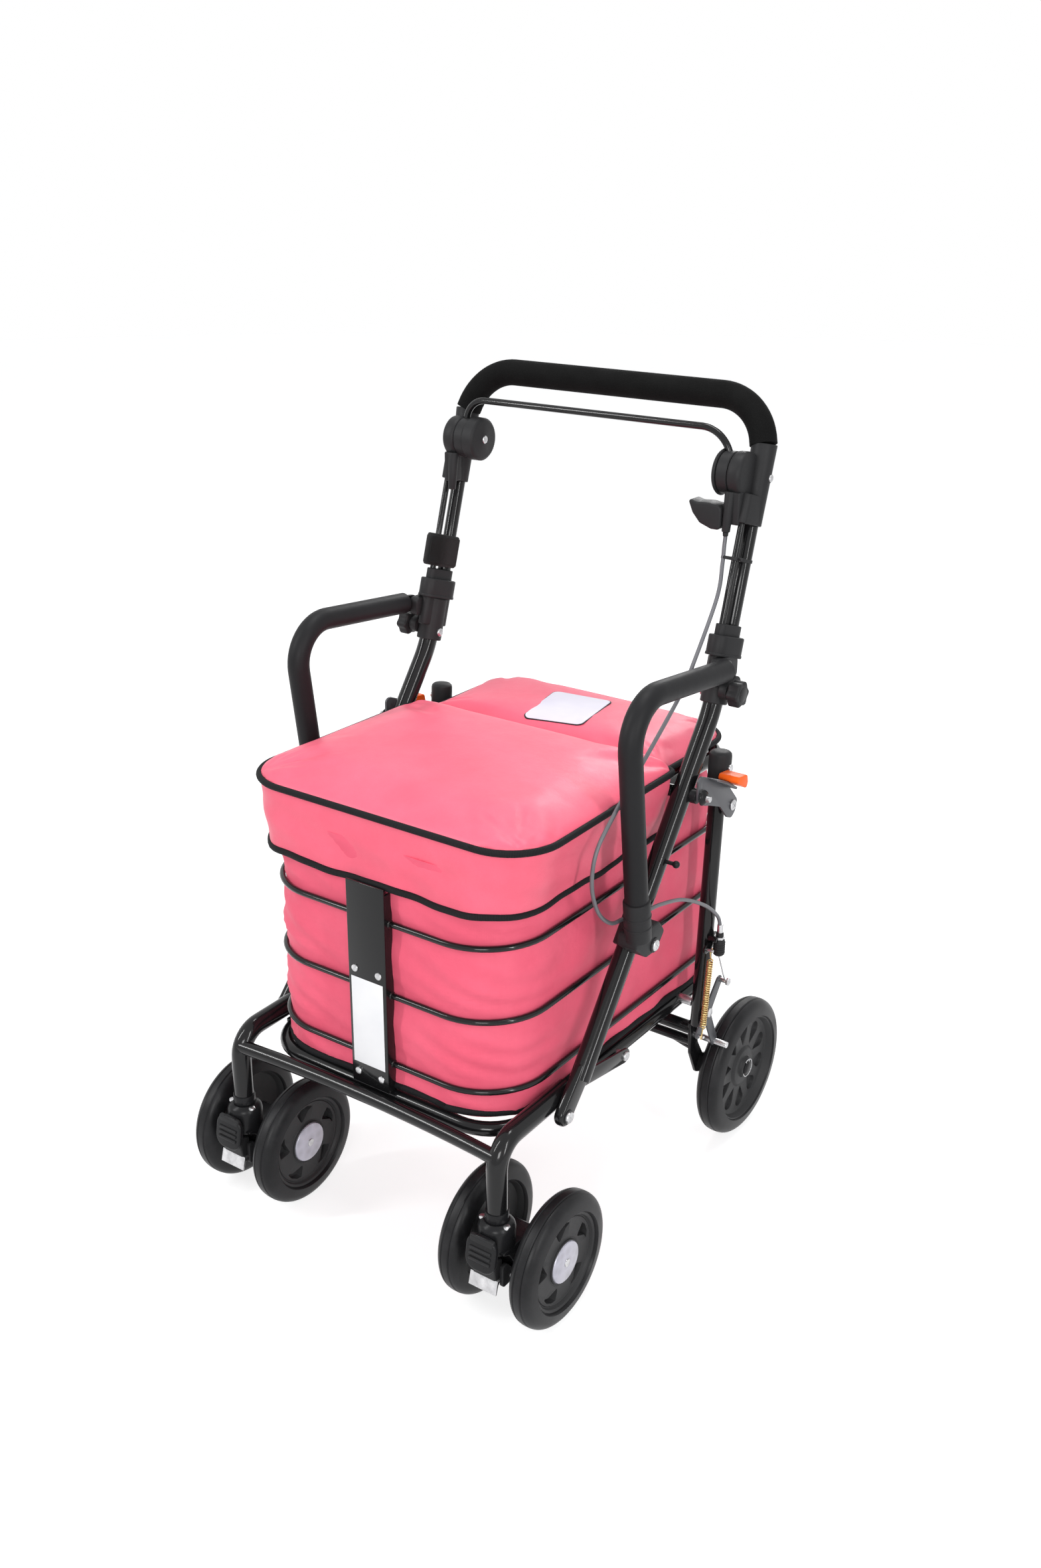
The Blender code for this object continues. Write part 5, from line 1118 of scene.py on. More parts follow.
class ROLLATOR_OT_cushion(bpy.types.Operator):
    """Lid cushion: foam under leatherette, swollen by cloth, with piping round its edge"""
    bl_idname = "rollator.cushion"
    bl_label = "Cushion"

    def execute(self, context):
        sizes = context.scene.rollator_sizes
        edge = CUSHION_EDGE_Z
        layers = [(0.0125, BOARD_Z), (0.0125, edge - 0.0054), (0.003, edge - 0.0048),
                  (0.0016, edge - 0.001), (0.002, edge + 0.002), (0.004, edge + 0.006),
                  (0.0085, edge + 0.0105), (0.015, edge + 0.0135)]
        rows = cushion_rows(lambda inset: even_outline(seat_outline(inset), 150), layers, edge
                            + sizes.crown, (0.93, 0.84, 0.72, 0.58, 0.42, 0.26, 0.12))
        pad = closed_pad(rows, "leatherette")
        puffed(pad, 0.0052, 4.0, 0.006, lambda co: co.z < edge + 0.004)
        creases = []
        for sign in (1.0, -1.0):
            corner = Vector((sign * 0.17, -0.186, edge + 0.006))
            for turn, reach, depth in ((18, 0.062, 0.0013), (37, 0.085, 0.0016), (58, 0.06, 0.0014),
                                       (76, 0.04, 0.001)):
                way = inward(sign, turn)
                creases.append((corner + way * 0.004, corner + way * reach + Z_AXIS * 0.014, 0.0042, depth))
            rear = Vector((sign * 0.181, 0.078, edge + 0.006))
            for turn, reach in ((-20, 0.05), (-48, 0.044)):
                way = inward(sign, turn)
                creases.append((rear + way * 0.004, rear + way * reach + Z_AXIS * 0.012, 0.004, 0.0012))
        folded(pad, creases)
        pad = together("seat_pad", [pad], "lid", ["seat_cushion"], 80.0)

        outline = even_outline(seat_outline(0.0018, 16), 190)
        welt = pipe([(x, y, edge - 0.0008) for x, y in outline], sizes.piping, "ribbed_binding", 14, True)
        together("seat_piping", [welt], "lid")
        board = flat_cloth(seat_outline(0.0135), BOARD_Z - 0.0001, BOARD_Z + 0.002, "satin_plastic")
        together("seat_board", [board], "lid")
        return {"FINISHED"}


def skirt_path(share, steps=9):
    """The plan of the skirt at a share of its drop, from its left rear end round the front."""
    x = 0.1868 + (0.1745 - 0.1868) * share ** 1.2
    front = CUSHION_FRONT_Y + 0.0028 - 0.006 * share
    z = CUSHION_EDGE_Z - 0.004 + (SKIRT_BOTTOM_Z + 0.003 - CUSHION_EDGE_Z + 0.004) * share
    rear = SEAM_Y - 0.017
    path = rounded([(x, rear, z), (x, front, z), (-x, front, z), (-x, rear, z)], 0.056, steps)
    length = sum((q - p).length for p, q in zip(path, path[1:]))
    return even_points(path, length / 240)


class ROLLATOR_OT_skirt(bpy.types.Operator):
    """Skirt that hangs from the lid in soft waves, bound with tape along its hem"""
    bl_idname = "rollator.skirt"
    bl_label = "Skirt"

    def execute(self, context):
        rows = []
        for i in range(25):
            share = i / 24
            path = skirt_path(share)
            row = []
            for number, point in enumerate(path):
                along = number / (len(path) - 1)
                before, after = path[max(0, number - 1)], path[min(len(path) - 1, number + 1)]
                out = (after - before).normalized().cross(Z_AXIS)
                wave = 0.002 * math.sin(along * 43 + 1.3 * math.sin(along * 13))
                wave += 0.0005 * math.sin(along * 121 + share * 3)
                crease = 0.001 * math.sin(share * 11 + along * 31) * math.sin(math.pi * share)
                lift = 0.0016 * math.sin(along * 43) * share
                row.append(point - out * (wave * share ** 1.3 + crease) + Z_AXIS * lift)
            rows.append(row)
        cloth = surface([row[::-1] for row in rows[::-1]], "leatherette")
        modify(cloth, "SOLIDIFY", thickness=0.0013, offset=0.0)
        area = sum((rows[0][i + 1] - rows[0][i]).length for i in range(len(rows[0]) - 1))
        skirt = together("seat_skirt_cloth", [cloth], "lid", ["seat_skirt"], 70.0)
        hem_path = [Vector(p) for p in rows[-1]]
        hem = pipe(hem_path, 0.0039, "ribbed_binding", 14)
        hem = together("seat_skirt_hem", [hem], "lid")
        for piece in (skirt, hem):
            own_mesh(piece)
        return {"FINISHED"}


class ROLLATOR_OT_rear_pad(bpy.types.Operator):
    """Lower rear pad with its piping and a blank patch"""
    bl_idname = "rollator.rear_pad"
    bl_label = "Rear pad"

    def execute(self, context):
        sizes = context.scene.rollator_sizes
        layers = [(0.009, BOARD_Z), (0.004, BOARD_Z + 0.002), (0.0022, BOARD_Z + 0.0045),
                  (0.0022, BOARD_Z + 0.0095), (0.0044, BOARD_Z + 0.014), (0.0095, BOARD_Z + 0.0172)]
        rows = cushion_rows(lambda inset: even_outline(pad_outline(inset), 130), layers, BOARD_Z + 0.0255,
                            (0.92, 0.82, 0.7, 0.56, 0.4, 0.22))
        pad = closed_pad(rows, "leatherette")
        puffed(pad, 0.005, 4.0, 0.0035, lambda co: co.z < BOARD_Z + 0.006)
        creases = []
        for sign in (1.0, -1.0):
            for corner, turns in (((sign * 0.15, 0.237), (-30, -55)), ((sign * 0.16, 0.1), (25, 50))):
                start = Vector((*corner, BOARD_Z + 0.016))
                for turn in turns:
                    end = start + inward(sign, turn) * 0.045 + Z_AXIS * 0.008
                    creases.append((start, end, 0.004, 0.0009))
        folded(pad, creases)
        pad = together("rear_pad_cover", [pad], "frame", ["rear_pad"], 80.0)
        outline = [(x, y) for x, y in even_outline(pad_outline(0.0022, 16), 170) if y > SEAM_Y + 0.006]
        first = max(range(len(outline)), key=lambda i: (Vector(outline[i]) - Vector(outline[i - 1])).length)
        run = outline[first:] + outline[:first]
        welt = pipe([(x, y, BOARD_Z + 0.0058) for x, y in run], sizes.piping * 0.9, "ribbed_binding", 14)
        together("rear_pad_piping", [welt], "frame")
        self.patch(pad)
        return {"FINISHED"}

    def patch(self, pad):
        """A thin blank badge laid on the pad's crown by dropping its points onto the cover."""
        outline = soft_outline([(-0.0385, -0.044), (0.0385, -0.044), (0.0385, 0.044), (-0.0385, 0.044)],
                               0.008, 8)
        turn = math.radians(8.0)
        for name, grow, lift, look in (("rear_patch_rim", 1.0, 0.0009, "satin_plastic"),
                                       ("rear_patch", 0.972, 0.0013, "blank_patch")):
            rows = []
            for share in [i / 22 for i in range(23)]:
                row = []
                for x, y in outline:
                    x, y = x * grow * (1 - share * 0.999), y * grow * (1 - share * 0.999)
                    px = x * math.cos(turn) - y * math.sin(turn)
                    py = 0.152 + x * math.sin(turn) + y * math.cos(turn)
                    heights = []
                    for dx, dy in ((0.0, 0.0), (0.008, 0.0), (-0.008, 0.0), (0.0, 0.008), (0.0, -0.008)):
                        hit, place, normal, index = pad.ray_cast(Vector((px + dx, py + dy - MIDDLE_Y, 0.7)),
                                                                 -Z_AXIS)
                        heights.append(place.z if hit else BOARD_Z + 0.02)
                    row.append((px, py, sum(heights) / len(heights) + lift))
                rows.append(row)
            sheet = turned_out(surface(rows, look, True))
            if sheet.data.polygons[0].normal.z < 0:
                with Editing(sheet):
                    bpy.ops.mesh.flip_normals()
            modify(sheet, "SOLIDIFY", thickness=0.0007, offset=0.0)
            together(name, [sheet], "frame", (), 50.0)


# Armrests and clamps

class ROLLATOR_OT_armrests(bpy.types.Operator):
    """Foam armrests, the brackets that hold their feet, and the clamps of the handle with their knobs"""
    bl_idname = "rollator.armrests"
    bl_label = "Armrests and clamps"

    def execute(self, context):
        self.rests()
        self.brackets()
        self.clamps()
        return {"FINISHED"}

    def rests(self):
        low = Vector((ARM_REST_X, rest_y(0.432), 0.432))
        bend = Vector((ARM_REST_X, *ARM_REST_BEND))
        rear = Vector((ARM_REST_X, *ARM_REST_REAR))
        foam_end = rear - (rear - bend).normalized() * 0.01
        path = rounded([low, bend, foam_end], 0.045, 14)
        shapes = [pipe(path, 0.0125, "armrest_skin", 32)]
        for at, way in ((low, low - bend), (foam_end, rear - bend)):
            shapes.append(dome(at - way.normalized() * 0.0002, way, 0.0124, 0.0022, "armrest_skin", 40))
        foot = Vector((ARM_REST_X, rest_y(0.401), 0.401))
        shapes.append(rod(foot, low + (bend - low).normalized() * 0.01, 0.008, "gloss_paint"))
        tab = plate(stadium((foam_end.y - 0.006, foam_end.z + 0.001), (rear.y, rear.z), 0.01, 10),
                    ARM_REST_X - 0.0065, ARM_REST_X - 0.001, "gloss_paint", 0.0012)
        washer = rod((ARM_REST_X - 0.001, *ARM_REST_REAR), (ARM_REST_X + 0.0002, *ARM_REST_REAR), 0.008,
                     "smooth_plastic")
        shapes += [tab, washer,
                   screw((ARM_REST_X, *ARM_REST_REAR), X_AXIS, 0.0062, 0.003),
                   screw((ARM_REST_X - 0.0064, *ARM_REST_REAR), -X_AXIS, 0.005, 0.0016)]
        on_both_sides("armrest_pad", shapes, "frame", ["armrest"])

    def brackets(self):
        """A collar on each diagonal tube, a socket for the armrest and the block between them."""
        along = Vector((0.0, DIAGONAL_LEAN, 1.0)).normalized()
        centre = Vector((SIDE_X, diagonal_y(0.375), 0.375))
        shapes = [turned([(-0.017, SIDE_R + 0.0003), (-0.017, 0.0148), (-0.0158, 0.016), (0.0158, 0.016),
                          (0.017, 0.0148), (0.017, SIDE_R + 0.0003)],
                         centre, along, "satin_plastic", 40)]
        low = Vector((ARM_REST_X, rest_y(0.385), 0.385))
        high = Vector((ARM_REST_X, rest_y(0.4317), 0.4317))
        shapes.append(rod(low, high, 0.0145, "satin_plastic", 40, 0.0016))
        for share in (0.35, 0.62):
            at = low.lerp(high, share)
            shapes.append(turned([(-0.0012, 0.0144), (-0.0006, 0.0151), (0.0006, 0.0151), (0.0012, 0.0144)],
                                 at, high - low, "satin_plastic", 40))
        block = [(-0.052, 0.378), (-0.052, 0.393), (-0.006, 0.393), (0.006, 0.378), (-0.01, 0.36),
                 (-0.03, 0.36)]
        shapes.append(plate(soft_outline(block, 0.005), SIDE_X + 0.004, ARM_REST_X + 0.006, "satin_plastic",
                            0.0018, 3))
        shapes.append(rod((SIDE_X, centre.y, 0.369), (ARM_REST_X + 0.007, centre.y, 0.369), 0.0085,
                          "smooth_plastic"))
        shapes.append(screw((ARM_REST_X + 0.007, centre.y, 0.369), X_AXIS, 0.0062, 0.003))
        on_both_sides("armrest_foot", shapes, "frame", ["arm_bracket"])

    def clamps(self):
        """Clamps from the side tubes to the inner tubes, with lobed knobs."""
        knob_y, knob_z = 0.136, 0.608
        collar = twin_sleeve(SIDE_X, 0.638, 0.6595, 0.0165, 0.012, "satin_plastic", 0.0016)
        lip = twin_sleeve(SIDE_X, 0.638, 0.641, 0.0171, 0.0126, "satin_plastic", 0.0006)
        neck = twin_sleeve(SIDE_X, 0.6585, CLAMP_TOP_Z, 0.011, 0.0066, "satin_plastic", 0.0012)
        guide = twin_sleeve(SIDE_X, 0.606, 0.639, 0.013, 0.007, "satin_plastic", 0.0012)
        sleeve = turned([(0.0, SIDE_R + 0.0002), (0.0, 0.0142), (0.0008, 0.015), (0.05, 0.015),
                         (0.05, 0.0103)],
                        upright_at(SIDE_X, 0.591), HANDLE_DIRECTION, "satin_plastic", 40)
        ear = [(0.138, 0.618), (0.1215, 0.625), (0.1215, 0.645), (0.142, 0.645), (0.162, 0.64),
               (0.162, 0.618)]
        screw_at = (SIDE_X - 0.0148, upright_at(0.0, 0.601).y, 0.601)
        shapes = [collar, lip, neck, guide, sleeve,
                  plate(soft_outline(ear, 0.006), SIDE_X + 0.003, ARM_REST_X - 0.0068, "satin_plastic",
                        0.0015, 3),
                  plate(stadium((knob_y, knob_z), (0.152, knob_z + 0.004), 0.0095), SIDE_X + 0.011, 0.2187,
                        "satin_plastic", 0.0012),
                  screw(screw_at, (-1.0, 0.0, 0.0), 0.005, 0.0025)]
        on_both_sides("tube_clamp", shapes, "frame", ["handle_clamp"])

        outline = []
        for i in range(72):
            angle = math.tau * i / 72
            radius = 0.0136 + 0.0012 * math.cos(angle * 6)
            outline.append((knob_y + radius * math.cos(angle), knob_z + radius * math.sin(angle)))
        knob = [plate(outline, 0.2208, 0.235, "satin_plastic", 0.0024, 3),
                rod((0.2192, knob_y, knob_z), (0.223, knob_y, knob_z), 0.0074, "satin_plastic", 28, 0.0005),
                rod((0.234, knob_y, knob_z), (0.2354, knob_y, knob_z), 0.0084, "smooth_plastic", 36, 0.0006)]
        on_both_sides("height_knob", knob, "knob", ["clamp_knob"])


# Handle

class ROLLATOR_OT_handle(bpy.types.Operator):
    """Inner tubes, joint housings, foam bow, brake bar, park lever and strap"""
    bl_idname = "rollator.handle"
    bl_label = "Handle"

    def execute(self, context):
        self.tubes()
        self.housings()
        self.bow()
        self.brake_bar()
        self.park_lever()
        return {"FINISHED"}

    def tubes(self):
        forward = AHEAD * ROD_AHEAD
        tube = rod(handle_at(SIDE_X, 0.6133), handle_at(SIDE_X, 0.7965), 0.008, "gloss_paint", 40, 0.0002)
        thin = rod(handle_at(SIDE_X, 0.6138) + forward, handle_at(SIDE_X, 0.7895) + forward, 0.0036,
                   "gloss_paint", 24, 0.0002)
        on_both_sides("upper_tube", [tube, thin], "handle", ["inner_tube", "guide_rod"])
        band = twin_sleeve(SIDE_X, 0.7362, 0.7398, 0.009, 0.005, "satin_plastic", 0.0006)
        middle = handle_at(SIDE_X, 0.738) + forward * 0.86
        loop = prism([middle + X_AXIS * x + AHEAD * y + HANDLE_DIRECTION * -0.0018
                      for x, y in stadium((-0.0015, 0.0), (-0.0122, 0.003), 0.0042)],
                     HANDLE_DIRECTION * 0.0036, "satin_plastic", 0.0006)
        lock = rod(middle + X_AXIS * 0.006 + AHEAD * 0.002, middle + X_AXIS * 0.0105 + AHEAD * 0.006,
                   0.0022, "satin_plastic", 12, 0.0004)
        together("cable_tie", [band, loop, lock], "handle")
        self.strap()

    def strap(self):
        """A thick hook-and-loop strap wound round the right tube and its thin rod, with a loose end."""
        wraps = []
        for low, high, out in ((0.6742, 0.7108, 0.0), (0.6755, 0.709, 0.0012)):
            wraps.append(twin_sleeve(-SIDE_X, low, high, 0.0122 + out, 0.0126 + out * 0.6, "hook_tape",
                                     0.0022))
        middle = handle_at(-SIDE_X, 0.6925) + AHEAD * (ROD_AHEAD * 0.5)
        rows = []
        for rise in (-0.0155, -0.0075, 0.0, 0.0075, 0.0155):
            wave = 0.0008 * math.sin(rise * 300)
            rows.append([middle + HANDLE_DIRECTION * rise + X_AXIS * x + AHEAD * (y + wave)
                         for x, y in ((0.0126, -0.015), (0.0132, -0.006), (0.0136, 0.004), (0.0132, 0.012),
                                      (0.0096, 0.0205), (0.003, 0.0262))])
        flap = surface(rows, "hook_tape")
        modify(flap, "SUBSURF", levels=2)
        modify(flap, "SOLIDIFY", thickness=0.0018, offset=0.0)
        together("strap_wrap", wraps + [flap], "handle", ["hook_and_loop_strap"])

    def housings(self):
        """Sleeves from the tubes to the grip, with the drums and discs that carry the brake bar."""
        foot = Vector((SIDE_X, *GRIP_FOOT))
        socket = twin_sleeve(SIDE_X, 0.7745, 0.8045, 0.011, 0.007, "satin_plastic", 0.0014)
        sleeve = rod(handle_at(SIDE_X, 0.7755), foot + GRIP_DIRECTION * 0.0012, 0.011, "satin_plastic", 48,
                     0.001, 0.0141)
        drum = turned([(0.0, 0.0), (0.0, 0.0212), (0.0008, 0.0226), (0.0024, 0.0237), (0.0048, 0.0241),
                       (0.0114, 0.0241), (0.0138, 0.0235), (0.0154, 0.0219), (0.0162, 0.0192),
                       (0.0162, 0.0)],
                      (0.1815, JOINT.y, JOINT.z), X_AXIS, "satin_plastic", 64)
        bolt_at = (0.2157, 0.8245)
        bolt = rod((0.204, *bolt_at), (0.2108, *bolt_at), 0.0052, "satin_plastic", 28, 0.0006)
        head = screw((0.2106, *bolt_at), X_AXIS, 0.004, 0.0022)
        pin = rod((0.166, JOINT.y, JOINT.z), (0.1855, JOINT.y, JOINT.z), 0.006, "zinc")
        for name, near, way in (("left_disc", 0.163, X_AXIS), ("right_disc", -0.152, -X_AXIS)):
            deep = 0.168 - abs(near)
            disc = turned([(-0.0004, 0.0), (-0.0004, 0.007), (0.0, 0.0076), (0.0, 0.0205), (0.0012, 0.0232),
                           (0.003, 0.0248), (deep - 0.001, 0.025), (deep, 0.024), (deep, 0.0)],
                          JOINT + X_AXIS * near, way, "satin_plastic", 64)
            inner_screw = screw(JOINT + X_AXIS * near + way * -0.0004, -way, 0.0046, 0.002)
            together(name, [disc, inner_screw], "handle")
        boss = rod((*CABLE_BOSS, 0.7712), (0.185, 0.176, 0.814), 0.0045, "satin_plastic", 24, 0.001, 0.0062)
        web = slab((0.184, 0.173, 0.779), (0.1975, 0.19, 0.814), "satin_plastic", 0.002)
        on_both_sides("joint_housing", [socket, sleeve, drum, bolt, head, pin, boss, web], "handle",
                      ["handle_housing"])
        pivot = rod((0.1394, *LEVER), (SIDE_X - 0.0052, *LEVER), 0.0025, "zinc", 20, 0.0003)
        together("lever_pin", [pivot], "handle")

    def bow(self):
        def leaning(x, reach):
            return Vector((x, *GRIP_FOOT)) + GRIP_DIRECTION * reach

        path = rounded([leaning(SIDE_X, -0.025), leaning(SIDE_X, GRIP_REACH), leaning(-SIDE_X, GRIP_REACH),
                        leaning(-SIDE_X, -0.025)], 0.06, 18)
        inside = [p for p in path if (p - leaning(0.0, 0.0)).dot(GRIP_DIRECTION) > 0.004]
        run = [leaning(SIDE_X - 0.001, 0.0)] + inside + [leaning(0.001 - SIDE_X, 0.0)]
        foam = pipe(run, 0.0149, "grip_foam", 40)
        together("grip_bow", [soften(foam, 0.0012, 3)], "handle", ["handle_grip"])

    def brake_bar(self):
        hub_near, hub_far = 0.1684, 0.1812
        knee, high, middle = JOINT.z + 0.0165, JOINT.z + 0.045, hub_near + 0.0064
        arch = rounded([(0.1745, JOINT.y, knee - 0.006), (0.17, JOINT.y, high), (0.0, JOINT.y, high)],
                       0.036, 12)
        arch += rounded([(-0.001, JOINT.y, high), (-0.178, JOINT.y, high), (-0.178, JOINT.y, knee)], 0.027,
                        12)
        start, end = [Vector((x, JOINT.y, JOINT.z + 0.006)) for x in (middle, -middle)]
        run = [start] + arch + [end]
        shapes = [pipe(run, 0.0039, "gloss_paint", 20)]
        for sign in (1.0, -1.0):
            low = min(sign * hub_near, sign * hub_far)
            shapes.append(turned([(0.0, 0.0062), (0.0, 0.0222), (0.001, 0.023), (0.0118, 0.023),
                                  (0.0128, 0.0222), (0.0128, 0.0062)],
                                 (low, JOINT.y, JOINT.z), X_AXIS, "satin_plastic", 56))
        together("brake_bow", shapes, "brake_bar", ["brake_bar"])

    def park_lever(self):
        hub = rod((0.1396, *LEVER), (0.1795, *LEVER), 0.006, "satin_plastic", 28, 0.0008)
        outline = [(0.1385, 0.803), (0.15, 0.8), (0.164, 0.801), (0.1795, 0.7985), (0.1795, 0.773),
                   (0.168, 0.773), (0.154, 0.778), (0.145, 0.788)]
        points = [(x, 0.186, z) for x, z in soft_outline(outline, 0.006, 6)]
        scoop = prism(points, (0.0, -0.02, 0.0), "satin_plastic", 0.002, 3)
        together("lever_scoop", [hub, scoop], "park_lever", ["park_lever"])


class ROLLATOR_OT_cables(bpy.types.Operator):
    """Brake cable from the left joint housing down to the adjuster on the left rear post"""
    bl_idname = "rollator.cables"
    bl_label = "Brake cable"

    def execute(self, context):
        x, y, z = BARREL
        start = Vector((*CABLE_BOSS, 0.7709))
        end = Vector((x, y, z + 0.0293))
        route = [start - Z_AXIS * 0.006, (0.1846, 0.169, 0.756), (0.1858, 0.165, 0.738),
                 (0.1925, 0.144, 0.706), (0.2015, 0.083, 0.65), (0.204, 0.0518, 0.6224),
                 (0.204, -0.0254, 0.5647), (0.204, -0.0712, 0.5301), (0.2036, -0.0996, 0.5018),
                 (0.203, -0.1052, 0.4664), (0.2012, -0.089, 0.43), (0.201, -0.064, 0.4075),
                 (0.202, -0.042, 0.4035), (0.2058, -0.027, 0.4035), (0.2125, -0.008, 0.4035),
                 (0.215, 0.015, 0.4015), (0.216, 0.06, 0.389), (x, 0.11, 0.362), (x, 0.143, 0.335),
                 end + Z_AXIS * 0.007]
        path = [start] + smooth_points(route, 0.004) + [end]
        sheath = pipe(path, 0.0022, "pale_cable", 16)
        boots = [rod(start + Z_AXIS * 0.0002, start - Z_AXIS * 0.004, 0.0032, "satin_plastic", 20, 0.0004,
                     0.0028),
                 rod(end - Z_AXIS * 0.0002, end + Z_AXIS * 0.01, 0.0036, "zinc", 20, 0.0004)]
        together("cable_run", [sheath] + boots, "frame", ["brake_cable_left"])
        return {"FINISHED"}


# Rear frame

class ROLLATOR_OT_rear_frame(bpy.types.Operator):
    """Rear posts with their wheel plates, cross bars, caps and pins, and the cable between them"""
    bl_idname = "rollator.rear_frame"
    bl_label = "Rear frame"

    def execute(self, context):
        shapes = []
        wheel_plate = [(0.142, 0.186), (0.158, 0.186), (0.164, 0.148), (0.178, 0.125), (0.242, 0.099),
                       (0.247, 0.0874), (0.24, 0.076), (0.228, 0.0745), (0.162, 0.106), (0.146, 0.14)]
        for sign in (1.0, -1.0):
            def bar(x0, x1, place, radius, look, sides=24):
                shapes.append(rod((sign * x0, *place), (sign * x1, *place), radius, look, sides))
            x = sign * SIDE_X
            shapes.append(rod((x, POST_FOOT[0], POST_FOOT[1] - 0.003), (x, *POST_TOP), POST_R,
                              "gloss_paint", 36, 0.0012))
            near, far = sorted((sign * 0.186, sign * 0.19))
            shapes.append(plate(soft_outline(wheel_plate, 0.008), near, far, "gloss_paint", 0.001))
            bar(0.187, 0.2145, (REAR_WHEEL.y, REAR_WHEEL.z), 0.0059, "zinc")
            bar(0.1825, 0.188, (REAR_WHEEL.y, REAR_WHEEL.z), 0.0095, "zinc", 6)
            near, far = sorted((sign * (SIDE_X + POST_R - 0.0012), sign * (ARM_X + 0.0012)))
            shapes.append(plate(stadium(SPRING_PIN, (BARREL[1], 0.2935), 0.0055), near, far, "gloss_paint",
                                0.0005))
            bar(ARM_X, SPRING_X + 0.003, SPRING_PIN, 0.0018, "zinc", 16)
            bar(SIDE_X + 0.004, LATCH_X + 0.0035, LATCH_PIVOT, 0.003, "zinc")
            bar(SIDE_X + 0.004, LATCH_X - 0.0003, LATCH_PIVOT, 0.0068, "satin_plastic")
            shapes.append(screw((sign * (LATCH_X + 0.0035), *LATCH_PIVOT), (sign, 0.0, 0.0), 0.0062, 0.0024))
            bar(SIDE_X + 0.004, ARM_X + 0.003, ARM_PIVOT, 0.003, "zinc")
            shapes.append(nut((sign * (ARM_X + 0.0027), *ARM_PIVOT), (sign, 0.0, 0.0), 0.0062, 0.0035))
            shapes.append(dome((sign * (SIDE_X + 0.009), *FOLD), (sign, 0.0, 0.0), 0.0052, 0.0024, "zinc",
                               24))
        for place, radius, sides in (((0.15, 0.173), 0.008, 32), ((0.152, 0.154), 0.006, 28)):
            shapes.append(rod((-0.188, *place), (0.188, *place), radius, "gloss_paint", sides))
        together("rear_uprights", shapes, "rear_frame", ["rear_posts"])

        low = Vector((SIDE_X, *POST_TOP)) - POST_DIRECTION * 0.0245
        profile = [(0.0168, 0.0), (0.0168, POST_R + 0.0003), (0.0, POST_R + 0.0003), (0.0, 0.0124),
                   (0.0008, 0.013), (0.0345, 0.013), (0.0375, 0.0124), (0.0393, 0.0105), (0.0402, 0.007),
                   (0.0405, 0.0)]
        centre = low + POST_DIRECTION * 0.022
        cap = [turned(profile, low, POST_DIRECTION, "satin_plastic", 44),
               screw((SIDE_X + 0.0126, centre.y, centre.z), X_AXIS, 0.0048, 0.003)]
        on_both_sides("upright_cap", cap, "rear_frame", ["post_cap"])
        half = [(0.1851, 0.165, 0.1345), (0.17, 0.1655, 0.137), (0.145, 0.165, 0.1425),
                (0.09, 0.1635, 0.144)]
        route = [(-x, y, z) for x, y, z in half] + [(0.0, 0.163, 0.144)] + half[::-1]
        link = pipe(smooth_points(route, 0.008), 0.0028, "cable_sheath", 14)
        together("linking_cable", [link], "rear_frame", ["cross_cable"])
        return {"FINISHED"}


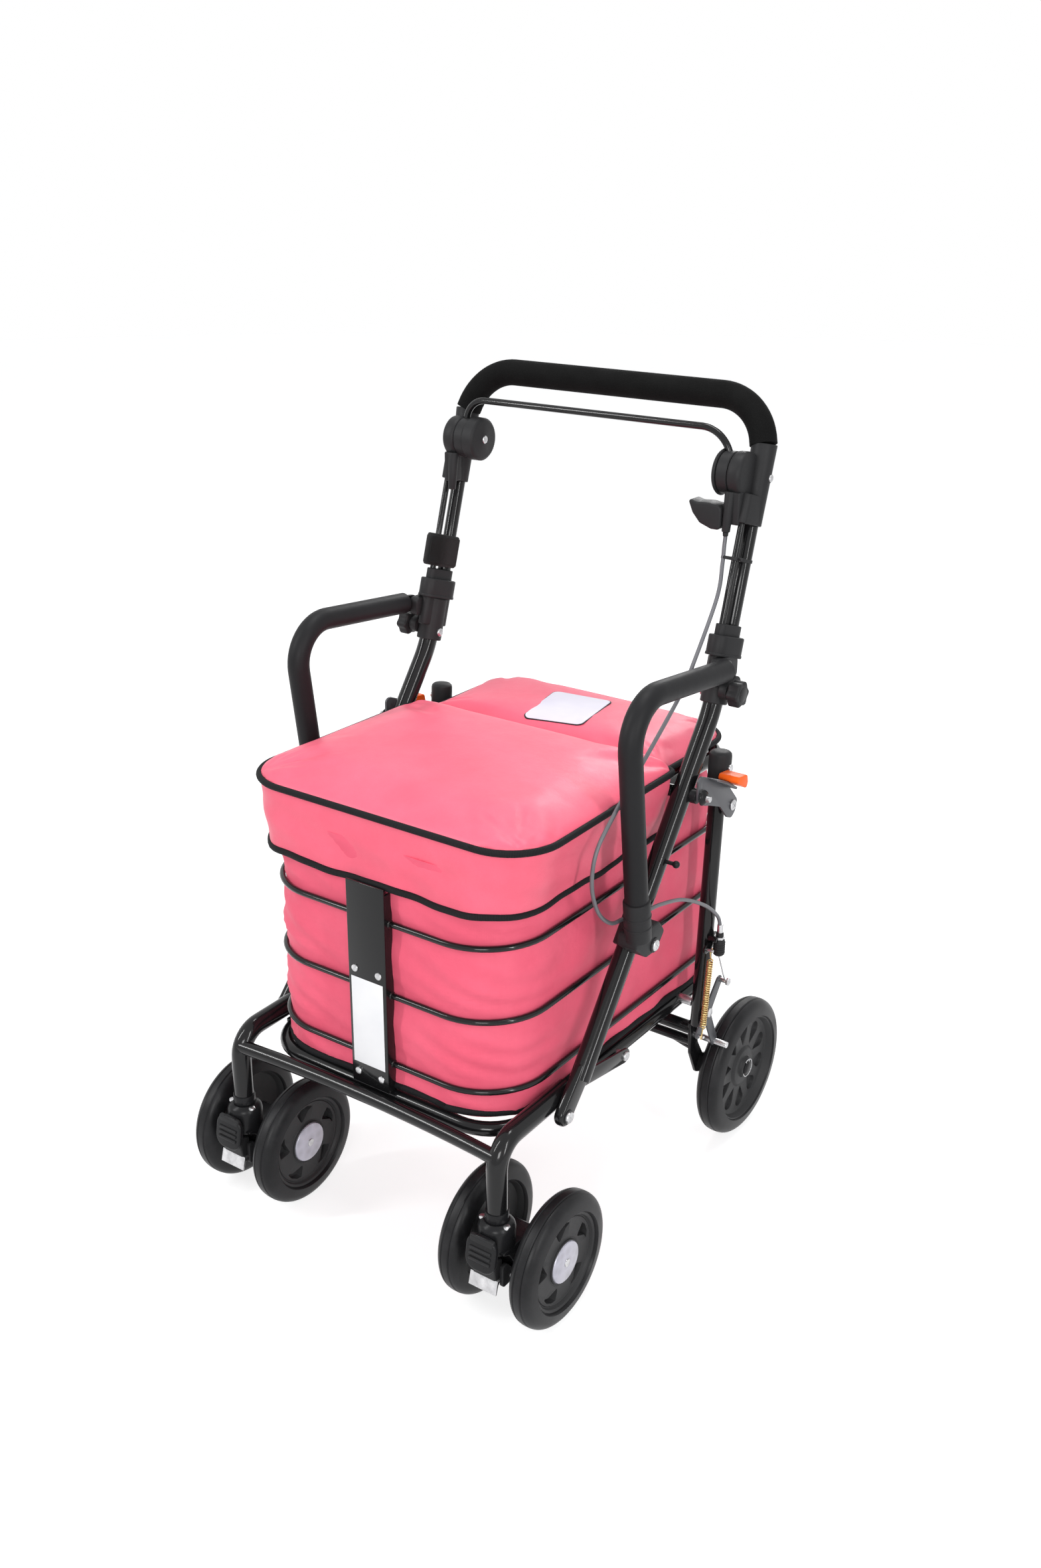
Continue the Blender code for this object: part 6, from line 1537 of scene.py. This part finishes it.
class ROLLATOR_OT_brakes(bpy.types.Operator):
    """Brake arms with their pads, cable adjusters and brass return springs"""
    bl_idname = "rollator.brakes"
    bl_label = "Rear brakes"

    def execute(self, context):
        self.arms()
        self.adjusters()
        self.springs(context.scene.rollator_sizes.coils)
        return {"FINISHED"}

    def arms(self):
        """Flat arms with the pad that presses on the tyre, the cable's clamp and the spring's pin."""
        tip_y, tip_z = ARM_TIP
        pivot_y, pivot_z = ARM_PIVOT
        pad_y, pad_z = ARM_PAD
        hook_y, hook_z = ARM_HOOK
        outline = [(tip_y - 0.005, tip_z + 0.004), (tip_y + 0.003, tip_z + 0.005),
                   (tip_y + 0.006, tip_z - 0.003), (pivot_y + 0.008, pivot_z - 0.004),
                   (pad_y + 0.006, pad_z + 0.002), (pad_y, pad_z - 0.0042), (pad_y - 0.005, pad_z - 0.004),
                   (pivot_y - 0.002, pivot_z - 0.014), (hook_y + 0.003, hook_z - 0.005),
                   (hook_y - 0.005, hook_z - 0.003), (hook_y - 0.004, hook_z + 0.005),
                   (pivot_y - 0.007, pivot_z + 0.003)]
        arm = plate(soft_outline(outline, 0.004), ARM_X, ARM_X + 0.0025, "grey_coat", 0.0005)
        shapes = [arm, rod((0.192, *ARM_PAD), (0.227, *ARM_PAD), 0.004, "zinc", 28, 0.0008),
                  rod((ARM_X + 0.001, *ARM_HOOK), (SPRING_X + 0.003, *ARM_HOOK), 0.0018, "zinc", 16, 0.0003),
                  rod((ARM_X + 0.001, *ARM_TIP), (BARREL[0] + 0.003, *ARM_TIP), 0.003, "zinc", 20, 0.0004),
                  nut((BARREL[0] + 0.0028, *ARM_TIP), X_AXIS, 0.005, 0.003)]
        on_both_sides("brake_lever_arm", shapes, "brake_arm", ["brake_arm"])

    def adjusters(self):
        """Ribbed barrels on the posts, with the wire that runs down to the arm."""
        x, y, z = BARREL
        ribs = []
        for i in range(5):
            ribs += [(0.004 + i * 0.003, 0.007), (0.005 + i * 0.003, 0.007), (0.0055 + i * 0.003, 0.0063),
                     (0.0065 + i * 0.003, 0.0063)]
        profile = [(0.0, 0.0), (0.0, 0.0052), (0.0015, 0.0066), (0.003, 0.007)] + ribs + [
            (0.02, 0.006), (0.0207, 0.0045), (0.028, 0.0045), (0.029, 0.0038), (0.029, 0.0)]
        barrel = turned(profile, BARREL, Z_AXIS, "satin_plastic", 36)
        start, end = Vector(BARREL), Vector((x, *ARM_TIP))
        run = (end - start).normalized()
        wire = rod(start - run * 0.003, end - run * 0.0033, 0.0009, "zinc", 12, 0.0)
        lock = nut(start + Z_AXIS * 0.0207, Z_AXIS, 0.006, 0.003)
        bracket = plate(stadium((y - 0.006, z + 0.0215), (y + 0.005, z + 0.0215), 0.004), SIDE_X + 0.0085,
                        x + 0.001, "gloss_paint", 0.0004)
        on_both_sides("barrel_adjuster", [barrel, wire, lock, bracket], "rear_frame",
                      ["cable_adjuster"])

    def springs(self, coils):
        """Each spring is one wire: a hook, its coils and a hook."""
        wire, radius, per_coil = 0.00085, 0.0031, 12
        lean = (SPRING_PIN[0] - ARM_HOOK[0]) / (SPRING_PIN[1] - ARM_HOOK[1])

        def centre_y(z):
            return ARM_HOOK[0] + lean * (z - ARM_HOOK[1])

        def hook(pin, degrees):
            reach = 0.0028
            angles = [math.radians(turn) for turn in degrees]
            return [Vector((SPRING_X, pin[0] - reach * math.cos(a), pin[1] + reach * math.sin(a)))
                    for a in angles]

        top, bottom = 0.28, 0.195
        path = hook(SPRING_PIN, range(124, 341, 27))
        path.append(Vector((SPRING_X, centre_y(0.2835), 0.2835)))
        for i in range(coils * per_coil + 1):
            z = top + (bottom - top) * i / (coils * per_coil)
            angle = math.tau * i / per_coil
            path.append(Vector((SPRING_X + radius * math.cos(angle), centre_y(z) + radius * math.sin(angle),
                                z)))
        path.append(Vector((SPRING_X, centre_y(0.1915), 0.1915)))
        path += hook(ARM_HOOK, range(80, -137, -27))
        on_both_sides("return_spring", [pipe(path, wire, "spring_brass", 8)], "rear_frame",
                      ["brake_spring"])


class ROLLATOR_OT_latches(bpy.types.Operator):
    """Fold latches: grey lever plates with a folded flange and an orange tab"""
    bl_idname = "rollator.latches"
    bl_label = "Latches"

    def execute(self, context):
        y, z = STUD
        outline = [(0.166, 0.459), (0.17, 0.472), (0.148, 0.495), (0.124, 0.509), (0.101, 0.52),
                   (0.084, 0.527), (0.0775, 0.524), (y - 0.0068, z - 0.0036), (y - 0.0038, z - 0.0036),
                   (y - 0.0038, z + 0.0038), (y + 0.0038, z + 0.0038), (y + 0.0078, 0.49), (0.105, 0.486),
                   (0.13, 0.476), (0.148, 0.457), (0.158, 0.453)]
        lever = plate(soft_outline(outline, 0.006, 3), LATCH_X, LATCH_X + 0.003, "grey_coat", 0.0006)
        flange = [(0.098, 0.5212), (0.0995, 0.5185), (0.123, 0.5075), (0.147, 0.4935), (0.149, 0.4957),
                  (0.125, 0.5102)]
        shapes = [lever,
                  plate(soft_outline(flange, 0.0008, 2), LATCH_X, LATCH_X + 0.013, "grey_coat", 0.0006)]
        on_both_sides("latch_lever", shapes, "latch", ["latch_plate"])
        tab_outline = [(0.127, 0.5096), (0.149, 0.4969), (0.152, 0.504), (0.15, 0.513), (0.13, 0.5155)]
        tab = plate(soft_outline(tab_outline, 0.0035, 5), 0.2146, LATCH_X + 0.024, "orange_plastic", 0.0014,
                    3)
        on_both_sides("latch_button", [tab], "latch", ["latch_tab"])
        return {"FINISHED"}


# Wheels

def tyre(centre, radius, rim, half, grooves):
    """A round-shouldered tyre with shallow grooves round its tread."""
    profile = [(-half * 0.8, rim)]
    count = 26
    for i in range(count + 1):
        share = i / count
        along = -half + 2 * half * share
        height = (1 - abs(2 * share - 1) ** 3.0) ** 0.5
        profile.append((along, rim + 0.002 + (radius - rim - 0.002) * height))
        for groove in range(grooves):
            middle = (groove + 1) / (grooves + 1)
            if abs(share - middle) < 0.55 / count:
                profile[-1] = (along, profile[-1][1] - 0.0011)
    profile.append((half * 0.8, rim))
    return turned(profile, centre, X_AXIS, "tyre_rubber", 96)


class ROLLATOR_OT_front_wheels(bpy.types.Operator):
    """Twin front wheels: grooved tyres, five-opening discs and pale centre caps"""
    bl_idname = "rollator.front_wheels"
    bl_label = "Front wheels"

    def execute(self, context):
        for place, out in (("outer", 1.0), ("inner", -1.0)):
            self.wheel(place, out, context.scene.rollator_sizes.grooves)
        return {"FINISHED"}

    def wheel(self, place, out, grooves):
        centre = Vector((LEG_X + out * FRONT_WHEEL_OUT, FRONT_WHEEL.y, FRONT_WHEEL.z))
        axis = X_AXIS * out
        hub, rim, radius = 0.015, 0.0545, 0.075
        profile = [(0.0086, 0.0), (0.0086, 0.0262), (0.008, 0.027), (0.0072, rim - 0.0076),
                   (0.0078, rim - 0.007), (0.0082, rim - 0.0062), (0.0078, rim - 0.0054),
                   (0.0072, rim - 0.005), (0.0072, rim - 0.004), (0.0104, rim - 0.0028),
                   (0.0112, rim - 0.0012), (0.0116, rim + 0.0012), (-0.0116, rim + 0.0012),
                   (-0.0112, rim - 0.0004), (-0.0042, rim - 0.0035), (-0.003, rim - 0.0055),
                   (-0.003, hub + 0.0015), (-0.0042, hub), (-0.0237, 0.0112), (-0.0237, 0.0)]
        disc = turned(profile, centre, axis, "wheel_plastic_painted_reflection", 80)
        cutters = []
        for i in range(5):
            points = []
            for r, spread in ((0.03, 14.0), (0.0335, 17.5), (0.0445, 19.0), (0.0462, 10.0), (0.0462, -4.0),
                              (0.044, -17.0), (0.0405, -6.0)):
                angle = math.radians(90 + 72 * i + spread)
                points.append((centre.y + r * math.cos(angle), centre.z + r * math.sin(angle)))
            near, far = sorted((centre.x - out * 0.001, centre.x + out * 0.02))
            cutters.append(plate(soft_outline(points, 0.001, 3), near, far, "smooth_plastic", 0.0))
        disc = soften(cut(disc, *cutters), 0.0004, 2)
        shapes = [disc, tyre(centre, radius, rim, 0.015, grooves)]
        face = centre + axis * 0.0084
        shapes.append(turned([(-0.001, 0.0), (-0.001, 0.0236), (0.0018, 0.0236), (0.003, 0.0228),
                              (0.0036, 0.0208), (0.0042, 0.0)],
                             face, axis, "cap_plastic", 64))
        shapes.append(turned([(-0.001, 0.0237), (0.0018, 0.0237), (0.0022, 0.0244), (0.0014, 0.0252),
                              (-0.001, 0.0256)],
                             face, axis, "wheel_plastic_painted_reflection", 64))
        on_both_sides("caster_wheel_" + place, shapes, "front_wheel_" + place,
                      ["front_wheel_" + place])


class ROLLATOR_OT_rear_wheels(bpy.types.Operator):
    """Rear wheels: grooved tyres, discs with ten drop-shaped pockets and a clip on the axle"""
    bl_idname = "rollator.rear_wheels"
    bl_label = "Rear wheels"

    def execute(self, context):
        centre = REAR_WHEEL
        hub, rim, radius = 0.024, 0.066, 0.0874
        near = 0.1905 - centre.x
        profile = [(0.0128, 0.0), (0.0128, 0.0105), (0.0118, 0.0125), (0.0085, 0.014),
                   (0.0085, hub - 0.002), (0.0078, hub), (0.0052, hub + 0.0024), (0.005, rim - 0.006),
                   (0.0062, rim - 0.0035), (0.0128, rim - 0.0008), (0.0138, rim), (0.0138, rim + 0.0015),
                   (-0.013, rim + 0.0015), (-0.013, rim - 0.0005), (-0.005, rim - 0.004),
                   (-0.004, rim - 0.006), (-0.004, 0.015), (near, 0.012), (near, 0.0)]
        disc = turned(profile, centre, X_AXIS, "wheel_plastic_painted_reflection", 100)
        cutters = []
        for i in range(10):
            angle = math.tau * (i + 0.5) / 10
            way, across = Vector((math.cos(angle), math.sin(angle))), Vector((-math.sin(angle),
                                                                              math.cos(angle)))
            drop = [(0.0292, 0.0)] + [(0.049 + 0.0094 * math.cos(math.radians(t)),
                                       0.0094 * math.sin(math.radians(t)))
                                      for t in range(-100, 101, 20)]
            points = [(centre.y + way.x * r + across.x * s, centre.z + way.y * r + across.y * s)
                      for r, s in drop]
            cutters.append(plate(points, centre.x + 0.0006, centre.x + 0.02, "wheel_plastic_painted_reflection", 0.0))
        disc = soften(cut(disc, *cutters), 0.0007, 2)
        shapes = [disc, tyre(centre, radius, rim, 0.016, context.scene.rollator_sizes.grooves)]
        face = centre + X_AXIS * 0.0126
        shapes.append(turned([(0.0, 0.0), (0.0, 0.0088), (0.0012, 0.009), (0.0026, 0.0074), (0.0034, 0.004),
                              (0.0036, 0.0)],
                             face, X_AXIS, "smooth_plastic", 48))
        clip = [face + X_AXIS * 0.001 + Vector((0.0, 0.0112 * math.cos(t), 0.0112 * math.sin(t)))
                for t in [math.radians(200 + 12 * i) for i in range(24)]]
        clip += [clip[-1] + Vector((0.0, 0.003, -0.004)), clip[-1] + Vector((0.0, 0.009, -0.001))]
        shapes.append(pipe(clip, 0.0007, "zinc", 8))
        on_both_sides("rear_roller", shapes, "rear_wheel", ["rear_wheel"])
        return {"FINISHED"}


class ROLLATOR_OT_casters(bpy.types.Operator):
    """Caster forks with their lock pedals"""
    bl_idname = "rollator.casters"
    bl_label = "Casters"

    def execute(self, context):
        cup = turned([(0.0, 0.0), (0.0, 0.02), (0.024, 0.02), (0.0275, 0.0192), (0.0305, 0.017),
                      (0.0327, 0.0138), (0.0327, 0.0)],
                     (LEG_X, LEG_Y, 0.1), Z_AXIS, "smooth_plastic", 48)
        outline = [(-0.254, 0.105), (-0.215, 0.105), (-0.186, 0.1), (-0.174, 0.088), (-0.172, 0.072),
                   (-0.18, 0.06), (-0.195, 0.056), (-0.215, 0.06), (-0.228, 0.08), (-0.239, 0.098)]
        shell = plate(soft_outline(outline, 0.008, 5), LEG_X - 0.02, LEG_X + 0.02, "smooth_plastic", 0.006,
                      5)
        nose_outline = [(-0.22, 0.062), (-0.238, 0.064), (-0.242, 0.072), (-0.236, 0.08), (-0.22, 0.085)]
        nose = plate(soft_outline(nose_outline, 0.004), LEG_X - 0.0118, LEG_X + 0.0118, "smooth_plastic",
                     0.0012)
        steel_outline = [(-0.26, 0.059), (-0.258, 0.059), (-0.254, 0.072), (-0.218, 0.07), (-0.218, 0.072),
                         (-0.256, 0.0745)]
        steel = plate(steel_outline, LEG_X - 0.0175, LEG_X + 0.0175, "zinc", 0.0003)
        axle = Vector((LEG_X, FRONT_WHEEL.y, FRONT_WHEEL.z))
        shapes = [cup, shell, nose, steel,
                  rod((LEG_X - 0.021, *PEDAL), (LEG_X + 0.021, *PEDAL), 0.0028, "zinc", 20),
                  rod(axle - X_AXIS * 0.0595, axle + X_AXIS * 0.0595, 0.0045, "zinc")]
        for x in (LEG_X - 0.0153, LEG_X + 0.0153):
            shapes.append(screw((x, LEG_Y - 0.004, 0.13), Z_AXIS, 0.004, 0.003))
        on_both_sides("caster_housing", shapes, "caster", ["caster_fork"])

        front = PEDAL[0] - 0.026
        tread = [(front + 0.0005, 0.124), (front + 0.0065, PEDAL[1] + 0.053), (front + 0.0072, 0.099),
                 (-0.244, 0.0955), (-0.244, 0.076), (-0.25, 0.064), (-0.2545, 0.066),
                 (front + 0.0005, 0.098)]
        shapes = [plate(soft_outline(tread, 0.0022, 3), LEG_X - 0.015, LEG_X + 0.015, "satin_plastic",
                        0.003, 4)]
        rise = Vector((0.0, 0.16, 1.0)).normalized()
        ahead = Vector((0.0, -rise.z, rise.y))
        low = Vector((LEG_X, front - 0.0045, 0.086))
        face = soft_outline([(-0.019, 0.0), (0.019, 0.0), (0.019, 0.04), (-0.019, 0.04)], 0.0135, 8)
        shapes.append(prism([low + X_AXIS * x + rise * s for x, s in face], ahead * -0.0065,
                            "smooth_plastic", 0.0022, 4))
        for i in range(3):
            bar = low + rise * (0.0125 + i * 0.0062) + ahead * 0.0004
            shapes.append(rod(bar - X_AXIS * 0.0135, bar + X_AXIS * 0.0135, 0.0017, "satin_plastic", 16,
                              0.0008))
        ear = [(-0.25, 0.064), (-0.25, 0.09), (-0.242, 0.09), (-0.231, 0.076), (-0.231, 0.068),
               (-0.24, 0.064)]
        for sign in (1.0, -1.0):
            low, high = sorted((LEG_X + sign * 0.015, LEG_X + sign * 0.02))
            shapes.append(plate(soft_outline(ear, 0.003), low, high, "satin_plastic", 0.0008))
        on_both_sides("foot_pedal", shapes, "pedal", ["lock_pedal"])
        return {"FINISHED"}


# Stage

class ROLLATOR_OT_stage(bpy.types.Operator):
    """Pale floor, soft studio lamps, white surroundings and the camera"""
    bl_idname = "rollator.stage"
    bl_label = "Stage"

    def execute(self, context):
        self.floor()
        self.surroundings(context.scene)
        self.lamps()
        self.camera(context.scene)
        return {"FINISHED"}

    def floor(self):
        bpy.ops.mesh.primitive_circle_add(vertices=96, radius=9.0, fill_type="NGON",
                                          location=(0.0, 0.0, 0.0))
        floor = bpy.context.object
        floor.name = "floor"
        cover = Finish("floor_paint", 0.75)
        cover.feed("Base Color", (0.5, 0.5, 0.5))
        rays = self.rays(cover)
        cover.feed("Emission Color", (1.0, 1.0, 1.0))
        cover.feed("Emission Strength", rays * 0.72)
        floor.data.materials.append(cover.material)

    def rays(self, finish):
        """One for what the camera sees, directly or in metal and glass."""
        seen = [finish.node("ShaderNodeLightPath", output=name)
                for name in ("Is Camera Ray", "Is Glossy Ray", "Is Transmission Ray")]
        return finish.node("ShaderNodeMath", {"operation": "MINIMUM"},
                           {0: seen[0] + seen[1] + seen[2], 1: 1.0})

    def surroundings(self, scene):
        world = bpy.data.worlds.new("studio")
        scene.world = world
        world.use_nodes = True
        tree = world.node_tree
        light = tree.nodes["Background"]
        light.inputs["Color"].default_value = (0.95, 0.97, 1.0, 1.0)
        light.inputs["Strength"].default_value = 0.42
        seen = tree.nodes.new("ShaderNodeBackground")
        seen.inputs["Color"].default_value = (1.0, 1.0, 1.0, 1.0)
        seen.inputs["Strength"].default_value = 1.0
        mix = tree.nodes.new("ShaderNodeMixShader")
        path = tree.nodes.new("ShaderNodeLightPath")
        total = None
        for name in ("Is Camera Ray", "Is Glossy Ray", "Is Transmission Ray"):
            if total is None:
                total = path.outputs[name]
                continue
            add = tree.nodes.new("ShaderNodeMath")
            add.use_clamp = True
            tree.links.new(total, add.inputs[0])
            tree.links.new(path.outputs[name], add.inputs[1])
            total = add.outputs[0]
        tree.links.new(total, mix.inputs[0])
        tree.links.new(light.outputs[0], mix.inputs[1])
        tree.links.new(seen.outputs[0], mix.inputs[2])
        tree.links.new(mix.outputs[0], tree.nodes["World Output"].inputs[0])
        scene.view_settings.view_transform = "Standard"

    def lamps(self):
        for name, place, power, wide, high in LAMPS:
            bpy.ops.object.light_add(type="AREA", location=place)
            lamp = bpy.context.object
            lamp.name = name + "_lamp"
            lamp.data.energy = power
            lamp.data.shape = "RECTANGLE"
            lamp.data.size = wide
            lamp.data.size_y = high
            aim = Vector((0.0, 0.0, 0.45)) - Vector(place)
            lamp.rotation_euler = aim.to_track_quat("-Z", "Y").to_euler()

    def camera(self, scene):
        data = bpy.data.cameras.new("camera")
        data.sensor_width = 36.0
        data.lens = FOCAL_PIXELS / max(PICTURE_WIDE, PICTURE_HIGH) * data.sensor_width
        data.clip_end = 60.0
        camera = bpy.data.objects.new("camera", data)
        scene.collection.objects.link(camera)
        back = Vector((math.sin(CAMERA_TURN) * math.cos(CAMERA_DOWN),
                       -math.cos(CAMERA_TURN) * math.cos(CAMERA_DOWN), math.sin(CAMERA_DOWN)))
        right = Vector((math.cos(CAMERA_TURN), math.sin(CAMERA_TURN), 0.0))
        up = back.cross(right)
        c, s = math.cos(CAMERA_ROLL), math.sin(CAMERA_ROLL)
        columns = (right * c + up * s, up * c - right * s, back)
        turn = Matrix([[column[i] for column in columns] for i in range(3)]).to_4x4()
        camera.matrix_world = Matrix.Translation(CAMERA_PLACE) @ turn
        scene.camera = camera


class ROLLATOR_PT_panel(bpy.types.Panel):
    """Lists the colours, the sizes and the pieces in the order in which they are made"""
    bl_idname = "ROLLATOR_PT_panel"
    bl_label = "Shopping Rollator"
    bl_space_type = "VIEW_3D"
    bl_region_type = "UI"
    bl_category = "Rollator"

    def draw(self, context):
        for settings in (context.scene.rollator_colours, context.scene.rollator_sizes):
            box = self.layout.box()
            for name in settings.bl_rna.properties.keys():
                if name not in ("rna_type", "name"):
                    box.prop(settings, name)
        column = self.layout.column(align=True)
        for operator in OPERATORS:
            column.operator(operator.bl_idname)


OPERATORS = (
    ROLLATOR_OT_stage,
    ROLLATOR_OT_finishes,
    ROLLATOR_OT_side_tubes,
    ROLLATOR_OT_front_legs,
    ROLLATOR_OT_base,
    ROLLATOR_OT_front_plate,
    ROLLATOR_OT_basket_rings,
    ROLLATOR_OT_bag,
    ROLLATOR_OT_seat_frame,
    ROLLATOR_OT_cushion,
    ROLLATOR_OT_skirt,
    ROLLATOR_OT_rear_pad,
    ROLLATOR_OT_armrests,
    ROLLATOR_OT_handle,
    ROLLATOR_OT_cables,
    ROLLATOR_OT_rear_frame,
    ROLLATOR_OT_brakes,
    ROLLATOR_OT_latches,
    ROLLATOR_OT_front_wheels,
    ROLLATOR_OT_rear_wheels,
    ROLLATOR_OT_casters,
)
CLASSES = (RollatorColours, RollatorSizes, *OPERATORS, ROLLATOR_PT_panel)


def register():
    for each in CLASSES:
        bpy.utils.register_class(each)
    bpy.types.Scene.rollator_colours = bpy.props.PointerProperty(type=RollatorColours)
    bpy.types.Scene.rollator_sizes = bpy.props.PointerProperty(type=RollatorSizes)


def unregister():
    del bpy.types.Scene.rollator_sizes
    del bpy.types.Scene.rollator_colours
    for each in reversed(CLASSES):
        bpy.utils.unregister_class(each)


def main():
    register()
    for operator in OPERATORS:
        group, name = operator.bl_idname.split(".")
        getattr(getattr(bpy.ops, group), name)()


if __name__ == "__main__":
    main()
